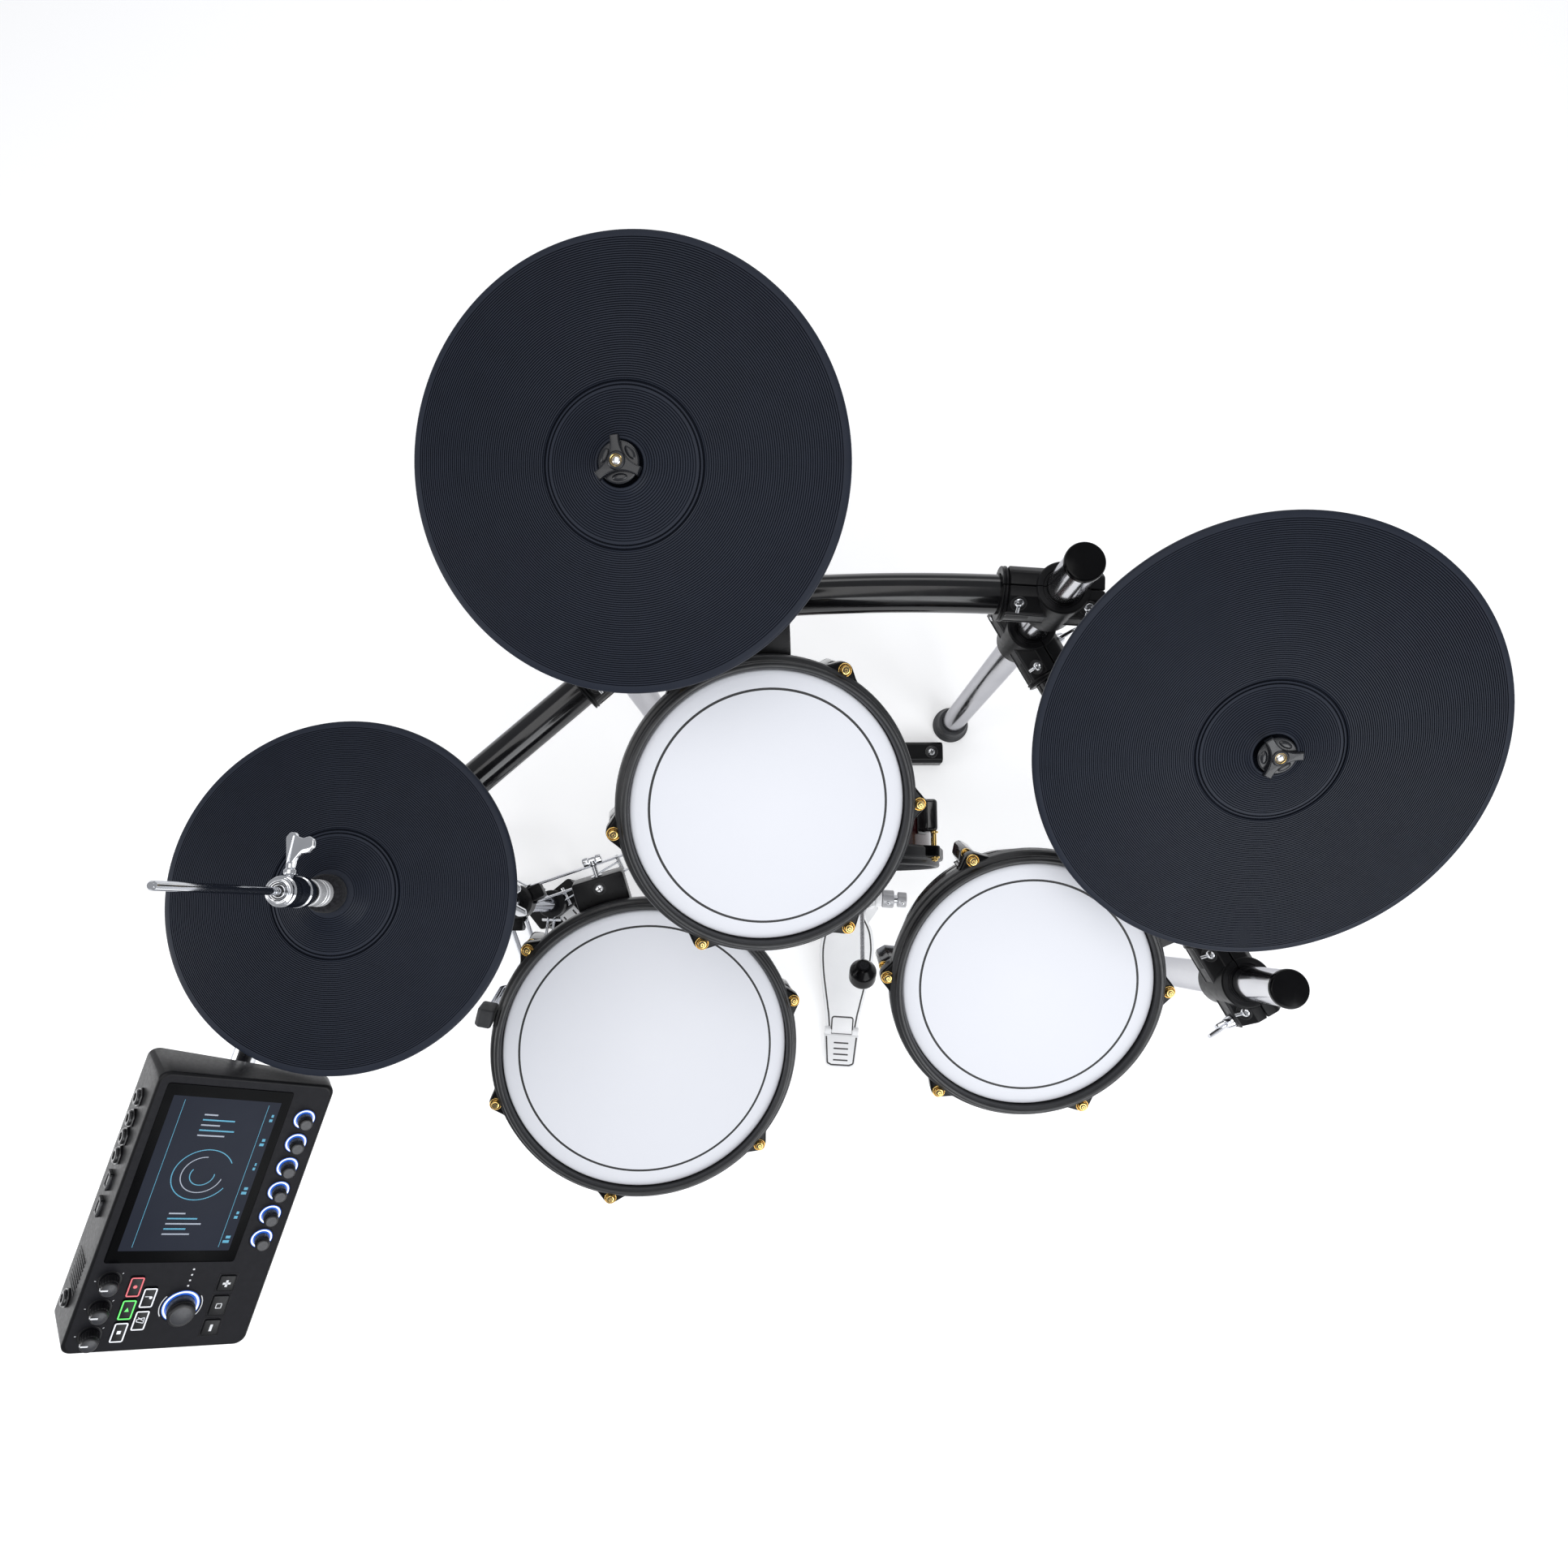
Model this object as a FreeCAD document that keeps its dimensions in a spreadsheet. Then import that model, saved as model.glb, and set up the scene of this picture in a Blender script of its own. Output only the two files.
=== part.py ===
import FreeCAD, Part
import math
import os
import Sketcher

V = FreeCAD.Vector
PL = FreeCAD.Placement
ROT = FreeCAD.Rotation
UP = V(0, 0, 1)

doc = FreeCAD.newDocument("drum_kit")
sheet = doc.addObject("Spreadsheet::Sheet", "sizes")

# driving dimensions, in millimetres and degrees
SIZES = dict(
    # rack
    post_radius=19.0, post_wall=2.0, post_top=778.0, post_low_top=666.0, post_seat=6.0,
    cap_radius=20.2, cap_thick=6.0, cap_plug=16.0,
    foot_radius=31.0, foot_tall=36.0,
    tube_radius=21.0, tube_wall=2.0, bow_radius=2175.0,
    clamp_collar=28.5, clamp_half_tall=32.0, clamp_socket=27.0, clamp_reach=62.0,
    clamp_block_deep=50.0, clamp_slit=1.2, bolt_radius=3.0, bolt_head=6.0,
    accessory_collar=29.5, accessory_wide=44.0, accessory_boss=14.0,
    rod_radius=6.35, arm_radius=10.0, boom_radius=11.0, tilter_rod=4.0,
    # drums
    snare_radius=152.0, tom_radius=127.0, kick_radius=101.5,
    snare_deep=110.0, tom_deep=110.0, floor_tom_deep=82.0, kick_deep=80.0,
    shell_wall=6.0, head_thick=1.2, hoop_lip=4.0, hoop_outer=16.5, hoop_up=9.5, hoop_down=17.0,
    ear_out=19.5, ear_radius=8.5, lug_radius=9.0, lug_long=44.0, key_rod=2.9, key_head=4.6,
    mount_wide=58.0, mount_tall=40.0, mount_out=44.5,
    # pads
    crash_radius=178.0, ride_radius=203.0, hihat_radius=152.5,
    bell_share=0.35, bell_rise=11.0, bell_top=20.0, well_radius=18.0, pad_hole=8.2, pad_floor=5.0,
    nut_radius=19.5, nut_hub=10.0,
    # hi-hat
    pull_rod=3.2, stand_lower=14.0, stand_upper=11.0, stand_leg=7.0, leg_spread=244.5,
    clutch_radius=13.0, sleeve_radius=7.8, felt_radius=16.5,
    # kick
    rear_bar_long=312.0, rear_bar_deep=37.0, rear_bar_tall=36.0, upright_wide=50.0, upright_deep=25.0,
    shaft_radius=7.0, shaft_height=150.0, beater_reach=145.0, beater_radius=20.0, beater_long=44.0,
    board_thick=6.0, heel_wide=58.0, toe_wide=92.0,
    # module
    case_wide=135.0, case_long=240.0, case_thick=50.0, case_thin=22.0, case_flare=7.0, case_wall=3.0,
    glass_wide=95.2, glass_long=153.5, encoder_radius=5.6, dial_radius=10.5, volume_radius=6.5,
    knob_shaft=3.0, button_wide=10.0, button_long=17.0, key_wide=12.5, key_long=14.0, key_mid_long=18.0,
)
for i, (word, value) in enumerate(SIZES.items()):
    sheet.set("A%d" % (i + 1), word)
    sheet.set("B%d" % (i + 1), "%g" % value)
    sheet.setAlias("B%d" % (i + 1), word)
doc.recompute()


class Q:
    """A size from the sheet, or sums and products of such sizes."""

    def __init__(self, value, text):
        self.v = float(value)
        self.e = text

    @staticmethod
    def of(other):
        return other if isinstance(other, Q) else Q(other, "(%.6g)" % other)

    def __add__(self, o):
        o = Q.of(o)
        return Q(self.v + o.v, "(%s + %s)" % (self.e, o.e))

    __radd__ = __add__

    def __sub__(self, o):
        o = Q.of(o)
        return Q(self.v - o.v, "(%s - %s)" % (self.e, o.e))

    def __rsub__(self, o):
        return Q.of(o) - self

    def __mul__(self, o):
        o = Q.of(o)
        return Q(self.v * o.v, "(%s * %s)" % (self.e, o.e))

    __rmul__ = __mul__

    def __neg__(self):
        return Q(-self.v, "(0 - %s)" % self.e)


class Sizes:
    pass


s = Sizes()
for word, value in SIZES.items():
    setattr(s, word, Q(value, "sizes." + word))


def num(q):
    return q.v if isinstance(q, Q) else float(q)


def put(obj, prop, q):
    if isinstance(q, Q):
        obj.setExpression(prop, q.e)
        setattr(obj, prop, q.v)
    else:
        setattr(obj, prop, q)


# ---------------------------------------------------------------- placing
SHIFT = V(-0.327792, 73.354641, 0)


def W(x, y, z):
    return V(x, y, z) - SHIFT


def frame(origin, z_axis, x_hint=V(1, 0, 0)):
    z = V(z_axis)
    z.normalize()
    x = x_hint - z * x_hint.dot(z)
    x.normalize()
    return PL(origin, ROT(x, z.cross(x), z, "ZXY"))


def polar(r, deg, z=0.0):
    return V(r * math.cos(math.radians(deg)), r * math.sin(math.radians(deg)), z)


ONE = PL()


def cyl(r, length, base=V(), axis=UP, pl=ONE, name="round"):
    o = doc.addObject("Part::Cylinder", name)
    put(o, "Radius", r)
    put(o, "Height", length)
    a = V(axis)
    a.normalize()
    o.Placement = pl * PL(base, ROT(UP, a))
    return o


def between(r, a, b, pl=ONE, name="bar"):
    return cyl(r, (b - a).Length, a, b - a, pl, name)


def box(lx, ly, lz, corner, pl=ONE, name="block"):
    o = doc.addObject("Part::Box", name)
    put(o, "Length", lx)
    put(o, "Width", ly)
    put(o, "Height", lz)
    o.Placement = pl * PL(corner, ROT())
    return o


def mid_box(lx, ly, lz, centre, pl=ONE, name="block"):
    return box(lx, ly, lz, centre - V(num(lx) / 2, num(ly) / 2, num(lz) / 2), pl, name)


def ball(r, centre, pl=ONE, name="ball"):
    o = doc.addObject("Part::Sphere", name)
    put(o, "Radius", r)
    o.Placement = pl * PL(centre, ROT())
    return o


def cone(r1, r2, length, base=V(), axis=UP, pl=ONE, name="taper"):
    o = doc.addObject("Part::Cone", name)
    put(o, "Radius1", r1)
    put(o, "Radius2", r2)
    put(o, "Height", length)
    a = V(axis)
    a.normalize()
    o.Placement = pl * PL(base, ROT(UP, a))
    return o


def fuse(*objs, name="joined"):
    o = doc.addObject("Part::MultiFuse", name)
    o.Shapes = list(objs)
    return o


def cut(base, *tools, name="cut"):
    o = doc.addObject("Part::Cut", name)
    o.Base = base
    o.Tool = tools[0] if len(tools) == 1 else fuse(*tools, name="tools")
    return o


def common(a, b, name="common"):
    o = doc.addObject("Part::MultiCommon", name)
    o.Shapes = [a, b]
    return o


def polygon(body, name, pts, plane):
    sk = body.newObject("Sketcher::SketchObject", name)
    base = [f for f in body.Origin.OriginFeatures if f.Role == plane][0]
    sk.AttachmentSupport = [(base, "")]
    sk.MapMode = "FlatFace"
    n = len(pts)
    flat = [(num(a), num(b)) for a, b in pts]
    for i in range(n):
        (ax, ay), (bx, by) = flat[i], flat[(i + 1) % n]
        sk.addGeometry(Part.LineSegment(V(ax, ay, 0), V(bx, by, 0)), False)
    for i in range(n):
        sk.addConstraint(Sketcher.Constraint("Coincident", i, 2, (i + 1) % n, 1))
    for i in range(n):
        for kind, q, axis in (("DistanceX", pts[i][0], -2), ("DistanceY", pts[i][1], -1)):
            if num(q) == 0:
                sk.addConstraint(Sketcher.Constraint("PointOnObject", i, 1, axis))
            else:
                k = sk.addConstraint(Sketcher.Constraint(kind, -1, 1, i, 1, num(q)))
                if isinstance(q, Q):
                    sk.setExpression("Constraints[%d]" % k, q.e)
    return sk


def turned(name, pts, pl=ONE):
    """A piece turned about its own Z from an (r, z) outline."""
    body = doc.addObject("PartDesign::Body", name)
    sk = polygon(body, name + "_outline", pts, "XZ_Plane")
    f = body.newObject("PartDesign::Revolution", name + "_turn")
    f.Profile = sk
    f.ReferenceAxis = (sk, ["V_Axis"])
    f.Angle = 360
    sk.Visibility = False
    body.Placement = pl
    return body


def padded(name, pts, thick, pl=ONE, plane="XY_Plane"):
    """A flat outline raised by a thickness."""
    body = doc.addObject("PartDesign::Body", name)
    sk = polygon(body, name + "_outline", pts, plane)
    f = body.newObject("PartDesign::Pad", name + "_pad")
    f.Profile = sk
    put(f, "Length", thick)
    body.Placement = pl
    return body


def bent(name, pts, radius, bend):
    """A round bar along straight runs joined by tangent arcs."""
    edges = []
    last = pts[0]
    for a, b, c in zip(pts, pts[1:], pts[2:]):
        u = (a - b).normalize()
        w = (c - b).normalize()
        half = u.getAngle(w) / 2
        back = bend / math.tan(half)
        p, q = b + u * back, b + w * back
        m = (u + w).normalize()
        mid = b + m * (bend / math.sin(half) - bend)
        edges += [Part.LineSegment(last, p).toShape(), Part.Arc(p, mid, q).toShape()]
        last = q
    edges.append(Part.LineSegment(last, pts[-1]).toShape())
    path = Part.Wire(edges)
    ring = Part.Wire([Part.makeCircle(radius, pts[0], pts[1] - pts[0])])
    o = doc.addObject("Part::Feature", name)
    o.Shape = path.makePipeShell([ring], True, True)
    o.Placement = PL()
    return o


nodes = []


def node(label, *objs):
    if len(objs) == 1:
        o = objs[0]
        o.Label = label
    else:
        o = doc.addObject("Part::Compound", label)
        o.Links = list(objs)
        o.Label = label
    nodes.append((label, o, len(objs)))
    return o


# ---------------------------------------------------------------- rack
POST = {"ir": (279, 335), "or": (502.4, -73.9), "il": (-216, 314), "ol": (-536, 31)}
Z_CENTRE, Z_LEFT, Z_RIGHT = 680.0, 520.0, 550.0


def post_at(k, z):
    return W(POST[k][0], POST[k][1], z)


posts, caps, feet = [], [], []
for k in POST:
    # the outer right post is cut shorter than the other three
    end = s.post_low_top if k == "or" else s.post_top
    outer = cyl(s.post_radius, end - s.post_seat, post_at(k, s.post_seat.v))
    inner = cyl(s.post_radius - s.post_wall, end - s.post_seat + 2, post_at(k, s.post_seat.v - 1))
    posts.append(cut(outer, inner, name="post_" + k))
    lid = cyl(s.cap_radius, s.cap_thick, post_at(k, end.v))
    plug = cyl(s.post_radius - s.post_wall, s.cap_plug, post_at(k, end.v - s.cap_plug.v))
    caps.append(fuse(lid, plug, name="cap_" + k))
    feet.append(turned("foot_" + k, [
        (0, 0), (s.foot_radius, 0), (s.foot_radius, 6), (s.foot_radius - 5, 20), (s.foot_radius - 7, s.foot_tall),
        (s.post_radius, s.foot_tall), (s.post_radius, s.post_seat), (0, s.post_seat)], PL(post_at(k, 0), ROT())))
node("rack_posts", *posts)
node("post_caps", *caps)

# centre tube: an arc in a level plane, from the inner left post to the inner right post
A, B = V(*POST["il"], 0), V(*POST["ir"], 0)
chord = B - A
nrm = V(-chord.y, chord.x, 0).normalize()
R = s.bow_radius.v
O = (A + B) * 0.5 - nrm * math.sqrt(R * R - (chord.Length / 2) ** 2)
th_mid = math.degrees(math.atan2(nrm.y, nrm.x))
th_half = math.degrees(math.asin(chord.Length / 2 / R))
th_end = th_half - math.degrees(24.0 / R)
tor = []
for rr in (s.tube_radius, s.tube_radius - s.tube_wall):
    o = doc.addObject("Part::Torus", "bow")
    put(o, "Radius1", s.bow_radius)
    put(o, "Radius2", rr)
    o.Angle3 = 2 * th_end
    o.Placement = PL(W(O.x, O.y, Z_CENTRE), ROT(UP, th_mid - th_end))
    tor.append(o)
centre_tube = cut(tor[0], tor[1], name="bowed_tube")
node("rack_center_tube", centre_tube)


def on_centre(x):
    """A point of the centre tube's axis at the given X, and the axis direction there."""
    y = O.y + math.sqrt(R * R - (x - O.x) ** 2)
    r = V(x - O.x, y - O.y, 0).normalize()
    return W(x, y, Z_CENTRE), V(r.y, -r.x, 0)


def wing(a, za, b, zb):
    p, q = post_at(a, za), post_at(b, zb)
    d = (q - p).normalize()
    p2, q2 = p + d * 24, q - d * 24
    solid = between(s.tube_radius, p2, q2)
    bore = between(s.tube_radius - s.tube_wall, p2 - d, q2 + d)
    return cut(solid, bore, name="wing_tube"), between(s.tube_radius, p2, q2), p, q, d


left_tube, left_solid, lp, lq, ld = wing("il", Z_LEFT, "ol", Z_LEFT)
right_tube, right_solid, rp, rq, rd = wing("ir", Z_RIGHT, "or", Z_RIGHT)
node("rack_wing_tubes", left_tube, right_tube)

clamps, bolts, wings = [], [], []


def wing_nut(at, out, lean, pl=ONE):
    """A wing nut on the bolt end at a point, facing out, its two wings along lean."""
    o = V(out).normalize()
    l = (V(lean) - o * V(lean).dot(o)).normalize()
    f = PL(at, ROT(l, o.cross(l), o, "ZXY"))
    hub = cone(7.5, 5.5, 9, V(0, 0, 0), UP, f)
    a = padded("wing_a", [(2, 3), (9, 4), (19, 9), (27, 15), (26, 27), (17, 27), (9, 17), (4, 10)], 4, f * PL(V(0, 2, 0), ROT(V(1, 0, 0), 90)))
    b = padded("wing_b", [(-2, 3), (-4, 10), (-9, 17), (-17, 27), (-26, 27), (-27, 15), (-19, 9), (-9, 4)], 4, f * PL(V(0, 2, 0), ROT(V(1, 0, 0), 90)))
    return fuse(hub, a, b, name="wing_nut")


def t_clamp(k, z, d, tube_tool, face, press=None):
    """Two half shells round a post and the end of a tube that leaves it along d; the screws are on the half at face."""
    flat = V(d.x, d.y, 0).normalize()
    f = PL(post_at(k, z), ROT(flat, UP.cross(flat), UP, "ZXY"))
    half = s.clamp_half_tall
    collar = cyl(s.clamp_collar, half * 2, V(0, 0, -half.v), UP, f)
    deep, up = s.clamp_block_deep.v / 2, half.v - 2
    outline = [(-0.68 * deep, -up), (0.48 * deep, -up), (deep, -13), (deep, 13), (0.48 * deep, up), (-0.68 * deep, up), (-deep, 18), (-deep, -18)]
    if face < 0:
        outline = [(-y, z_) for y, z_ in reversed(outline)]
    block = padded("clamp_block", outline, 98, f * PL(V(-43, 0, 0), ROT(V(0, 1, 0), UP, V(1, 0, 0), "ZXY")))
    c0 = post_at(k, z)
    sock = between(s.clamp_socket, c0 + d * 20, c0 + d * s.clamp_reach.v)
    lip = between(s.clamp_socket + 2.5, c0 + d * (s.clamp_reach.v - 7), c0 + d * (s.clamp_reach.v - 1))
    whole = fuse(collar, block, sock, lip, name="clamp_whole")
    post_tool = cyl(s.post_radius, 90, V(0, 0, -45), UP, f)
    holes, made = [], []
    slope = V(0, 0.794 * face, 0.607)
    for bx in (44.0, -28.0):
        # short set screw sunk in the upper shoulder of the front half
        seat = V(bx, 18.5 * face, 21.5) - slope * 4
        holes.append(cyl(s.bolt_radius, 2.4, seat - slope * 2, slope, f))
        holes.append(cyl(s.bolt_head + 0.5, 20, seat, slope, f))
        shank = cyl(s.bolt_radius, 2.0, seat - slope * 2, slope, f)
        head = cyl(s.bolt_head - 1, 3.2, seat, slope, f)
        made.append(fuse(shank, head, name="set_screw"))
    # cross bolt that closes the two halves, with a wing nut
    bx = -36.0
    holes.append(cyl(s.bolt_radius, 80, V(bx, -40, 0), V(0, 1, 0), f))
    shank = cyl(s.bolt_radius, deep * 2, V(bx, -deep, 0), V(0, 1, 0), f)
    head = cyl(s.bolt_head, 4.0, V(bx, -face * deep - (4.0 if face > 0 else 0), 0), V(0, 1, 0), f)
    made.append(fuse(shank, head, name="cross_bolt"))
    if press is None:
        wings.append(wing_nut(f.multVec(V(bx, face * deep, 0)), f.Rotation.multVec(V(0, face, 0)), f.Rotation.multVec(V(0.45, 0, 1))))
    else:
        # the wing is a screw in the other half instead, bearing on the tube
        out = V(0, -face, 0)
        seat = max(deep, s.clamp_socket.v) + 0.2
        holes.append(cyl(s.bolt_radius, 12, V(press, -face * 19, 0), out, f))
        made.append(cyl(s.bolt_radius, 4.0, V(press, -face * (seat - 4), 0), out, f, name="wing_stud"))
        wings.append(wing_nut(f.multVec(V(press, -face * seat, 0)), f.Rotation.multVec(out), f.Rotation.multVec(V(0.1, 0, 1))))
    open_clamp = cut(whole, post_tool, tube_tool, *holes, name="clamp_open")
    gap = s.clamp_slit.v / 2
    front = common(open_clamp, box(200, 60, 160, V(-80, -60 - gap, -80), f), name="clamp_front")
    rear = common(open_clamp, box(200, 60, 160, V(-80, gap, -80), f), name="clamp_rear")
    clamps.extend([front, rear])
    bolts.extend(made)


def unit(dx, dy):
    return V(dx, dy, 0).normalize()


rB = V(B.x - O.x, B.y - O.y, 0).normalize()
rA = V(A.x - O.x, A.y - O.y, 0).normalize()
t_clamp("ir", Z_CENTRE, V(-rB.y, rB.x, 0), tor[0], 1)
t_clamp("il", Z_CENTRE, V(rA.y, -rA.x, 0), tor[0], -1)
t_clamp("ir", Z_RIGHT, rd, right_solid, -1, 24.0)
t_clamp("or", Z_RIGHT, -rd, right_solid, 1)
t_clamp("il", Z_LEFT, ld, left_solid, 1)
t_clamp("ol", Z_LEFT, -ld, left_solid, -1)


# ---------------------------------------------------------------- drums
shells, hoops, heads, lugs, keys, mounts, rods, cores = [], [], [], [], [], [], [], []


def drum(name, centre, normal, rs, deep, lug_az, mount_az=None):
    f = frame(W(*centre), V(*normal))
    w = s.shell_wall
    shells.append(turned(name + "_shell", [
        (0, -deep), (rs, -deep), (rs, -3), (rs - 1.5, -1.4), (rs - w, -6), (rs - w, 5 - deep), (0, 5 - deep)], f))
    heads.append(turned(name + "_head", [
        (0, 0), (rs + 1, 0), (rs + 3.2, -2), (rs + 3.2, -9), (rs + 7, -9), (rs + 7, -13), (rs + 0.6, -13),
        (rs + 0.6, -s.head_thick), (0, -s.head_thick)], f))
    lip, out, up, dn = rs + s.hoop_lip, rs + s.hoop_outer, s.hoop_up, -s.hoop_down
    ring = turned(name + "_hoop", [
        (lip, -8.5), (lip, up - 3.5), (lip + 2, up - 0.5), (lip + 5, up), (lip + 7, up - 2), (lip + 7.3, 2), (lip + 8.5, 0.5),
        (out - 1, -0.5), (out, -3), (out, dn + 3), (out - 2.5, dn), (rs + 7.5, dn), (rs + 7.5, -8.5)], f)
    re = (rs + s.ear_out).v
    ears, holes = [], []
    for a in lug_az:
        ears.append(cyl(s.ear_radius, s.hoop_down - 3.5, polar(re, a, dn.v), UP, f))
        holes.append(cyl(s.key_rod, 40, polar(re, a, -30), UP, f))
        holes.append(cyl(6.4, 30, polar(re, a, -3.5), UP, f))
        shank = cyl(s.key_rod, 56.5, polar(re, a, -60), UP, f)
        wash = cyl(6.0, 1.2, polar(re, a, -3.5), UP, f)
        head = cyl(s.key_head, 8.0, polar(re, a, -2.3), UP, f)
        keys.append(fuse(shank, wash, head, name="tension_rod"))
        post = cyl(s.lug_radius, s.lug_long, polar(re, a, -36 - s.lug_long.v), UP, f)
        g = f * PL(V(), ROT(UP, a))
        web = box(s.ear_out - 0.5, 14, s.lug_long - 6, V(rs.v + 0.5, -7, -33 - s.lug_long.v), g)
        well = cyl(s.key_rod, 24.0, polar(re, a, -60), UP, f)
        lugs.append(cut(fuse(post, web), well, name="lug"))
    hoops.append(cut(fuse(ring, *ears), *holes, name=name + "_hoop_eared"))
    pillar = turned(name + "_foam", [(0, -30), (22, -30), (6, -2), (0, -2)], f)
    bar = mid_box((rs - w) * 2 - 4, 30, 4, V(0, 0, -35), f)
    plate = cyl(34.0, 3.0, V(0, 0, -33), UP, f)
    cores.extend([pillar, fuse(bar, plate, name=name + "_sensor")])
    if mount_az is not None:
        g = f * PL(V(), ROT(UP, mount_az))
        b = box(s.mount_out + 10, s.mount_wide, s.mount_tall, V(rs.v - 10, -s.mount_wide.v / 2, -20 - s.mount_tall.v), g)
        return f, g, cut(b, cyl(rs + 0.3, 60, V(0, 0, -65), UP, f), name=name + "_mount")
    return f, None, None


snare_f, snare_g, snare_box = drum("snare", (-162.9, -147.8, 575.2), (0.1561, -0.1858, 0.9701), s.snare_radius, s.snare_deep,
                                   (138, 198, 256, 317, 16, 76), 106)
tom_f, tom_g, tom_box = drum("tom", (-22.4, 98.9, 768.8), (0.1802, -0.3444, 0.9213), s.tom_radius, s.tom_deep,
                             (61, -1, -58, -117, 187, 124), 92)
floor_f, floor_g, floor_box = drum("floor_tom", (242.7, -72.7, 654.2), (0.0231, -0.2936, 0.9557), s.tom_radius, s.floor_tom_deep,
                                   (115, 176, 232, 295, -3, 55), 24)
KICK = (92.0, 75.0, 315.0)
kick_f, _, _ = drum("kick", KICK, (0, -1, 0), s.kick_radius, s.kick_deep, (37, 97, 157, 217, 277, 337))

# T screw in the outer face of the snare's mount box
far = (s.snare_radius + s.mount_out).v
stem = cyl(3.0, 20.0, V(far, 0, -32), V(1, 0, 0), snare_g)
bar = cyl(5.0, 20.0, V(far + 19, -10, -32), V(0, 1, 0), snare_g)
bolts.append(fuse(stem, bar, name="mount_screw"))

# bent rods that carry the tom and the floor tom, and the arm of the module
accessory = []


def rod_clamp(at, along, rod_tool, top, tube=None):
    """A collar round a tube with an upright boss above it for a rod."""
    a = V(along).normalize()
    collar = cyl(s.accessory_collar, s.accessory_wide, at - a * (s.accessory_wide.v / 2), a)
    boss = cyl(s.accessory_boss, top - at.z, at, UP)
    body = fuse(collar, boss, name="collar")
    tube = tube or cyl(s.tube_radius, 80, at - a * 40, a)
    side = UP.cross(a).normalize()
    slit = mid_box(2, 60, 60, V(), PL(at - V(0, 0, 30), ROT(side, a, side.cross(a), "ZXY")))
    zs = top - 9 - at.z
    screw = cyl(s.bolt_radius, 16, at + V(0, 0, zs) + side * s.rod_radius.v, side)
    accessory.append(cut(body, tube, rod_tool, slit, screw, name="accessory_clamp"))
    bolts.append(cyl(s.bolt_radius, 16, at + V(0, 0, zs) + side * s.rod_radius.v, side, name="screw"))
    wings.append(wing_nut(at + V(0, 0, zs) + side * (s.rod_radius.v + 16), side, a))


def tom_rod(g, rs, tube_point, axis, name, tube=None):
    start = g.multVec(V(rs.v + 16, 0, -40))
    out = g.multVec(V(rs.v + 100, 0, -40)) - start
    k = (tube_point.x - start.x) * out.x + (tube_point.y - start.y) * out.y
    k /= out.x ** 2 + out.y ** 2
    turn = start + out * k
    turn = V(tube_point.x, tube_point.y, turn.z)
    o = bent(name, [start, turn, V(turn.x, turn.y, tube_point.z + 24)], s.rod_radius.v, 22.0)
    rod_clamp(tube_point, axis, o, tube_point.z + 58, tube)
    return o


tp, ta = on_centre(-27.0)
tom_arm = tom_rod(tom_g, s.tom_radius, tp, ta, "tom_arm", tor[0])
mounts.append(cut(tom_box, tom_arm, name="tom_mount_bored"))
k = 0.770
floor_point = rp + (rq - rp) * k
floor_arm = tom_rod(floor_g, s.tom_radius, floor_point, rd, "floor_tom_arm")
mounts.append(cut(floor_box, floor_arm, name="floor_mount_bored"))
mounts.append(snare_box)
for g, rs in ((snare_g, s.snare_radius), (tom_g, s.tom_radius), (floor_g, s.tom_radius)):
    bolts.append(cyl(4.6, 2.4, V(rs.v + 32, 0, -20), UP, g, name="mount_screw"))

# module: its own frame has X across the face, Y along it and Z out of it
MU, MV, MN = V(0.3322, 0.937, 0.1083), V(0.7574, -0.1966, -0.6226), V(0.5621, -0.2889, 0.775)
mod = PL(W(-497.3, -250.9, 815.3), ROT(MV, MU, MN, "ZXY"))
ax = mod.Rotation.multVec(V(0, 1, 0))
hinge = mod.multVec(V(0, 0, -60))
arm_bend = hinge + ax * 165
boss_end = post_at("ol", 742)
module_arm = bent("module_arm", [hinge - ax * 45, arm_bend, boss_end + (arm_bend - boss_end).normalize() * 24], s.arm_radius.v, 48.0)
node("mount_rods", tom_arm, floor_arm, module_arm)
dm = (arm_bend - boss_end).normalize()
post_ring = cyl(s.clamp_collar, 50, boss_end - V(0, 0, 25), UP)
arm_boss = between(s.arm_radius + 6, boss_end, boss_end + dm * 58)
arm_solid = between(s.arm_radius, boss_end + dm * 24, boss_end + dm * 80)
ms = V(dm.x, dm.y, 0).cross(UP).normalize()
at = boss_end + dm * 44 + ms * s.arm_radius.v
accessory.append(cut(fuse(post_ring, arm_boss), cyl(s.post_radius, 80, boss_end - V(0, 0, 40), UP), arm_solid,
                     cyl(s.bolt_radius, 16, at, ms), name="arm_clamp"))
bolts.append(cyl(s.bolt_radius, 16, at, ms, name="screw"))
wings.append(wing_nut(at + ms * 16, ms, dm))

# ---------------------------------------------------------------- cymbal pads and their arms
arms, felts = [], []


def pad_outline(rr, well):
    ring = rr * s.bell_share
    top = [(rr, -2.5), (rr, 0), (rr - 2, 2), (ring + 4, s.bell_rise - 1.2), (ring, s.bell_rise), (s.well_radius + 6, s.bell_top - 1.2),
           (s.well_radius + 2, s.bell_top)]
    if well:
        top += [(s.well_radius, s.bell_top - 1), (s.well_radius, s.pad_floor + 7), (s.pad_hole, s.pad_floor + 7)]
    else:
        top += [(s.pad_hole, s.bell_top)]
    return top + [(s.pad_hole, s.pad_floor), (30, s.pad_floor), (rr - 4, -4)]


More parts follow.
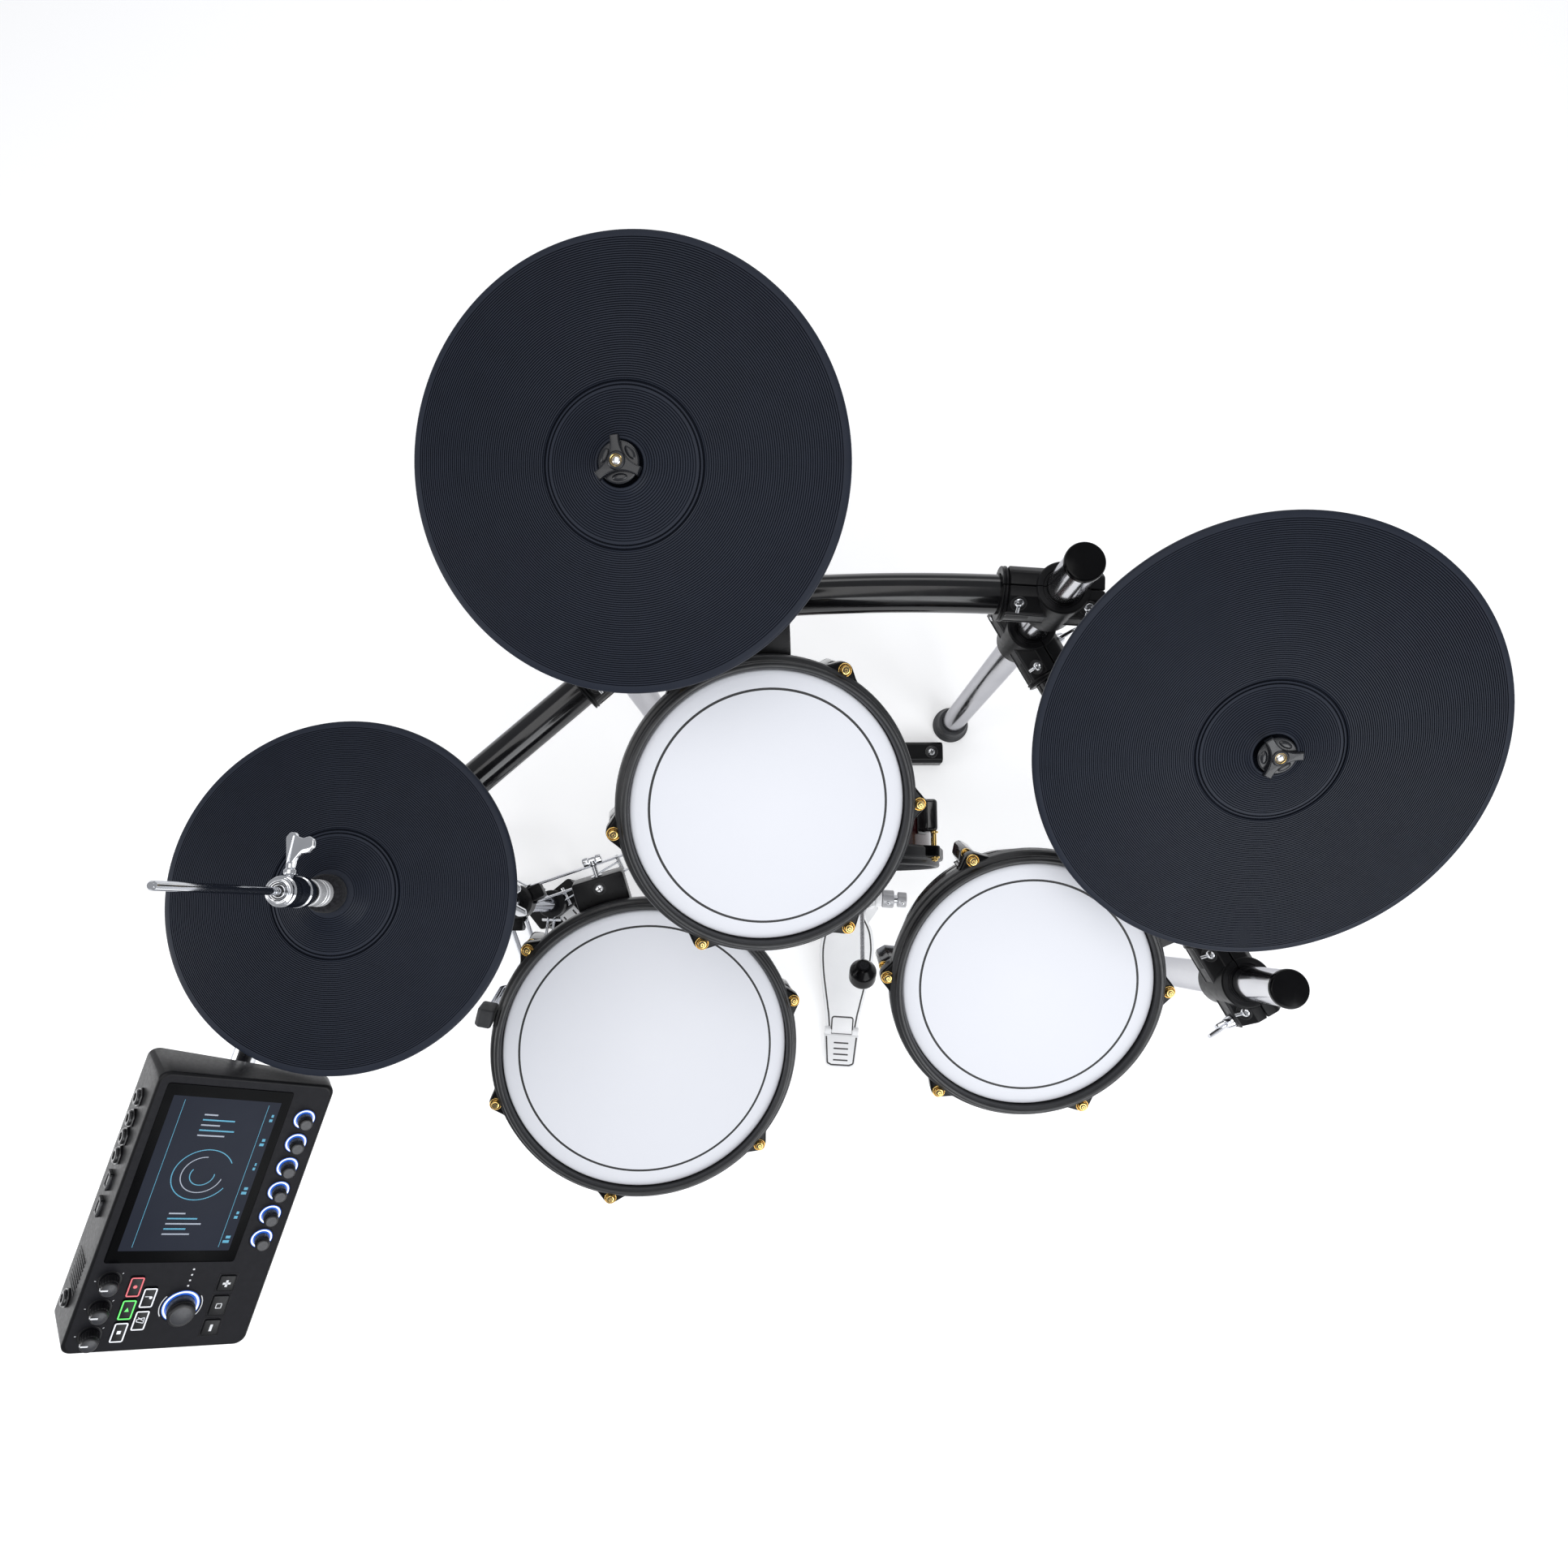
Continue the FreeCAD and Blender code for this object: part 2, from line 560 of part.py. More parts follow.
def cymbal(name, centre, normal, rr, turn, boom_at, clamp_at, along):
    f = frame(W(*centre), V(*normal))
    node(name + "_pad", turned(name + "_disc", pad_outline(rr, True), f))
    # lower and upper felts, clear of the rocking pad
    felts.append(turned(name + "_felt_low", [(s.tilter_rod, -4), (13, -4), (13, 3), (s.tilter_rod, 3)], f))
    felts.append(turned(name + "_felt_top", [(s.tilter_rod, 14), (11.5, 14), (11.5, 20), (s.tilter_rod, 20)], f))
    # wing nut with three arms
    hub = turned(name + "_nut_hub", [(s.tilter_rod + 0.3, 20.4), (s.nut_hub, 20.4), (s.nut_hub, 31), (8, 33), (s.tilter_rod + 0.3, 33)], f)
    blades = []
    for a in (turn, turn + 120, turn + 240):
        g = f * PL(V(), ROT(UP, a))
        blades.append(padded(name + "_nut_arm", [(7, -4.5), (14, -3.5), (s.nut_radius, -4.5), (s.nut_radius, 4.5), (14, 3.5), (7, 4.5)], 5.5,
                             g * PL(V(0, 0, 25), ROT())))
    node(name + "_wing_nut", fuse(hub, *blades, name=name + "_nut"))
    # tilter: rod, seat and cross barrel; boom tube below it
    pivot = f.multVec(V(0, 0, -34))
    foot = boom_at
    d = (pivot - foot).normalize()
    rod = cyl(s.tilter_rod, 71, V(0, 0, -34), UP, f)
    seat = cyl(13.0, 3.0, V(0, 0, -7), UP, f)
    stem = cyl(7.0, 27, V(0, 0, -34), UP, f)
    barrel = cyl(13.0, 34, V(-17, 0, -34), V(1, 0, 0), f)
    neck = between(9.0, pivot - d * 20, pivot)
    tilter = fuse(rod, seat, stem, barrel, neck, name=name + "_tilter")
    tube = cut(between(s.boom_radius, foot, pivot - d * 20), between(s.boom_radius - 1.6, foot - d, pivot - d * 30), name=name + "_boom")
    arms.extend([tilter, tube])
    # clamp: collar round the rack tube, boss round the boom
    a = V(along).normalize()
    k = (clamp_at.z - foot.z) / d.z
    mid = foot + d * k
    collar = cyl(s.accessory_collar, s.accessory_wide, clamp_at - a * (s.accessory_wide.v / 2), a)
    boss = between(s.boom_radius + 6, mid - d * 26, mid + d * 26)
    side = (mid - clamp_at)
    web = between(11.0, clamp_at, clamp_at + side)
    tube_tool = cyl(s.tube_radius, 80, clamp_at - a * 40, a)
    if name == "crash":
        tube_tool = tor[0]
    boom_tool = between(s.boom_radius, mid - d * 60, mid + d * 60)
    o = side.normalize()
    at = mid + o * (s.boom_radius.v + 0.8)
    accessory.append(cut(fuse(collar, boss, web), tube_tool, boom_tool, cyl(s.bolt_radius, 17, at, o), name=name + "_clamp"))
    bolts.append(cyl(s.bolt_radius, 17, at, o, name="screw"))
    wings.append(wing_nut(at + o * 17, o, a))
    return f


cc, cd = on_centre(-112.0)
crash_boom = cc + V(cd.y, -cd.x, 0) * -42
crash_f = cymbal("crash", (-132.1, 350.6, 942.2), (-0.1024, -0.2645, 0.9589), s.crash_radius, 95.0, V(crash_boom.x, crash_boom.y, 600), cc, cd)
rc = rp + (rq - rp) * 0.40
rside = V(-rd.y, rd.x, 0).normalize()
rboom = rc + rside * 44
ride_pivot = frame(W(418.4, 146.9, 820.8), V(-0.0727, -0.4464, 0.8919)).multVec(V(0, 0, -34))
slope = (ride_pivot - rboom)
ride_f = cymbal("ride", (418.4, 146.9, 820.8), (-0.0727, -0.4464, 0.8919), s.ride_radius, 5.7, rboom - slope * (70 / slope.z), rc, rd)

# ---------------------------------------------------------------- hi-hat
HH = (-391.6, 17.0)
hh = PL(W(HH[0], HH[1], 0), ROT())
node("hihat_pad", turned("hihat_disc", pad_outline(s.hihat_radius, False), hh * PL(V(0, 0, 832), ROT())))
rodr = s.pull_rod
sleeve = turned("hihat_sleeve", [(rodr, 818), (s.sleeve_radius, 818), (s.sleeve_radius, 905), (rodr, 905)], hh)
clutch = turned("hihat_clutch_top", [(s.sleeve_radius, 884), (11, 884), (11, 894), (s.clutch_radius, 897), (s.clutch_radius, 926), (11, 931), (rodr, 931),
                                     (rodr, 905), (s.sleeve_radius, 905)], hh)
screw_hole = cyl(3.05, 20, V(0, rodr.v, 915), V(0, 1, 0), hh)
clutch_cut = cut(clutch, screw_hole, name="hihat_clutch_bored")
felt_hh = turned("hihat_felt", [(s.sleeve_radius, 852), (s.felt_radius, 852), (s.felt_radius, 864), (s.felt_radius - 1.5, 866), (s.sleeve_radius, 866)], hh)
collar_hh = turned("hihat_collar", [(s.sleeve_radius, 866), (11.5, 866), (11.5, 872), (s.sleeve_radius, 872)], hh)
low_nut = turned("hihat_low_nut", [(s.sleeve_radius, 820), (14, 820), (14, 828), (11, 837), (s.sleeve_radius, 837)], hh)
node("hihat_clutch", sleeve, clutch_cut, felt_hh, collar_hh, low_nut)
stem = cyl(3.0, 23.6, V(0, rodr.v + 0.4, 915), V(0, 1, 0), hh)
blade = padded("hihat_screw_blade", [(-3, 0), (3, 0), (9, 10), (15, 24), (12, 31), (6, 30), (0, 24), (-6, 30), (-12, 31), (-15, 24), (-9, 10)], 4,
               hh * PL(V(0, rodr.v + 20, 917), ROT(V(1, 0, 0), V(0, 1, 0), V(0, 0, -1), "ZXY")) * PL(V(), ROT()))
blade.Placement = hh * PL(V(0, rodr.v + 20, 913), ROT())
node("hihat_wing_screw", fuse(stem, blade, name="hihat_screw"))
yoke = box(10, 16, 4, V(-5, -8, 66), hh)
node("hihat_rod", fuse(cyl(rodr, 1003.0, V(0, 0, 70), UP, hh), yoke, name="hihat_pull"))
lower = turned("hihat_lower", [(12, 100), (s.stand_lower, 100), (s.stand_lower, 470), (12, 470)], hh)
upper = turned("hihat_upper", [(9, 470), (s.stand_upper, 470), (s.stand_upper, 770), (9, 770)], hh)
lock = turned("hihat_lock", [(s.stand_upper, 470.5), (19, 470.5), (19, 496), (17, 500), (s.stand_upper, 500)], hh)
sensor = turned("hihat_sensor", [(5, 770), (16, 770), (42, 776), (44, 780), (44, 788), (40, 791), (5, 791)], hh)
node("hihat_stand", lower, upper, lock, sensor)
bolts.append(cyl(3.0, 14.0, V(19.02, 0, 485), V(1, 0, 0), hh, name="screw"))
wings.append(wing_nut(hh.multVec(V(33.02, 0, 485)), V(1, 0, 0), V(0, 1, 1)))

legs = []


def tripod(pl, centre_r, hub_z, low_z, spread, azimuths, r_leg, hub_r):
    hub = cut(cyl(hub_r, 30.0, V(0, 0, hub_z - 15), UP, pl), cyl(centre_r, 40.0, V(0, 0, hub_z - 20), UP, pl), name="leg_hub")
    low = cut(cyl(hub_r - 2, 20.0, V(0, 0, low_z - 10), UP, pl), cyl(centre_r, 40.0, V(0, 0, low_z - 20), UP, pl), name="brace_hub")
    legs.extend([hub, low])
    foot_r = hub_r - 6
    for a in azimuths:
        top, toe = polar(hub_r - 3, a, hub_z), polar(spread, a, 15)
        shoe = cyl(foot_r, 28.0, polar(spread, a, 0), UP, pl)
        # a leg is two flat strips held apart by three pins
        run = (toe - top).normalize()
        side = V(0, 0, 1).cross(run).normalize()
        g = pl * PL(top, ROT(side, run.cross(side), run, "ZXY"))
        long = (toe - top).Length
        off = hub_r * 0.5
        strips = [box(3.2, r_leg * 2, long, V(x - 1.6, -getattr(r_leg, "v", r_leg), 0), g) for x in (-off, off)]
        pins = [cyl(4.0, off * 2, V(-off, 0, long * u), V(1, 0, 0), g) for u in (0.12, 0.5, 0.86)]
        leg = cut(fuse(*strips, *pins), cyl(hub_r, 30.0, V(0, 0, hub_z - 15), UP, pl), cyl(foot_r, 28.0, polar(spread, a, 0), UP, pl), name="leg")
        feet.append(shoe)
        on = top + (toe - top) * 0.5
        brace = cut(between(4.5, polar(hub_r - 5, a, low_z), on, pl), cyl(hub_r - 2, 20.0, V(0, 0, low_z - 10), UP, pl),
                    cyl(4.0, off * 2 - 3.2, V(-off + 1.6, 0, long * 0.5), V(1, 0, 0), g), name="brace")
        legs.extend([leg, brace])


tripod(hh, s.stand_lower.v, 312, 118, 244.5, (28, 150, 270), s.stand_leg, 24.0)

# hi-hat pedal, in its own frame: Y runs from the heel to the stand
hp = hh * PL(V(), ROT(UP, 40))
base = padded("hihat_base", [(-26, -300), (26, -300), (30, -250), (30, -40), (44, -24), (44, 24), (-44, 24), (-44, -24), (-30, -40), (-30, -250)], 6, hp)
cheeks = [box(7, 40, 76, V(x, -20, 6), hp) for x in (-44, 37)]
bridge = box(88, 40, 18, V(-44, -20, 82), hp)
heel = padded("hihat_heel", [(-29, -300), (29, -300), (30, -236), (-30, -236)], 9, hp * PL(V(0, 0, 6), ROT()))
ears_h = [cyl(6.0, 11, V(x, -226, 14), V(1, 0, 0), hp) for x in (-29, 18)]
pins = [box(11, 12, 10, V(x, -232, 4), hp) for x in (-29, 18)]
hihat_frame = cut(fuse(base, *cheeks, bridge, heel, *ears_h, *pins), cyl(6.0, 60, V(0, 0, 60), UP, hp), name="hihat_frame")
node("hihat_pedal_frame", hihat_frame)


def board(name, pl, pivot_y, pivot_z, length, slope_deg, heel_w, wide, toe_w, thick):
    """A footboard that rises from its hinge: the outline is drawn flat and tilted about the hinge."""
    g = pl * PL(V(0, pivot_y, pivot_z), ROT(V(1, 0, 0), slope_deg))
    half = [(heel_w / 2, 8), (heel_w / 2 + 4, 40), (wide / 2 - 3, length * 0.42), (wide / 2, length * 0.55), (wide / 2 - 5, length * 0.70),
            (toe_w / 2, length * 0.86), (toe_w / 2, length)]
    pts = half + [(-x, y) for x, y in reversed(half)]
    plate = padded(name + "_plate", pts, thick, g * PL(V(0, 0, -thick.v / 2 + 2), ROT()))
    barrel = cyl(5.5, 34.0, V(-17, 0, 0), V(1, 0, 0), g)
    tongue = box(34, 14, 6, V(-17, 0, -2), g)
    return g, plate, barrel, tongue


g, plate, barrel, tongue = board("hihat_board", hp, -226, 15, 222.0, 11.0, 50.0, 78.0, 30.0, s.board_thick)
slot_h = cyl(5.0, 80, V(0, 0, 20), UP, hp)
node("hihat_footboard", fuse(plate, barrel, tongue, name="hihat_board_whole"))

# ---------------------------------------------------------------- snare stand
sn = snare_f
n_low = s.snare_deep.v
hubz = -n_low - 8.0
hub = cyl(20.0, 16.0, V(0, 0, hubz - 16), UP, sn)
neck_top = sn.multVec(V(0, 0, hubz - 16))
knee = sn.multVec(V(0, 0, hubz - 36))
neck = between(9.0, knee, neck_top)
knob = ball(16.0, knee)
basket = [fuse(hub, neck, knob, name="basket_hub")]
rub = []
for a in (166, 286, 46):
    g = sn * PL(V(), ROT(UP, a))
    # the left tip stands up outside the hoop, the other two hold the shell below it
    outside = a == 166
    reach = (s.snare_radius + s.hoop_outer).v + 5 if outside else s.snare_radius.v + 7
    top = 2.0 if outside else -26.0
    flat = box(reach, 14, 6, V(6, -7, hubz), g)
    rise = box(6, 14, top - hubz, V(reach, -7, hubz), g)
    basket.append(cut(fuse(flat, rise), cyl(20.0, 30.0, V(0, 0, hubz - 30), UP, sn), name="basket_arm"))
    tip = box(18, 20, 34, V(reach - 4, -10, -28), g) if outside else box(13, 20, 34, V(reach - 4, -10, -56), g)
    rub.append(cut(tip, box(6, 14, top - hubz, V(reach, -7, hubz), g), name="basket_tip"))
node("snare_basket", *basket)
st = PL(V(knee.x, knee.y, 0), ROT())
snare_tube = cut(cyl(12.0, knee.z - 14 - 52, V(0, 0, 52), UP, st), ball(16.2, knee), cyl(10.2, knee.z, V(0, 0, 40), UP, st), name="snare_tube")
legs.append(snare_tube)
tripod(st, 12.0, 222, 76, 185.0, (80, 200, 320), 6.0, 21.0)
node("stand_legs", *legs)
node("rubber_feet", *feet, *rub)

# ---------------------------------------------------------------- kick tower
bar_y = 281.0
base_x = 104.0
rear = mid_box(s.rear_bar_long, s.rear_bar_deep, s.rear_bar_tall, W(base_x, bar_y, s.rear_bar_tall.v / 2))
spine = box(56, 262 - 44, 20, W(base_x - 28, 44, 0))
up_y = KICK[1] + s.kick_deep.v + 0.2
upright = mid_box(s.upright_wide, s.upright_deep, 395, W(KICK[0], up_y + s.upright_deep.v / 2, 20 + 395 / 2))
gusset = padded("kick_gusset", [(0, 0), (58, 0), (0, 120)], 8,
                PL(W(KICK[0] - 4, up_y + s.upright_deep.v, 20), ROT(V(0, 1, 0), V(0, 0, 1), V(1, 0, 0), "ZXY")))
node("kick_tower", rear, spine, upright, gusset)
for x in (-1, 1):
    bolts.append(cyl(5.0, 5.0, W(base_x + x * 136, bar_y, s.rear_bar_tall.v), UP, name="spur_screw"))

# ---------------------------------------------------------------- kick pedal, Y from heel to drum, shaft above the origin
kp = PL(W(94.0, 28.0, 0), ROT(UP, -3.3))
zs = s.shaft_height.v
kbase = padded("kick_base", [(-24, -279), (24, -279), (26, -60), (54, -16), (54, 14), (-54, 14), (-54, -16), (-26, -60)], 5, kp)
kheel = padded("kick_heel", [(-27, -281), (27, -281), (29, -278), (29, -232), (-29, -232), (-29, -278)], 10, kp * PL(V(0, 0, 5), ROT()))
kears = [cyl(6.0, 11.0, V(x, -222, 14), V(1, 0, 0), kp) for x in (-28.5, 17.5)]
kpins = [box(11.0, 12, 11, V(x, -232, 4), kp) for x in (-28.5, 17.5)]
cheek_l = padded("kick_cheek_left", [(-15, 5), (15, 5), (12, 60), (11, zs + 14), (-11, zs + 14), (-12, 60)], 8,
                 kp * PL(V(-46, 0, 0), ROT(V(0, 1, 0), V(0, 0, 1), V(1, 0, 0), "ZXY")))
cheek_r = padded("kick_cheek_right", [(-15, 5), (15, 5), (12, 60), (11, zs + 14), (-11, zs + 14), (-12, 60)], 8,
                 kp * PL(V(36, 0, 0), ROT(V(0, 1, 0), V(0, 0, 1), V(1, 0, 0), "ZXY")))
kseat = box(17, 36, 10, V(-38, 6, 0), kp)
kframe = cut(fuse(kbase, kheel, *kears, *kpins, cheek_l, cheek_r, kseat), cyl(s.shaft_radius + 0.05, 120, V(-60, 0, zs), V(1, 0, 0), kp), name="kick_frame")
node("kick_pedal_frame", kframe)

BACK = 51.7
shaft = cyl(s.shaft_radius, 130, V(-46, 0, zs), V(1, 0, 0), kp)
ring = cyl(14.0, 18.0, V(46, 0, zs), V(1, 0, 0), kp)
knob_end = cyl(12.0, 14.0, V(70, 0, zs), V(1, 0, 0), kp)
hub_b = cyl(13.0, 16.0, V(6, 0, zs), V(1, 0, 0), kp)
bd = V(0, -math.sin(math.radians(BACK)), math.cos(math.radians(BACK)))
stick = between(4.2, V(14, 0, zs), V(14, 0, zs) + bd * s.beater_reach.v, kp)
tip = V(14, 0, zs) + bd * s.beater_reach.v
fw = V(0, math.cos(math.radians(BACK)), math.sin(math.radians(BACK)))
head_b = cyl(s.beater_radius, s.beater_long, tip - fw * (s.beater_long.v / 2), fw, kp)
# drive arm, from the shaft towards the drum and 28 degrees up
up28 = V(0, math.cos(math.radians(28)), math.sin(math.radians(28)))
crank = padded("kick_crank", [(-12, -10), (4, -12), (50, -7), (52, 0), (50, 7), (4, 12), (-12, 10)], 8,
               kp * PL(V(-10, 0, zs), ROT(up28, V(1, 0, 0).cross(up28), V(1, 0, 0), "ZXY")))
pin = cyl(3.0, 14.4, V(-10.4, 0, 0) + V(0, 0, zs) + up28 * 44, V(1, 0, 0), kp)
# spring lever on the other end of the shaft
lever = padded("kick_lever", [(-10, -9), (8, -9), (40, -5), (40, 5), (8, 9), (-10, 9)], 6,
               kp * PL(V(-32, 0, zs), ROT(up28, V(1, 0, 0).cross(up28), V(1, 0, 0), "ZXY")))
node("kick_beater", fuse(shaft, ring, knob_end, hub_b, stick, head_b, crank, pin, lever, name="kick_shaft"))

KL = 252.0
g, plate, barrel, tongue = board("kick_board", kp, -222, 14, KL, 15.0, 54.0, 92.0, 40.0, s.board_thick)
toe = g.multVec(V(0, KL - 6, 2))
ear_t = g * PL(V(0, KL - 6, 4), ROT())
lugs_t = box(8, 12, 14, V(-10, -6, 0), ear_t)
toe_pin = cyl(3.0, 8.0, V(-16.5, 0, 8), V(1, 0, 0), ear_t)
node("kick_footboard", fuse(plate, barrel, tongue, lugs_t, toe_pin, name="kick_board_whole"))
# link from the toe to the drive arm, on the far side of both
inv = kp.inverse()
toe_l = inv.multVec(g.multVec(V(0, KL - 6, 12)))
top_l = V(0, 0, zs) + up28 * 44
ld2 = (V(0, top_l.y, top_l.z) - V(0, toe_l.y, toe_l.z))
ll = ld2.Length
ld2 = ld2.normalize()
link_pl = kp * PL(V(-15.5, toe_l.y, toe_l.z), ROT(ld2, V(1, 0, 0).cross(ld2), V(1, 0, 0), "ZXY"))
link = padded("kick_link_bar", [(-5, -3.5), (-3, -5.5), (ll - 8, -5.5), (ll - 8, 5.5), (-3, 5.5), (-5, 3.5)], 4.5, link_pl)
node("kick_link", cut(link, cyl(3.05, 12, V(0, 0, -4), UP, link_pl), name="kick_link_bored"))
spring = turned("kick_coil", [(5, 10), (8, 10), (8, zs + 3.6), (5, zs + 3.6)], kp * PL(V(-29, 31, 0), ROT()))
node("kick_spring", spring)

node("rack_clamps", *clamps, *accessory)
node("clamp_bolts", *bolts)
node("wing_nuts", *wings)
node("cymbal_arms", *arms)
node("cymbal_felts", *felts)
node("drum_shells", *shells)
node("drum_hoops", *hoops)
node("drum_heads", *heads)
node("drum_lugs", *lugs)
node("tension_rods", *keys)
node("drum_mounts", *mounts)
node("drum_sensors", *cores)

# ---------------------------------------------------------------- module
hw, hl = s.case_wide * 0.5, s.case_long * 0.5
thick, thin, flare, wall = s.case_thick, s.case_thin, s.case_flare, s.case_wall
side_pl = mod * PL(V(0, -hl.v, 0), ROT(V(1, 0, 0), V(0, 0, 1), V(0, -1, 0), "ZXY"))


def wedge(name, pts, y0, length):
    """An outline in the module's XZ plane, drawn along its Y."""
    body = padded(name, pts, length, mod * PL(V(0, y0 + num(length), 0), ROT(V(1, 0, 0), V(0, 0, 1), V(0, -1, 0), "ZXY")))
    return body


outer = wedge("case_outer", [(-hw + 2, 0), (hw - 2, 0), (hw, -2), (hw, -thin), (-hw - flare, -thick), (-hw, -2)], -hl.v, s.case_long)
inner = wedge("case_inner", [(-hw + wall, -wall), (hw - wall, -wall), (hw - wall, -thin - 20), (-hw - flare + wall, -thick - 20)],
              -hl.v + wall.v, s.case_long - wall * 2)
holes = []
ENC = [(51.2, 88.3), (51.2, 66.4), (51.2, 44.5), (51.2, 22.5), (51.2, 0.6), (51.2, -21.3)]
VOL = [(-50.4, -57.6), (-50.4, -81.0), (-50.4, -104.3)]
DIAL = (7.4, -81.4)
BTN = {"button_record": (-31.2, -62.3), "button_play": (-31.2, -82.0), "button_stop": (-31.2, -101.5),
       "button_tempo": (-19.0, -72.1), "button_metronome": (-19.0, -91.8)}
KEY = {"key_plus": (36.2, -61.6, s.key_long), "key_middle": (36.2, -81.8, s.key_mid_long), "key_minus": (36.2, -101.6, s.key_long)}
for x, y in ENC + VOL + [DIAL]:
    holes.append(cyl(s.knob_shaft + 0.4, 10, V(x, y, -6), UP, mod))
for x, y in BTN.values():
    holes.append(mid_box(s.button_wide + 0.8, s.button_long + 0.8, 12, V(x, y, -2), mod))
for x, y, ln in KEY.values():
    holes.append(mid_box(s.key_wide + 0.8, ln + 0.8, 12, V(x, y, -2), mod))
# jacks in the wall that faces away from the player
wall_dir = V(-flare.v, 0, -thick.v).normalize()
wall_out = V(-thick.v, 0, flare.v).normalize()
jacks = []
JACK = [(84.4, 6.2), (66.3, 6.2), (50.3, 6.2), (34.0, 6.2), (-89, 6.2)]
for y, r in JACK:
    at = V(-hw.v, y, 0) + wall_dir * 28
    holes.append(cyl(r, 12, at - wall_out * 6, wall_out, mod))
    j = cut(cyl(r, 20, at - wall_out * 16, wall_out, mod), cyl(3.2, 18, at - wall_out * 13, wall_out, mod), name="jack")
    jacks.append(j)
for y, ln in ((12.7, 14.0), (-10, 14.0)):
    at = V(-hw.v, y, 0) + wall_dir * 28
    g = mod * PL(at, ROT(wall_dir, V(0, 1, 0), wall_dir.cross(V(0, 1, 0)), "ZXY"))
    holes.append(mid_box(10, ln, 12, V(), g))
    port = cut(mid_box(10, ln, 8, V(), g), mid_box(5, ln - 5, 30, V(0, 0, 0), g), name="port")
    jacks.append(port)
shell = cut(cut(outer, inner, name="case_hollow"), *holes, name="case_shell")
node("module_case", shell)
lid_pts = [(hw - wall - 0.1, -thin - 20), (hw - wall - 0.1, -thin + wall - 0.6), (-hw + wall - 4.2, -thick + wall + 0.6),
           (-hw + wall - 4.2, -thick - 20)]
lid_raw = wedge("back_raw", lid_pts, -hl.v + wall.v + 0.1, s.case_long - wall * 2 - 0.2)
lid = common(lid_raw, outer, name="back_cover")
node("module_back", lid)
node("module_jacks", *jacks)
gx, gy = (-59.4 + 35.8) / 2, (-42.2 + 111.3) / 2
node("module_screen", mid_box(s.glass_wide, s.glass_long, 0.8, V(gx, gy, 0.4), mod))
brk = fuse(mid_box(40, 52, 46, V(0, 0, -45), mod), cyl(16.0, 52, V(0, -26, -60), V(0, 1, 0), mod), name="bracket_raw")
brk_cut = cut(brk, outer, cyl(s.arm_radius + 0.3, 80, V(0, -40, -60), V(0, 1, 0), mod), name="bracket_cut")
node("module_bracket", brk_cut)


def knob(name, x, y, r, tall):
    f = mod * PL(V(x, y, 0), ROT())
    node(name, turned(name + "_body", [(0, -8), (s.knob_shaft, -8), (s.knob_shaft, 0.6), (r, 0.6), (r, tall - 1.5), (r - 1, tall), (0, tall)], f))


for i, (x, y) in enumerate(ENC):
    knob("encoder_knob_%d" % (i + 1), x, y, s.encoder_radius, 12.0)
for i, (x, y) in enumerate(VOL):
    knob("volume_knob_%d" % (i + 1), x, y, s.volume_radius, 13.0)
knob("main_dial", DIAL[0], DIAL[1], s.dial_radius, 14.0)
for label, (x, y) in BTN.items():
    node(label, fuse(mid_box(s.button_wide, s.button_long, 7.0, V(x, y, -1.5), mod), mid_box(s.button_wide + 2, s.button_long + 0.6, 1.5, V(x, y, -5.5), mod), name=label + "_cap"))
for label, (x, y, ln) in KEY.items():
    node(label, fuse(mid_box(s.key_wide, ln, 6.4, V(x, y, -1.8), mod), mid_box(s.key_wide + 2, ln + 1.2, 1.5, V(x, y, -5.5), mod), name=label + "_cap"))

# ---------------------------------------------------------------- build, test, write
doc.recompute()
bad = [o.Name for o in doc.Objects if any(w in ("Invalid", "Error") for w in o.State)]
if bad:
    raise RuntimeError("failed objects: " + ", ".join(bad))
low, high = V(1e9, 1e9, 1e9), V(-1e9, -1e9, -1e9)
for label, o, parts in nodes:
    sh = o.Shape
    if sh.isNull() or not sh.isValid():
        raise RuntimeError("bad shape: " + label)
    if len(sh.Solids) != parts and not (parts == 1 and len(sh.Solids) == 1):
        print("solids", label, parts, len(sh.Solids))
    b = sh.BoundBox
    low = V(min(low.x, b.XMin), min(low.y, b.YMin), min(low.z, b.ZMin))
    high = V(max(high.x, b.XMax), max(high.y, b.YMax), max(high.z, b.ZMax))
print("nodes", len(nodes), "low", low, "high", high, "centre", (low + high) * 0.5)
if len({label for label, _, _ in nodes}) != len(nodes):
    raise RuntimeError("two nodes share a name")
os.makedirs("parts", exist_ok=True)
for label, o, parts in nodes:
    o.Shape.exportStep(os.path.join("parts", label + ".step"))
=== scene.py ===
import math
import bpy
import bmesh
import numpy as np
from mathutils import Matrix, Vector


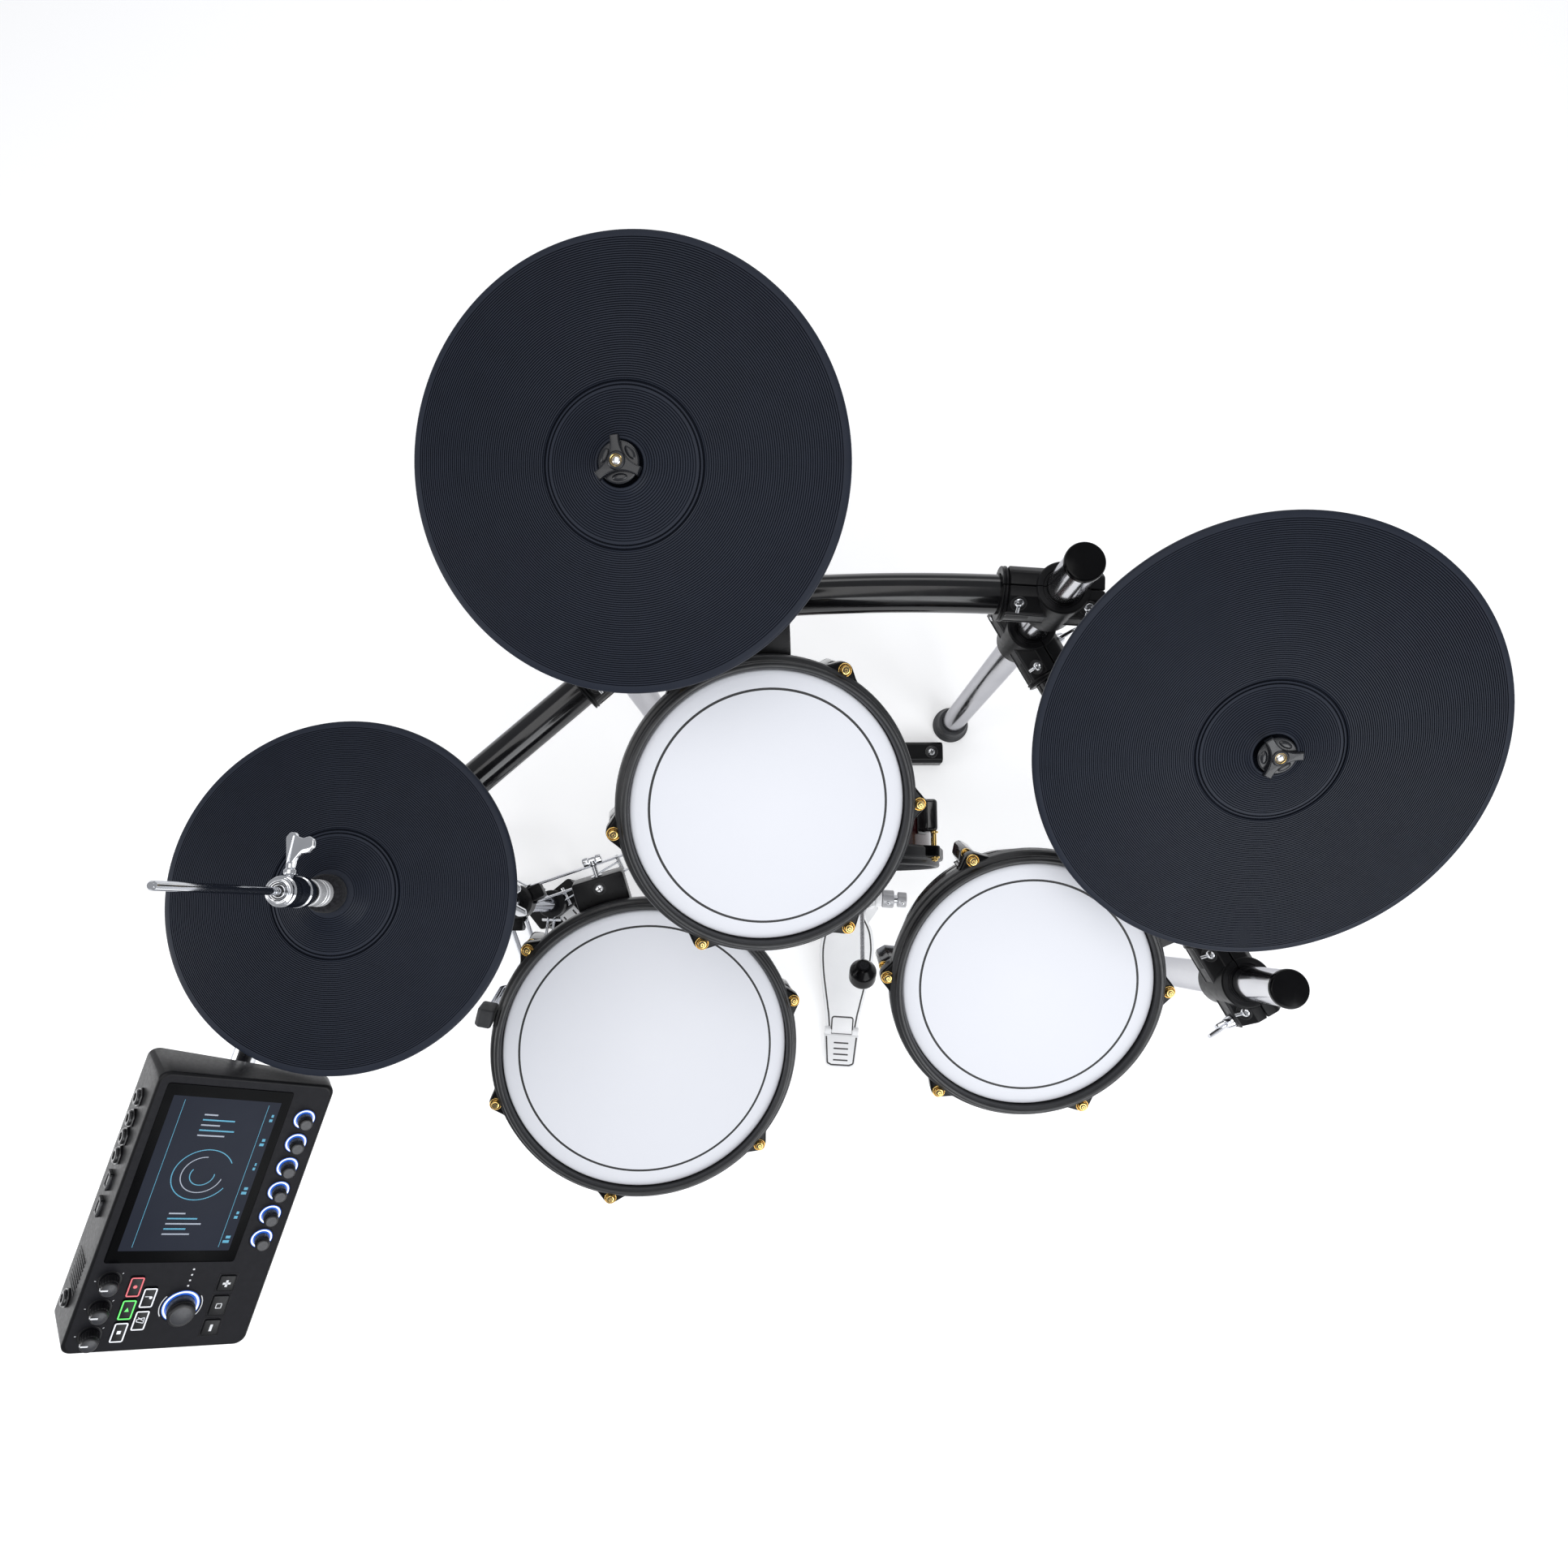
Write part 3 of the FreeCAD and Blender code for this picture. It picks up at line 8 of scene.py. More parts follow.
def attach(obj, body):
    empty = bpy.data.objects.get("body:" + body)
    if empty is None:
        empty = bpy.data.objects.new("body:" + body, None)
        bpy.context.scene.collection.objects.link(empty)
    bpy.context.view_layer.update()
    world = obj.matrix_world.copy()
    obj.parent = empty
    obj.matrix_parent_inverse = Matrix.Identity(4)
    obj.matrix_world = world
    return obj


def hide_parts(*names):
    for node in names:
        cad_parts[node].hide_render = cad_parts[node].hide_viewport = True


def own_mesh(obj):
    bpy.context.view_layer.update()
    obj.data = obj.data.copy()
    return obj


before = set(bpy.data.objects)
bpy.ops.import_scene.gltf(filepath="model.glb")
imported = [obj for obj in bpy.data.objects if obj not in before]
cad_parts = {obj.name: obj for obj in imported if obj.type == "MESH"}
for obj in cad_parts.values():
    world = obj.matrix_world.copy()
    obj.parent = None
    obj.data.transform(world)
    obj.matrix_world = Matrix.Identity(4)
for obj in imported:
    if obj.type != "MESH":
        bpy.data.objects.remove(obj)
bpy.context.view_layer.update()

# ------------------------------------------------------------------ frame helpers (millimetres)
SHIFT = np.array([-0.327792, 73.354641, 0.0])
rng = np.random.default_rng(7)


def W(x, y, z):
    return np.array([x, y, z], float) - SHIFT


def unit(v):
    v = np.asarray(v, float)
    return v / np.linalg.norm(v)


def axes(o, x, y, z):
    m = np.eye(4)
    m[:3, 0], m[:3, 1], m[:3, 2], m[:3, 3] = x, y, z, o
    return m


def frm(o, z, xh=(1, 0, 0)):
    z = unit(z)
    x = np.asarray(xh, float)
    x = unit(x - z * x.dot(z))
    return axes(np.asarray(o, float), x, np.cross(z, x), z)


def rotz(deg):
    a = math.radians(deg)
    m = np.eye(4)
    m[0, 0] = m[1, 1] = math.cos(a)
    m[0, 1], m[1, 0] = -math.sin(a), math.sin(a)
    return m


def rotx(deg):
    a = math.radians(deg)
    m = np.eye(4)
    m[1, 1] = m[2, 2] = math.cos(a)
    m[1, 2], m[2, 1] = -math.sin(a), math.sin(a)
    return m


def roty(deg):
    a = math.radians(deg)
    m = np.eye(4)
    m[0, 0] = m[2, 2] = math.cos(a)
    m[0, 2], m[2, 0] = math.sin(a), -math.sin(a)
    return m


def tr(x, y, z):
    m = np.eye(4)
    m[:3, 3] = (x, y, z)
    return m


def ap(m, p):
    p = np.asarray(p, float)
    return (m[:3, :3] @ p.T).T + m[:3, 3] if p.ndim > 1 else m[:3, :3] @ p + m[:3, 3]


def polar(r, deg, z=0.0):
    a = math.radians(deg)
    return np.array([r * math.cos(a), r * math.sin(a), z])


# ------------------------------------------------------------------ mesh building
def rounded(pts, closed=False, n=5):
    """A polyline of (a, b) or (a, b, fillet) with its marked corners rounded."""
    out = []
    k = len(pts)
    for i, p in enumerate(pts):
        f = p[2] if len(p) > 2 else 0
        c = np.array(p[:2], float)
        if f <= 0 or (not closed and i in (0, k - 1)):
            out.append(c)
            continue
        a, b = np.array(pts[i - 1][:2], float), np.array(pts[(i + 1) % k][:2], float)
        u, v = a - c, b - c
        lu, lv = np.linalg.norm(u), np.linalg.norm(v)
        u, v = u / lu, v / lv
        ang = math.acos(max(-1, min(1, float(u.dot(v)))))
        if ang > math.pi - 0.02:
            out.append(c)
            continue
        back = min(f / math.tan(ang / 2), lu * 0.49, lv * 0.49)
        r = back * math.tan(ang / 2)
        mid = c + unit(u + v) * (r / math.sin(ang / 2))
        s, e = c + u * back - mid, c + v * back - mid
        a0, a1 = math.atan2(s[1], s[0]), math.atan2(e[1], e[0])
        d = (a1 - a0 + math.pi) % (2 * math.pi) - math.pi
        for t in np.linspace(0, 1, n):
            th = a0 + d * t
            out.append(mid + r * np.array([math.cos(th), math.sin(th)]))
    return [tuple(q) for q in out]


class Mb:
    """Collects shapes into one mesh, each with its own material slot."""

    def __init__(self):
        self.v, self.f, self.m = [], [], []
        self.n = 0

    def add(self, verts, faces, mat=0, M=None):
        verts = np.asarray(verts, float).reshape(-1, 3)
        if M is not None:
            verts = ap(M, verts)
        self.v.append(verts)
        self.f += [tuple(i + self.n for i in f) for f in faces]
        self.m += [mat] * len(faces)
        self.n += len(verts)
        return self

    def rev(self, prof, M=None, mat=0, segs=64, closed=False, arc=None):
        """Turns an (r, z) outline about Z."""
        full = arc is None
        a = np.linspace(0, 2 * math.pi, segs, endpoint=False) if full else np.radians(np.linspace(arc[0], arc[1], segs))
        c, s_ = np.cos(a), np.sin(a)
        verts, rows = [], []
        for r, z in prof:
            if r < 1e-6 and full:
                rows.append([len(verts)] * segs)
                verts.append((0, 0, z))
            else:
                rows.append(list(range(len(verts), len(verts) + segs)))
                verts += [(r * c[i], r * s_[i], z) for i in range(segs)]
        faces = []
        pairs = list(zip(rows, rows[1:])) + ([(rows[-1], rows[0])] if closed else [])
        for p, q in pairs:
            for i in range(segs if full else segs - 1):
                j = (i + 1) % segs
                f = []
                for k in (p[i], p[j], q[j], q[i]):
                    if k not in f:
                        f.append(k)
                if len(f) > 2:
                    faces.append(tuple(f))
        if not full:
            faces.append(tuple(r[0] for r in rows))
            faces.append(tuple(r[-1] for r in reversed(rows)))
        return self.add(verts, faces, mat, M)

    def sweep(self, path, r, M=None, mat=0, segs=20, cap=True, section=None, up=None, roll=True):
        """Carries a round or given section along a path."""
        p = np.asarray(path, float)
        n = len(p)
        rr = np.full(n, float(r)) if np.isscalar(r) else np.asarray(r, float)
        t = np.gradient(p, axis=0)
        t /= np.linalg.norm(t, axis=1)[:, None]
        u = np.asarray(up if up is not None else ((0, 0, 1) if abs(t[0][2]) < 0.9 else (1, 0, 0)), float)
        sec = np.array(section, float) if section is not None else np.array([(math.cos(x), math.sin(x)) for x in np.linspace(0, 2 * math.pi, segs, endpoint=False)])
        k = len(sec)
        verts = []
        for i in range(n):
            if not roll:
                u = np.asarray(up, float)
            u = unit(u - t[i] * u.dot(t[i]))
            w = np.cross(t[i], u)
            sc = rr[i] if section is None else (rr[i] if not np.isscalar(r) else 1.0)
            for a, b in sec:
                verts.append(p[i] + (w * a + u * b) * sc)
        faces = []
        for i in range(n - 1):
            for j in range(k):
                a, b = i * k + j, i * k + (j + 1) % k
                faces.append((a, b, b + k, a + k))
        if cap:
            faces.append(tuple(range(k - 1, -1, -1)))
            faces.append(tuple(range((n - 1) * k, n * k)))
        return self.add(verts, faces, mat, M)

    def prism(self, outline, z0, z1, M=None, mat=0, bevel=0.0, steps=3, bevel_low=None):
        """Raises a closed outline from z0 to z1 with rounded top and bottom edges."""
        o = np.array([q[:2] for q in outline], float)
        area = 0.5 * np.sum(o[:, 0] * np.roll(o[:, 1], -1) - np.roll(o[:, 0], -1) * o[:, 1])
        if area < 0:
            o = o[::-1]
        e = np.roll(o, -1, 0) - o
        e /= np.maximum(np.linalg.norm(e, axis=1)[:, None], 1e-9)
        nrm = np.stack([e[:, 1], -e[:, 0]], 1)
        pn = np.roll(nrm, 1, 0)
        m = nrm + pn
        m /= np.maximum((np.sum(m * nrm, 1))[:, None], 0.35)
        low = bevel if bevel_low is None else bevel_low
        rings = []
        if low > 0:
            for t in np.linspace(0, math.pi / 2, steps + 1):
                rings.append((low * (1 - math.sin(t)), z0 + low * (1 - math.cos(t))))
        else:
            rings.append((0, z0))
        if bevel > 0:
            for t in np.linspace(0, math.pi / 2, steps + 1):
                rings.append((bevel * (1 - math.cos(t)), z1 - bevel * (1 - math.sin(t))))
        else:
            rings.append((0, z1))
        k = len(o)
        verts = []
        for off, z in rings:
            q = o - m * off
            verts += [(x, y, z) for x, y in q]
        faces = []
        for i in range(len(rings) - 1):
            for j in range(k):
                a, b = i * k + j, i * k + (j + 1) % k
                faces.append((a, b, b + k, a + k))
        faces.append(tuple(range(k - 1, -1, -1)))
        faces.append(tuple(range((len(rings) - 1) * k, len(rings) * k)))
        return self.add(verts, faces, mat, M)

    def rim(self, lx, ly, wide, z0, z1, M=None, mat=0, r=1.5, bevel=0.25, n=5):
        """A raised rounded frame: outer wall, rounded top and inner wall."""
        def loop(off):
            x, y, q = lx / 2 - off, ly / 2 - off, max(r - off, 0.25)
            return rounded([(-x, -y, q), (x, -y, q), (x, y, q), (-x, y, q)], True, n)
        rings = [(0, z0), (0, z1 - bevel), (bevel, z1), (wide - bevel, z1), (wide, z1 - bevel), (wide, z0)]
        verts = []
        for off, z in rings:
            verts += [(x, y, z) for x, y in loop(off)]
        k = len(loop(0))
        faces = []
        for i in range(len(rings) - 1):
            for j in range(k):
                a, b = i * k + j, i * k + (j + 1) % k
                faces.append((a, b, b + k, a + k))
        return self.add(verts, faces, mat, M)

    def rbox(self, lx, ly, lz, c=(0, 0, 0), M=None, mat=0, r=1.5, bevel=None, n=4):
        """A block with rounded upright corners and rounded top and bottom edges."""
        x, y = lx / 2, ly / 2
        o = rounded([(-x, -y, r), (x, -y, r), (x, y, r), (-x, y, r)], True, n)
        o = [(a + c[0], b + c[1]) for a, b in o]
        return self.prism(o, c[2] - lz / 2, c[2] + lz / 2, M, mat, r * 0.6 if bevel is None else bevel)


def make(name, mb, mats, body, M=None, repl=(), sharp=32, recalc=True):
    me = bpy.data.meshes.new(name)
    v = np.concatenate(mb.v) * 0.001
    me.from_pydata(v.tolist(), [], mb.f)
    for mt in mats:
        me.materials.append(mt)
    me.polygons.foreach_set("material_index", mb.m)
    me.polygons.foreach_set("use_smooth", [True] * len(me.polygons))
    if recalc:
        bm = bmesh.new()
        bm.from_mesh(me)
        bmesh.ops.recalc_face_normals(bm, faces=bm.faces)
        bm.to_mesh(me)
        bm.free()
    me.set_sharp_from_angle(angle=math.radians(sharp))
    me.update()
    ob = bpy.data.objects.new(name, me)
    bpy.context.collection.objects.link(ob)
    if M is not None:
        mm = M.copy()
        mm[:3, 3] *= 0.001
        ob.matrix_world = Matrix(mm.tolist())
    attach(ob, body)
    if repl:
        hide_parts(*repl)
    return ob


def arc_path(pts, bend, n=14):
    """Straight runs joined by tangent arcs."""
    pts = [np.asarray(p, float) for p in pts]
    out = [pts[0]]
    for a, b, c in zip(pts, pts[1:], pts[2:]):
        u, w = unit(a - b), unit(c - b)
        half = math.acos(max(-1, min(1, float(u.dot(w))))) / 2
        back = bend / math.tan(half)
        mid = b + unit(u + w) * (bend / math.sin(half))
        s, e = b + u * back - mid, b + w * back - mid
        om = math.acos(max(-1, min(1, float(unit(s).dot(unit(e))))))
        for t in np.linspace(0, 1, n):
            out.append(mid + (math.sin((1 - t) * om) * s + math.sin(t * om) * e) / math.sin(om))
    out.append(pts[-1])
    return np.array(out)


def line(a, b, n=2):
    return np.linspace(np.asarray(a, float), np.asarray(b, float), n)


# ------------------------------------------------------------------ materials
def mat(name, base, metallic=0.0, rough=0.45, rvar=0.08, var=0.12, vscale=40.0, bump=0.0, bscale=900.0, coat=0.0, coat_rough=0.06,
        spec=0.5, sheen=0.0, tint=None, glow=None, glow_power=0.0, stretch=None, detail=4.0):
    m = bpy.data.materials.new(name)
    m.use_nodes = True
    nt = m.node_tree
    b = nt.nodes["Principled BSDF"]
    b.inputs["Metallic"].default_value = metallic
    b.inputs["Specular IOR Level"].default_value = spec
    b.inputs["Coat Weight"].default_value = coat
    b.inputs["Coat Roughness"].default_value = coat_rough
    b.inputs["Sheen Weight"].default_value = sheen
    if tint is not None:
        b.inputs["Specular Tint"].default_value = (*tint, 1)
    if glow is not None:
        b.inputs["Emission Color"].default_value = (*glow, 1)
        b.inputs["Emission Strength"].default_value = glow_power
    tc = nt.nodes.new("ShaderNodeTexCoord")
    src = tc.outputs["Object"]
    if stretch is not None:
        mp = nt.nodes.new("ShaderNodeMapping")
        mp.inputs["Scale"].default_value = stretch
        nt.links.new(src, mp.inputs["Vector"])
        src = mp.outputs["Vector"]
    nz = nt.nodes.new("ShaderNodeTexNoise")
    nz.inputs["Scale"].default_value = vscale
    nz.inputs["Detail"].default_value = detail
    nt.links.new(src, nz.inputs["Vector"])
    cr = nt.nodes.new("ShaderNodeValToRGB")
    lo = [max(0.0, c * (1 - var)) for c in base]
    hi = [min(1.0, c * (1 + var)) for c in base]
    cr.color_ramp.elements[0].position, cr.color_ramp.elements[1].position = 0.3, 0.7
    cr.color_ramp.elements[0].color, cr.color_ramp.elements[1].color = (*lo, 1), (*hi, 1)
    nt.links.new(nz.outputs["Fac"], cr.inputs["Fac"])
    nt.links.new(cr.outputs["Color"], b.inputs["Base Color"])
    n2 = nt.nodes.new("ShaderNodeTexNoise")
    n2.inputs["Scale"].default_value = vscale * 2.7
    n2.inputs["Detail"].default_value = 6
    nt.links.new(src, n2.inputs["Vector"])
    mr = nt.nodes.new("ShaderNodeMapRange")
    mr.inputs["From Min"].default_value, mr.inputs["From Max"].default_value = 0.3, 0.7
    mr.inputs["To Min"].default_value, mr.inputs["To Max"].default_value = max(0.02, rough - rvar), min(1.0, rough + rvar)
    nt.links.new(n2.outputs["Fac"], mr.inputs["Value"])
    nt.links.new(mr.outputs["Result"], b.inputs["Roughness"])
    if bump > 0:
        n3 = nt.nodes.new("ShaderNodeTexNoise")
        n3.inputs["Scale"].default_value = bscale
        n3.inputs["Detail"].default_value = 3
        nt.links.new(src, n3.inputs["Vector"])
        bp = nt.nodes.new("ShaderNodeBump")
        bp.inputs["Strength"].default_value = bump
        bp.inputs["Distance"].default_value = 0.0004
        nt.links.new(n3.outputs["Fac"], bp.inputs["Height"])
        nt.links.new(bp.outputs["Normal"], b.inputs["Normal"])
    return m


CHROME = mat("chrome", (0.74, 0.75, 0.77), 1.0, 0.07, 0.03, 0.04, 25, tint=(0.55, 0.56, 0.6))
CHROME_POST = mat("chrome_post", (0.80, 0.80, 0.82), 1.0, 0.15, 0.03, 0.05, 12, tint=(0.55, 0.55, 0.57))
STEEL = mat("bright_steel", (0.70, 0.71, 0.73), 1.0, 0.20, 0.06, 0.08, 120, bump=0.05)
GLOSS = mat("gloss_black_paint", (0.0050, 0.0050, 0.0060), 0.0, 0.15, 0.04, 0.3, 30, coat=0.2, coat_rough=0.04, spec=0.42)
SATIN = mat("satin_black_cast", (0.0050, 0.0050, 0.0058), 0.0, 0.34, 0.06, 0.25, 60, bump=0.06, bscale=1500, spec=0.19)
PLATE = mat("clamp_plate", (0.022, 0.022, 0.024), 0.0, 0.42, 0.06, 0.2, 60, bump=0.06, bscale=1500, spec=0.35)
BLACK = mat("black_plastic", (0.0060, 0.0060, 0.0070), 0.0, 0.32, 0.06, 0.25, 80, bump=0.08, bscale=2200, spec=0.22)
BLACKG = mat("gloss_black_plastic", (0.012, 0.012, 0.013), 0.0, 0.14, 0.05, 0.3, 60, coat=0.4, spec=0.55)
RUBBER = mat("hoop_rubber", (0.0130, 0.0135, 0.0150), 0.0, 0.38, 0.06, 0.2, 60, bump=0.08, bscale=1800, spec=0.48)
FOOT = mat("foot_rubber", (0.040, 0.041, 0.044), 0.0, 0.62, 0.08, 0.2, 60, bump=0.2, bscale=1400, spec=0.35)
PAD = mat("pad_rubber", (0.0146, 0.0184, 0.0294), 0.0, 0.47, 0.02, 0.05, 60, bump=0.05, bscale=2600, spec=0.18)
# painted shade: a darker rubber on the groove walls and in the well, where shade falls
PAD_GROOVE_SHADE = mat("pad_groove_painted_shade", (0.0055, 0.0070, 0.0120), 0.0, 0.72, 0.03, 0.10, 60, spec=0.06)
NUTB = mat("nut_black", (0.010, 0.011, 0.014), 0.0, 0.26, 0.05, 0.2, 80, bump=0.03, bscale=2400, spec=0.5)
PADB = mat("pad_under", (0.022, 0.023, 0.026), 0.0, 0.55, 0.08, 0.18, 40, bump=0.15, bscale=1800)
CAPB = mat("cap_gloss", (0.0022, 0.0022, 0.0027), 0.0, 0.17, 0.04, 0.3, 60, spec=0.14)
FELT = mat("felt", (0.020, 0.020, 0.023), 0.0, 0.95, 0.04, 0.4, 400, bump=0.8, bscale=1600, sheen=0.08, spec=0.08)
LACQ = mat("red_lacquer", (0.040, 0.004, 0.006), 0.1, 0.24, 0.06, 0.35, 350, coat=0.6, coat_rough=0.03, spec=0.4)
LACQB = mat("black_lacquer", (0.008, 0.005, 0.006), 0.0, 0.22, 0.06, 0.35, 350, coat=0.6, coat_rough=0.03, spec=0.4)
GOLD = mat("gold_plate", (0.74, 0.51, 0.17), 1.0, 0.17, 0.06, 0.10, 200, bump=0.05)
SILVER = mat("silver_board", (0.94, 0.94, 0.945), 0.0, 0.34, 0.03, 0.015, 30)
# painted shade: dark strips laid in engraved lines, gaps and slots on the light boards
GROOVE_SHADE = mat("engraved_groove_painted_shade", (0.050, 0.047, 0.047), 0.0, 0.55, 0.06, 0.15, 120)
GREY = mat("grey_metal", (0.46, 0.46, 0.475), 0.35, 0.34, 0.05, 0.06, 60)
LIGHT = mat("light_rod", (0.80, 0.80, 0.81), 0.35, 0.28, 0.04, 0.04, 60)
STICK = mat("beater_rod", (0.36, 0.36, 0.37), 0.6, 0.26, 0.04, 0.06, 60)
# dark marks: printed rings and vent strips, and painted shade in screw slots, counterbores, lug troughs and pedal slots
DARK_PRINT_AND_SHADE = mat("dark_print_and_painted_shade", (0.012, 0.012, 0.013), 0.0, 0.55, 0.1, 0.3, 200)
FOAM = mat("trigger_foam", (0.05, 0.05, 0.055), 0.0, 0.95, 0.03, 0.4, 300, bump=0.9, bscale=900)
BOARD = mat("sensor_board", (0.02, 0.07, 0.035), 0.0, 0.4, 0.08, 0.3, 200, bump=0.1)


def head_material():
    """White mesh: fine weave, faintly blue, with painted shade making it a little darker towards the hoop."""
    m = bpy.data.materials.new("mesh_head")
    m.use_nodes = True
    nt = m.node_tree
    b = nt.nodes["Principled BSDF"]
    b.inputs["Roughness"].default_value = 0.62
    b.inputs["Specular IOR Level"].default_value = 0.3
    b.inputs["Sheen Weight"].default_value = 0.08
    tc = nt.nodes.new("ShaderNodeTexCoord")
    ln = nt.nodes.new("ShaderNodeVectorMath")
    ln.operation = "LENGTH"
    nt.links.new(tc.outputs["Object"], ln.inputs[0])
    nz = nt.nodes.new("ShaderNodeTexNoise")
    nz.inputs["Scale"].default_value = 7.0
    nt.links.new(tc.outputs["Object"], nz.inputs["Vector"])
    ad = nt.nodes.new("ShaderNodeMath")
    ad.operation = "MULTIPLY_ADD"
    ad.inputs[1].default_value = 0.02
    nt.links.new(nz.outputs["Fac"], ad.inputs[0])
    nt.links.new(ln.outputs["Value"], ad.inputs[2])
    # radial ramp: painted shade of the hoop, lighter at the centre and darker towards the rim
    cr = nt.nodes.new("ShaderNodeValToRGB")
    cr.color_ramp.elements[0].position, cr.color_ramp.elements[1].position = 0.0, 0.18
    cr.color_ramp.elements[0].color = (0.785, 0.795, 0.838, 1)
    cr.color_ramp.elements[1].color = (0.742, 0.754, 0.80, 1)
    nt.links.new(ad.outputs["Value"], cr.inputs["Fac"])
    nt.links.new(cr.outputs["Color"], b.inputs["Base Color"])
    h = None
    for ax in ("X", "Y"):
        wv = nt.nodes.new("ShaderNodeTexWave")
        wv.bands_direction = ax
        wv.inputs["Scale"].default_value = 420.0
        nt.links.new(tc.outputs["Object"], wv.inputs["Vector"])
        if h is None:
            h = wv.outputs["Fac"]
        else:
            mx = nt.nodes.new("ShaderNodeMath")
            mx.operation = "MULTIPLY"
            nt.links.new(h, mx.inputs[0])
            nt.links.new(wv.outputs["Fac"], mx.inputs[1])
            h = mx.outputs["Value"]
    bp = nt.nodes.new("ShaderNodeBump")
    bp.inputs["Strength"].default_value = 0.18
    bp.inputs["Distance"].default_value = 0.0003
    nt.links.new(h, bp.inputs["Height"])
    nt.links.new(bp.outputs["Normal"], b.inputs["Normal"])
    return m


HEAD = head_material()

# ------------------------------------------------------------------ small hardware
def screw_head(mb, M, r, tall, metal, dark, cross=True, segs=28):
    """A domed screw head that stands on the frame's origin, with a cross or slot laid on top as dark strips of painted
    shade.
    """
    mb.rev(rounded([(0, tall), (r * 0.72, tall * 0.92), (r, tall * 0.35, r * 0.2), (r, 0)]), M, metal, segs)
    for a in ((0, 90) if cross else (0,)):
        mb.rbox(r * 1.25, r * 0.24, 0.5, (0, 0, tall + 0.02), M @ rotz(a + 20), dark, r * 0.1, 0.08)


def wing_nut(mb, at, out, lean, mt, size=1.0):
    """A cast wing nut: cone hub and two curved wings."""
    o = unit(out)
    l = np.asarray(lean, float)
    l = unit(l - o * l.dot(o))
    M = axes(np.asarray(at, float), l, np.cross(o, l), o) @ np.diag([size, size, size, 1])
    mb.rev(rounded([(0, 9.6), (3.2, 9.6), (5.4, 9, 1), (7.4, 1.2, 1), (7.4, 0), (0, 0)]), M, mt, 28)
    for s in (1, -1):
        o2 = rounded([(2.5 * s, 2.6), (9 * s, 4, 4), (19 * s, 9, 8), (27 * s, 15, 5), (25.6 * s, 26.6, 4), (17 * s, 26.6, 4), (9 * s, 17, 8), (4 * s, 10, 3)], True, 6)
        mb.prism(o2, -1.9, 1.9, M @ axes(np.zeros(3), (1, 0, 0), (0, 0, 1), (0, -1, 0)), mt, 1.0)


def rod_end(mb, a, b, r, mt, segs=32):
    a, b = np.asarray(a, float), np.asarray(b, float)
    d = unit(b - a)
    L = np.linalg.norm(b - a)
    e = min(1.0, r * 0.12)
    mb.rev([(0, 0), (r - e, 0), (r, e), (r, L - e), (r - e, L), (0, L)], frm(a, d, (1, 0, 0) if abs(d[0]) < 0.9 else (0, 1, 0)), mt, segs)


# ------------------------------------------------------------------ rack
POST = {"ir": (279, 335), "or": (502.4, -73.9), "il": (-216, 314), "ol": (-536, 31)}
TOP = {"ir": 778.0, "or": 666.0, "il": 778.0, "ol": 778.0}
Z_C, Z_L, Z_R = 680.0, 520.0, 550.0


def post_at(k, z):
    return W(POST[k][0], POST[k][1], z)


mb = Mb()
for k in POST:
    e = TOP[k]
    mb.rev([(17, 6), (18.4, 6), (19, 6.8), (19, e - 0.8), (18.4, e), (17, e)], tr(*post_at(k, 0)), 0, 72, closed=True)
make("posts", mb, [CHROME_POST], "kit", repl=["rack_posts"])

mb = Mb()
for k in POST:
    mb.rev(rounded([(0, 5.8), (17.6, 5.8), (19.2, 5.5, 0.8), (20.2, 3.6, 0.8), (20.2, 0), (17, 0), (17, -15), (15.4, -16), (0, -16)]), tr(*post_at(k, TOP[k])), 0, 64)
make("post_end_caps", mb, [CAPB], "kit", repl=["post_caps"])

A, B = np.array([*POST["il"], 0.0]), np.array([*POST["ir"], 0.0])
R_BOW = 2175.0
ch = B - A
nr = unit([-ch[1], ch[0], 0])
O = (A + B) / 2 - nr * math.sqrt(R_BOW ** 2 - (np.linalg.norm(ch) / 2) ** 2)


def on_centre(x, dz=0.0):
    y = O[1] + math.sqrt(R_BOW ** 2 - (x - O[0]) ** 2)
    r = unit([x - O[0], y - O[1], 0])
    return W(x, y, Z_C + dz), np.array([r[1], -r[0], 0])


th_mid = math.atan2(nr[1], nr[0])
th_half = math.asin(np.linalg.norm(ch) / 2 / R_BOW)
th_end = th_half - 24.0 / R_BOW
mb = Mb()
path = np.array([O + R_BOW * np.array([math.cos(t), math.sin(t), 0]) - SHIFT + np.array([0, 0, Z_C]) for t in np.linspace(th_mid - th_end, th_mid + th_end, 48)])
mb.sweep(path, 21.0, None, 0, 72)
make("centre_tube", mb, [GLOSS], "kit", repl=["rack_center_tube"])


def run(a, za, b, zb):
    p, q = post_at(a, za), post_at(b, zb)
    return p, q, unit(q - p)


lp, lq, ld = run("il", Z_L, "ol", Z_L)
rp, rq, rd = run("ir", Z_R, "or", Z_R)
mb = Mb()
for p, q, d in ((lp, lq, ld), (rp, rq, rd)):
    mb.sweep(line(p + d * 24, q - d * 24, 12), 21.0, None, 0, 72)
make("wing_tubes", mb, [GLOSS], "kit", repl=["rack_wing_tubes"])

clamps, bolts, nuts = Mb(), Mb(), Mb()


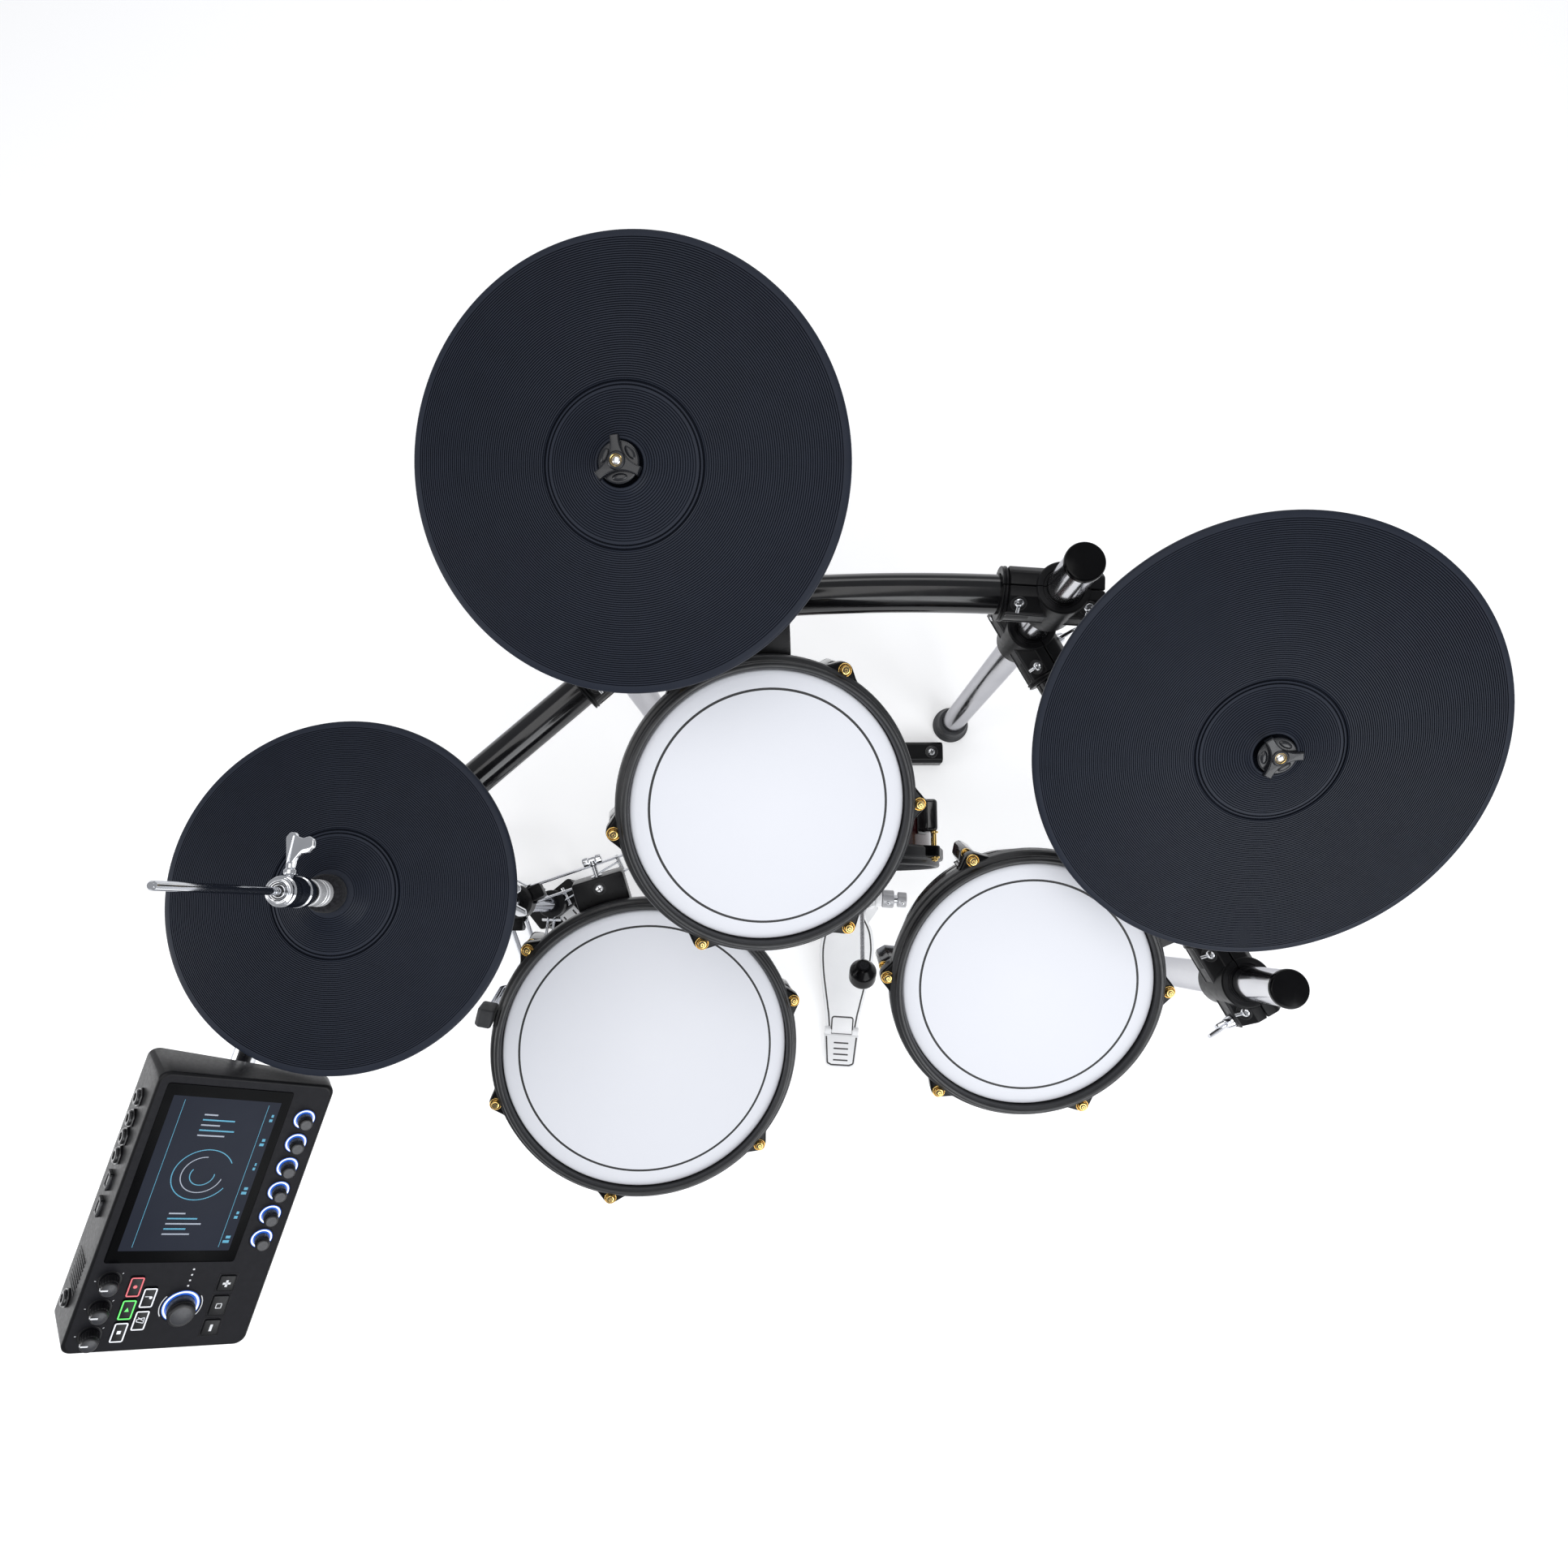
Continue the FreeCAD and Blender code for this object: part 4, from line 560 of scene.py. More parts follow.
def t_clamp(k, z, d, face, press=None):
    """Two cast halves that meet on the upright plane through the tube's axis; the front half is on the side of face."""
    d = unit(d)
    f = axes(post_at(k, z), d, np.cross((0, 0, 1), d), (0, 0, 1))
    along = axes(np.zeros(3), (0, 1, 0), (0, 0, 1), (1, 0, 0))
    g = f @ along
    a0 = 1.2
    for sgn in (1, -1):
        # collar round the post
        c = rounded([(19.3, -31.5), (27.2, -31.5, 1.2), (28.5, -30, 1), (28.5, 30, 1), (27.0, 31.8, 1.4), (21.5, 31.8, 1.0), (20.6, 30.2), (19.3, 30.2)])
        clamps.rev(c, f, 0, 40, closed=True, arc=(a0, 180 - a0) if sgn > 0 else (180 + a0, 360 - a0))
        # socket round the tube with a double rim
        c = rounded([(21.3, 30), (27, 30), (27, 55.2), (27.6, 55.8, 0.4), (29.3, 56.2, 0.6), (29.3, 58.2, 0.6), (28.0, 58.8, 0.3), (28.0, 59.4, 0.3), (29.0, 60, 0.6), (29.0, 61.4, 0.6),
                     (27.6, 62, 0.5), (22.4, 62, 0.6), (21.3, 61.2)])
        clamps.rev(c, g, 0, 40, closed=True, arc=(90 + a0, 270 - a0) if sgn < 0 else (-90 + a0, 90 - a0))
    # rear half: rounded over the top
    o = rounded([(-0.6 * face, -30, 1), (-15 * face, -30, 8), (-25 * face, -19, 9), (-25 * face, 19, 9), (-15 * face, 30, 8), (-0.6 * face, 30, 1)], True, 6)
    clamps.prism(o, -43, 55, g, 0, 1.6)
    # front half: sloped shoulders down to a flat face
    o = rounded([(0.6 * face, -30, 1), (12 * face, -30, 3), (24 * face, -14, 2), (24 * face, 14, 2), (12 * face, 30, 3), (0.6 * face, 30, 1)], True, 5)
    clamps.prism(o, -43, 55, g, 0, 1.4)
    # face plate with a border
    clamps.prism(rounded([(23.6 * face, -13.5, 0.6), (25.6 * face, -12.5, 0.8), (25.6 * face, 12.5, 0.8), (23.6 * face, 13.5, 0.6)], True, 3), -44, 59, g, 2, 0.6)
    pl = f @ axes(np.array([7.5, 25.5 * face, 0]), (face, 0, 0), (0, 0, 1), (0, face, 0))
    clamps.rim(96, 22, 2.0, -0.2, 0.8, pl, 2, 1.4, 0.3)
    # sunk screws in the upper shoulder; the dark counterbore floor and head slot are painted shade
    nr_ = np.array([0, 0.8 * face, 0.6])
    tg = np.array([0, 0.6 * face, -0.8])
    for bx in (44.0, -28.0):
        c = np.array([bx, 17.6 * face, 22.6])
        m = f @ axes(c, np.cross(tg, nr_), tg, nr_)
        clamps.rev(rounded([(0, 0.12), (7.4, 0.12), (7.4, 0.8, 0.2), (8.6, 0.8, 0.3), (8.9, -0.2)]), m, 1, 36)
        bolts.rev(rounded([(0, 3.0), (2.6, 2.8), (4.9, 1.6, 1.2), (5.2, 0.1)]), m @ tr(0, -1.8, 0), 0, 30)
        bolts.rbox(5.4, 1.0, 0.5, (0, -1.8, 2.95), m @ tr(0, 0, 0), 1, 0.3, 0.1)
        bolts.sweep(line((0, 2.6, 1.6), (0, 9.4, 1.6), 6), 2.1, m, 0, 18)
    # cross bolt and wing nut
    bx = -36.0
    t = f @ axes(np.array([bx, -face * 25.0, 0]), (1, 0, 0), (0, 0, -face), (0, -face, 0))
    bolts.prism([polar(6.4, a)[:2] for a in range(0, 360, 60)], 0, 4, t, 0, 0.6)
    if press is not None:
        o = -face
        rod_end(bolts, ap(f, (bx, face * 22.0, 0)), ap(f, (bx, face * 27.5, 0)), 3.0, 0, 20)
        rod_end(bolts, ap(f, (press, o * 23.0, 0)), ap(f, (press, o * 43.0, 0)), 3.0, 0, 20)
        clamps.rev(rounded([(3.2, 0), (8.6, 0), (8.6, 3.2, 0.6), (7.8, 4, 0.5), (3.2, 4)]), f @ axes(np.array([press, o * 24.0, 0]), (o, 0, 0), (0, 0, 1), (0, o, 0)), 0, 32, closed=True)
        wing_nut(nuts, ap(f, (press, o * 28.0, 0)), f[:3, :3] @ np.array([0, o, 0]), f[:3, :3] @ np.array([0.1, 0, 1.0]), 0)
        return
    rod_end(bolts, ap(f, (bx, face * 22.0, 0)), ap(f, (bx, face * 41.0, 0)), 3.0, 0, 20)
    clamps.rev(rounded([(3.2, 0), (8.6, 0), (8.6, 2.2, 0.6), (7.8, 3, 0.5), (3.2, 3)]), f @ axes(np.array([bx, face * 23.0, 0]), (face, 0, 0), (0, 0, 1), (0, face, 0)), 0, 32, closed=True)
    wing_nut(nuts, ap(f, (bx, face * 26.2, 0)), f[:3, :3] @ np.array([0, face, 0]), f[:3, :3] @ np.array([0.45, 0, 1.0]), 0)


rB, rA = unit(B - O), unit(A - O)
t_clamp("ir", Z_C, (-rB[1], rB[0], 0), 1)
t_clamp("il", Z_C, (rA[1], -rA[0], 0), -1)
t_clamp("ir", Z_R, rd, -1, 24.0)
t_clamp("or", Z_R, -rd, 1)
t_clamp("il", Z_L, ld, 1)
t_clamp("ol", Z_L, -ld, -1)

# ------------------------------------------------------------------ drums
SNARE_R, TOM_R, KICK_R = 152.0, 127.0, 101.5
shell_mb, shell_ob = None, None


def drum(name, centre, normal, rs, deep, lug_az, mount_az, first):
    f = frm(W(*centre), normal)
    inv = np.linalg.inv(f)
    # shell
    mb = Mb()
    mb.rev(rounded([(0, -deep), (rs - 3, -deep, 0), (rs, -deep + 2, 1.5), (rs, -4, 1), (rs - 2, -1.6, 1), (rs - 6, -6), (rs - 6, -deep + 5), (0, -deep + 5)]), None, 0, 128)
    mb.rev(rounded([(rs - 0.2, -deep + 4), (rs + 0.5, -deep + 4.4, 0.3), (rs + 0.5, -deep + 9.6, 0.3), (rs - 0.2, -deep + 10)]), None, 1, 128)
    make(name + "_shell_lacquer", mb, [LACQ if name == "kick" else LACQB, BLACKG], "kit", f, ["drum_shells"] if first else ())
    # head: slightly crowned mesh, collar and flesh hoop
    mb = Mb()
    prof = [(0, 0.3)] + [(rs * t, 0.3 * (1 - t ** 4)) for t in np.linspace(0.08, 0.98, 14)] + [(rs + 1.2, -0.25), (rs + 2.4, -0.9), (rs + 3.2, -2.2), (rs + 3.3, -9), (rs + 7, -9.2), (rs + 7, -13), (rs + 0.6, -13)]
    mb.rev(prof, None, 0, 160)
    make(name + "_head_mesh", mb, [HEAD], "kit", f, ["drum_heads"] if first else (), recalc=True)
    # printed ring: a hair above the mesh
    mb = Mb()
    rr = rs - 14.5
    zz = 0.3 * (1 - (rr / rs) ** 4)
    mb.rev([(rr - 1.15, zz + 0.02), (rr - 1.0, zz + 0.12), (rr + 1.0, zz + 0.12), (rr + 1.15, zz + 0.02)], None, 0, 160)
    make(name + "_printed_ring", mb, [DARK_PRINT_AND_SHADE], "kit", f, (), recalc=False)
    # hoop: rolled upper lip, groove, lower skirt, and ears for the rods
    lip, out = rs + 4.0, rs + 16.5
    mb = Mb()
    prof = rounded([(lip, -8.5), (lip, 5.5, 3), (lip + 1.6, 9.3, 2.4), (lip + 5.4, 9.5, 3), (lip + 7.2, 7.0, 2), (lip + 7.0, 2.2, 1.0), (lip + 8.2, 0.9, 1.2), (out - 1.2, 0.4, 2),
                    (out, -3, 2), (out, -14, 2), (out - 2.5, -17, 1.5), (rs + 7.6, -17), (rs + 7.6, -8.5)], n=5)
    mb.rev(prof, None, 0, 160, closed=True)
    re = rs + 19.5
    for a in lug_az:
        g = rotz(a)
        o = rounded([(re - 11, -27, 4), (re - 2, -14, 12), (re + 10.6, 0, 13), (re - 2, 14, 12), (re - 11, 27, 4)], True, 8)
        mb.prism(o, -17, -1.6, g, 1, 2.4, 4)
    make(name + "_hoop_cover", mb, [RUBBER, CAPB], "kit", f, ["drum_hoops"] if first else ())
    # lugs
    mb, kb = Mb(), Mb()
    for a in lug_az:
        g = rotz(a)
        o = rounded([(rs + 0.4, -9, 1), (re - 5, -9.6, 4), (re + 9, 0, 9), (re - 5, 9.6, 4), (rs + 0.4, 9, 1)], True, 7)
        mb.prism(o, -80, -36, g, 0, 5.0, 4)
        mb.rbox(1.6, 24, 50, (rs + 0.9, 0, -58), g, 0, 0.7, 0.4)
        t = g @ tr(re, 0, 0)
        mb.rev(rounded([(3.2, -36.2), (5.2, -36.2, 0.5), (5.2, -33.6, 0.6), (3.2, -33.6)]), t, 1, 24, closed=True)
        # tension rod: threaded shank, washer, ribbed collar and square drive
        sh = [(0, -58)]
        for zz in np.arange(-57, -33, 0.9):
            sh += [(2.9, zz), (2.55, zz + 0.45)]
        sh += [(2.9, -32), (2.9, -3.4)]
        kb.rev(sh, t, 0, 18)
        # cupped seat ring with a dark trough of painted shade, then the ribbed head
        kb.rev(rounded([(5.4, -2.2), (6.6, -2.2), (6.6, -0.4, 0.4), (6.1, 0.2, 0.3), (5.4, -0.6)]), t, 0, 32, closed=True)
        kb.rev([(4.0, -1.15), (5.5, -1.15)], t, 1, 32)
        kb.rev(rounded([(0, 4.4), (1.8, 4.4), (2.1, 3.6), (3.9, 3.4, 0.6), (4.3, 2.6, 0.4), (4.3, 0.9, 0.4), (3.8, 0.3, 0.3), (4.5, -0.5, 0.3), (4.5, -2.2), (0, -2.2)]), t, 0, 28)
        # dark ring at the foot of the drive and dark cross on it: painted shade
        kb.rev(rounded([(2.15, 3.52), (2.9, 3.58), (2.9, 3.62), (2.15, 3.68)]), t, 1, 24)
        for q in (20, 110):
            kb.rbox(3.0, 0.7, 0.4, (0, 0, 4.35), t @ rotz(q), 1, 0.15, 0.1)
    make(name + "_lug_set", mb, [BLACKG, GOLD], "kit", f, ["drum_lugs"] if first else ())
    make(name + "_rod_set", kb, [GOLD, DARK_PRINT_AND_SHADE], "kit", f, ["tension_rods"] if first else ())
    # trigger under the mesh
    mb = Mb()
    mb.rev(rounded([(0, -2), (5, -2, 1), (8, -3, 2), (22, -30, 1), (0, -30)]), None, 0, 40)
    mb.rbox(2 * (rs - 6) - 6, 30, 4, (0, 0, -35), None, 1, 2.0)
    mb.rev(rounded([(0, -30), (33, -30, 0.6), (34, -31), (34, -33), (0, -33)]), None, 1, 48)
    make(name + "_trigger", mb, [FOAM, BOARD], "kit", f, ["drum_sensors"] if first else ())
    if mount_az is not None:
        mb = Mb()
        g = rotz(mount_az)
        inner = [(math.sqrt((rs + 0.4) ** 2 - y * y), y) for y in np.linspace(29, -29, 9)]
        o = [(rs + 44.5, -29, 3), (rs + 44.5, 29, 3)] + [(x, y) for x, y in inner]
        mb.prism(rounded(o, True, 5), -60, -20, g, 0, 2.0)
        mb.rbox(30, 50, 3, (rs + 26, 0, -61), g, 0, 2.0)
        t = g @ tr(rs + 32, 0, 0)
        mb.rev(rounded([(0, -19.9), (5.6, -19.9), (5.8, -19.5, 0.2), (7.2, -19.5, 0.3), (7.4, -20.2)]), t, 1, 32)
        make(name + "_mount_box", mb, [BLACK, DARK_PRINT_AND_SHADE], "kit", f, ["drum_mounts"] if first else ())
        screw_head(bolts, f @ t @ tr(0, 0, -19.85), 4.6, 2.0, 0, 1)
    return f


snare_f = drum("snare", (-162.9, -147.8, 575.2), (0.1561, -0.1858, 0.9701), SNARE_R, 110.0, (138, 198, 256, 317, 16, 76), 106, True)
t = snare_f @ rotz(106) @ tr(SNARE_R + 44.5, 0, -32)
bolts.rev(rounded([(0, 0), (6.4, 0, 0.4), (6.4, 1.6, 0.4), (3, 1.8), (3, 12.5), (4.6, 14.5, 1), (4.6, 19), (0, 19)]), t @ axes(np.zeros(3), (0, 1, 0), (0, 0, 1), (1, 0, 0)), 0, 28)
bolts.rev(rounded([(0, -11), (3.8, -11, 0.6), (4.9, -10, 0.8), (5.2, -4.6, 0.8), (4.0, -3.6, 0.8), (4.0, 3.6, 0.8), (5.2, 4.6, 0.8), (4.9, 10, 0.8), (3.8, 11, 0.6), (0, 11)]),
          t @ axes(np.array([19.0, 0, 0]), (0, 0, 1), (1, 0, 0), (0, 1, 0)), 0, 32)
tom_f = drum("tom", (-22.4, 98.9, 768.8), (0.1802, -0.3444, 0.9213), TOM_R, 110.0, (61, -1, -58, -117, 187, 124), 92, False)
floor_f = drum("floor_tom", (242.7, -72.7, 654.2), (0.0231, -0.2936, 0.9557), TOM_R, 82.0, (115, 176, 232, 295, -3, 55), 24, False)
KICK = (92.0, 75.0, 315.0)
kick_f = drum("kick", KICK, (0, -1, 0), KICK_R, 80.0, (37, 97, 157, 217, 277, 337), None, False)

# ------------------------------------------------------------------ bent rods and their clamps
rods = Mb()


def rod_clamp(at, along, top):
    a = unit(along)
    side = unit(np.cross((0, 0, 1), a))
    g = axes(at - a * 22, side, np.cross(a, side), a)
    clamps.rev(rounded([(21.2, 0), (28.4, 0, 1), (29.5, 1.2), (29.5, 16), (28.3, 17.4), (28.3, 26.6), (29.5, 28), (29.5, 42.8), (28.4, 44, 1), (21.2, 44)]), g, 0, 56, closed=True)
    b = axes(at, side, np.cross((0, 0, 1), side), (0, 0, 1))
    h = top - at[2]
    clamps.rev(rounded([(0, 24), (14, 24), (14, h - 5, 0.5), (15.2, h - 4, 1), (15.2, h - 1, 1), (14, h, 1), (7.2, h, 0.6), (7.0, h - 2)]), b, 0, 44)
    clamps.rbox(12, 34, 30, (24, 0, h - 30), b, 0, 3)
    s0 = at + np.array([0, 0, h - 9]) + side * 14
    rod_end(bolts, s0, s0 + side * 9, 3.0, 0, 20)
    wing_nut(nuts, s0 + side * 8.4, side, a, 0, 0.95)


def tom_rod(f, az, rs, tube_point, along):
    g = f @ rotz(az)
    start = ap(g, (rs + 16, 0, -40))
    out = ap(g, (rs + 100, 0, -40)) - start
    k = ((tube_point[0] - start[0]) * out[0] + (tube_point[1] - start[1]) * out[1]) / (out[0] ** 2 + out[1] ** 2)
    turn = start + out * k
    turn = np.array([tube_point[0], tube_point[1], turn[2]])
    rods.sweep(arc_path([start, turn, np.array([turn[0], turn[1], tube_point[2] + 24])], 22.0, 16), 6.35, None, 0, 32)
    rod_clamp(tube_point, along, tube_point[2] + 58)


tp, ta = on_centre(-27.0)
tom_rod(tom_f, 92, TOM_R, tp, ta)
fp = rp + (rq - rp) * 0.770
tom_rod(floor_f, 24, TOM_R, fp, rd)

MU, MV, MN = (0.3322, 0.937, 0.1083), (0.7574, -0.1966, -0.6226), (0.5621, -0.2889, 0.775)
mod = frm(W(-497.3, -250.9, 815.3), MN, MV)
ax = mod[:3, 1]
hinge = ap(mod, (0, 0, -60))
arm_bend = hinge + ax * 165
boss_end = post_at("ol", 742)
dm = unit(arm_bend - boss_end)
rods.sweep(arc_path([hinge - ax * 45, arm_bend, boss_end + dm * 24], 48.0, 20), 10.0, None, 0, 40)
rods.rev(rounded([(0, 0), (9, 0, 1), (10.8, 1.4, 1), (10.8, 9), (0, 9)]), frm(hinge - ax * 46, ax), 1, 40)
make("bent_rods", rods, [CHROME, BLACK], "kit", repl=["mount_rods"])
clamps.rev(rounded([(19.3, -25), (27.4, -25, 1), (28.5, -24, 1), (28.5, 24, 1), (27.4, 25, 1), (19.3, 25)]), tr(*boss_end), 0, 56, closed=True)
clamps.rev(rounded([(0, 22), (16, 22), (16, 53, 0.5), (17.2, 54, 1), (17.2, 57, 1), (16, 58, 1), (10.6, 58, 0.6), (10.2, 56)]), frm(boss_end, dm), 0, 48)
ms = unit(np.cross((dm[0], dm[1], 0), (0, 0, 1)))
s0 = boss_end + dm * 44 + ms * 16
rod_end(bolts, s0, s0 + ms * 10, 3.0, 0, 20)
wing_nut(nuts, s0 + ms * 9.6, ms, dm, 0)

# ------------------------------------------------------------------ cymbal pads
arms, felts = Mb(), Mb()


def pad_profile(rr, well, ring, pitch):
    """Top from rim to middle with moulded ridges, then the underside; each band has its material, the groove walls and
    the well taking the darker painted-shade rubber.
    """
    p, g = [], []

    def put(r, z, m=0):
        p.append((r, z))
        g.append(m)

    for r, z in ((rr, -2.5), (rr, -0.6), (rr - 0.4, 0.7), (rr - 1.2, 1.35), (rr - 2.4, 1.8)):
        put(r, z)
    r0, z0, r1, z1 = rr - 2.4, 1.8, ring, 9.8

    def zf(r):
        u = (r0 - r) / (r0 - r1)
        return z0 + (z1 - z0) * u + 1.1 * math.sin(math.pi * u)

    # each ridge: the faces running down into the groove take the painted groove shade
    def ridges(a, b, step, zfun, up, dn):
        n = int(round((a - b) / step))
        s = (a - b) / n
        for i in range(n):
            r = a - i * s
            put(r, zfun(r) + up)
            put(r - 0.52 * s, zfun(r - 0.52 * s) + up, 1)
            put(r - 0.62 * s, zfun(r - 0.62 * s) - dn, 1)
            put(r - 0.88 * s, zfun(r - 0.88 * s) - dn)

    put(rr - 4.4, zf(rr - 4.4) + 0.1)
    ridges(rr - 5.2, ring + 1.6, pitch, zf, 0.18, 0.34)
    # double groove at the foot of the bell, its walls in the painted groove shade
    zr = zf(ring)
    for r, z, m in ((ring + 1.0, 0.15, 1), (ring + 0.6, -1.1, 1), (ring - 0.5, -1.1, 1), (ring - 0.9, 0.35, 0), (ring - 2.3, 0.65, 1), (ring - 2.6, -0.3, 1), (ring - 3.3, -0.3, 1), (ring - 3.7, 0.95, 0)):
        put(r, zr + z, m)
    top_r, top_z = 20.0, 20.0

    def zb(r):
        u = (ring - 3.7 - r) / (ring - 3.7 - top_r)
        return zr + 0.95 + (top_z - zr - 1.1) * max(0.0, u) ** 1.25

    ridges(ring - 5.0, top_r + 0.4, pitch * 1.06, zb, 0.14, 0.30)
    put(19.6, 20.05)
    if well:
        for r, z in ((18.9, 20.1), (18.2, 19.5)):
            put(r, z)
        for r, z in ((18, 18.6), (18, 12.4), (17.4, 12), (8.8, 12), (8.2, 11.4)):
            put(r, z, 1)
    else:
        for r, z in ((8.4, 20.0), (8.2, 19.6)):
            put(r, z)
    for r, z in ((8.2, 5.4), (8.6, 5), (28, 5), (34, 4.6), (rr * 0.6, 1.2), (rr - 8, -3.4), (rr - 4, -4), (rr - 0.8, -3.6)):
        put(r, z, 2)
    return p, g


def pad(name, M, rr, well, ring, pitch, body, node):
    p, g = pad_profile(rr, well, ring, pitch)
    mb = Mb()
    mb.rev(p, None, 0, 224, closed=True)
    mb.m = [g[i // 224] for i in range(len(mb.f))]
    # trigger box with its jack on the underside
    mb.rbox(46, 30, 13, (0, rr * 0.42, -4.0), None, 2, 4)
    mb.rev(rounded([(0, 0), (6, 0), (6, 5, 1), (3.4, 5), (3.4, 1), (0, 1)]), axes(np.array([0, rr * 0.42 + 15, -5.0]), (1, 0, 0), (0, 0, -1), (0, 1, 0)), 2, 24)
    return make(name, mb, [PAD, PAD_GROOVE_SHADE, PADB], body, M, [node], sharp=50)


def cymbal(name, centre, normal, rr, ring, turn, foot, clamp_at, along):
    f = frm(W(*centre), normal)
    pad(name + "_pad_rubber", f, rr, True, ring, 1.8, name + "_pad", name + "_pad")
    for lo, hi, r in ((-4, 3, 13), (14, 20, 11.5)):
        felts.rev(rounded([(4.0, lo), (r, lo, 1.4), (r + 0.3, (lo + hi) / 2), (r, hi, 1.4), (4.0, hi)], n=4), f, 0, 40, closed=True)
    # three-arm nut: fluted body, star with scooped sides, centre ring with a lined hole
    mb = Mb()
    mb.rev(rounded([(4.4, 20.5), (13.4, 20.5), (14.6, 21.2, 0.5), (14.8, 22.4), (16.2, 23.2, 0.4), (16.4, 24.4, 0.6), (15.4, 25.4, 0.8), (9, 26.2), (4.4, 26.2)]), None, 0, 72, closed=True)
    star = []
    for i in range(3):
        a = turn + 120 * i
        p0 = (rotz(a) @ np.array([19.5, 3.7, 0, 1]))[:2]
        p2 = (rotz(a + 120) @ np.array([19.5, -3.7, 0, 1]))[:2]
        p1 = polar(2.2, a + 60)[:2]
        star.append(tuple((rotz(a) @ np.array([19.5, -3.7, 0, 1]))[:2]))
        for u in np.linspace(0, 1, 15):
            q = (1 - u) ** 2 * p0 + 2 * u * (1 - u) * p1 + u * u * p2
            if u < 1:
                star.append(tuple(q))
        # glossy flute between two arms
        m = rotz(a + 60) @ tr(11.4, 0, 25.2) @ np.diag([3.2, 6.4, 1.9, 1.0])
        mb.rev([(math.sin(v), math.cos(v)) for v in np.linspace(0, math.pi / 2, 9)], m, 0, 28)
    mb.prism(star, 25.6, 31.0, None, 0, 1.2, 4)
    mb.rev(rounded([(4.7, 30), (4.7, 32.0, 0.3), (5.4, 32.6, 0.4), (6.6, 32.2, 0.6), (7.4, 30.8)]), None, 0, 44)
    mb.rev(rounded([(4.7, 31.9, 0.2), (4.25, 31.6, 0.2), (4.25, 21)]), None, 1, 36)
    make(name + "_nut_moulding", mb, [NUTB, GOLD], name + "_nut", f, [name + "_wing_nut"])
    # tilter
    piv = ap(f, (0, 0, -34))
    d = unit(piv - foot)
    sh = [(0, -34), (4, -34), (4, 16)]
    for zz in np.arange(16.5, 28.4, 1.1):
        sh += [(3.95, zz), (3.5, zz + 0.55)]
    sh += [(3.9, 29.0), (3.9, 30.4), (3.4, 31.2), (2.2, 31.8), (0, 32.0)]
    arms.rev(sh, f, 0, 28)
    arms.rev(rounded([(4, -7), (12, -7, 1), (13, -6), (13, -4.6), (12.6, -4), (4, -4)]), f, 0, 44, closed=True)
    arms.rev(rounded([(0, -34), (7, -34), (7, -9, 0.5), (9, -7.2), (0, -7)]), f, 0, 36)
    b = f @ axes(np.array([-17, 0, -34.0]), (0, 1, 0), (0, 0, 1), (1, 0, 0))
    arms.rev(rounded([(0, 0), (11.6, 0, 1), (13, 1.4, 1), (13, 15.4), (12.2, 16), (12.2, 18), (13, 18.6), (13, 32.6, 1), (11.6, 34, 1), (0, 34)]), b, 0, 48)
    wing_nut(nuts, ap(f, (17.5, 0, -34)), f[:3, 0], f[:3, 2], 0, 0.9)
    rod_end(arms, piv - d * 20, piv, 9.0, 0, 40)
    L = np.linalg.norm(piv - d * 20 - foot)
    arms.rev(rounded([(9.4, 0), (10.4, 0), (11, 0.8), (11, L - 26, 0.4), (12.6, L - 25, 0.6), (12.6, L - 2, 0.8), (11.6, L, 0.4), (9.4, L)]), frm(foot, d, (1, 0, 0)), 0, 56, closed=True)
    # clamp on the rack tube
    a = unit(along)
    k = (clamp_at[2] - foot[2]) / d[2]
    mid = foot + d * k
    o = unit(mid - clamp_at)
    g = axes(clamp_at - a * 22, o, np.cross(a, o), a)
    clamps.rev(rounded([(21.2, 0), (28.4, 0, 1), (29.5, 1.2), (29.5, 16), (28.3, 17.4), (28.3, 26.6), (29.5, 28), (29.5, 42.8), (28.4, 44, 1), (21.2, 44)]), g, 0, 56, closed=True)
    b = frm(mid - d * 26, d, o)
    clamps.rev(rounded([(11.2, 0), (16, 0, 1), (17, 1), (17, 18), (16.2, 19), (16.2, 33), (17, 34), (17, 51, 1), (16, 52, 1), (11.2, 52)]), b, 0, 48, closed=True)
    clamps.rbox(30, 26, 26, (np.linalg.norm(mid - clamp_at) / 2, 0, 0), axes(clamp_at, o, np.cross(a, o), a), 0, 3)
    s0 = mid + o * 17
    rod_end(bolts, s0, s0 + o * 11, 3.0, 0, 20)
    wing_nut(nuts, s0 + o * 10.4, o, a, 0)
    return f


cc, cd = on_centre(-112.0)
cb = cc - np.array([cd[1], -cd[0], 0]) * 42
crash_f = cymbal("crash", (-132.1, 350.6, 942.2), (-0.1024, -0.2645, 0.9589), 178.0, 64.0, 95.0, np.array([cb[0], cb[1], 600.0]), cc, cd)
rc = rp + (rq - rp) * 0.40
rs_ = unit([-rd[1], rd[0], 0])
rb = rc + rs_ * 44
rpv = ap(frm(W(418.4, 146.9, 820.8), (-0.0727, -0.4464, 0.8919)), (0, 0, -34))
slope = rpv - rb
ride_f = cymbal("ride", (418.4, 146.9, 820.8), (-0.0727, -0.4464, 0.8919), 203.0, 63.6, 125.7, rb - slope * (70 / slope[2]), rc, rd)
make("cymbal_arm_set", arms, [CHROME, BLACK, GOLD], "kit", repl=["cymbal_arms"])
make("cymbal_felt_set", felts, [FELT], "kit", repl=["cymbal_felts"])

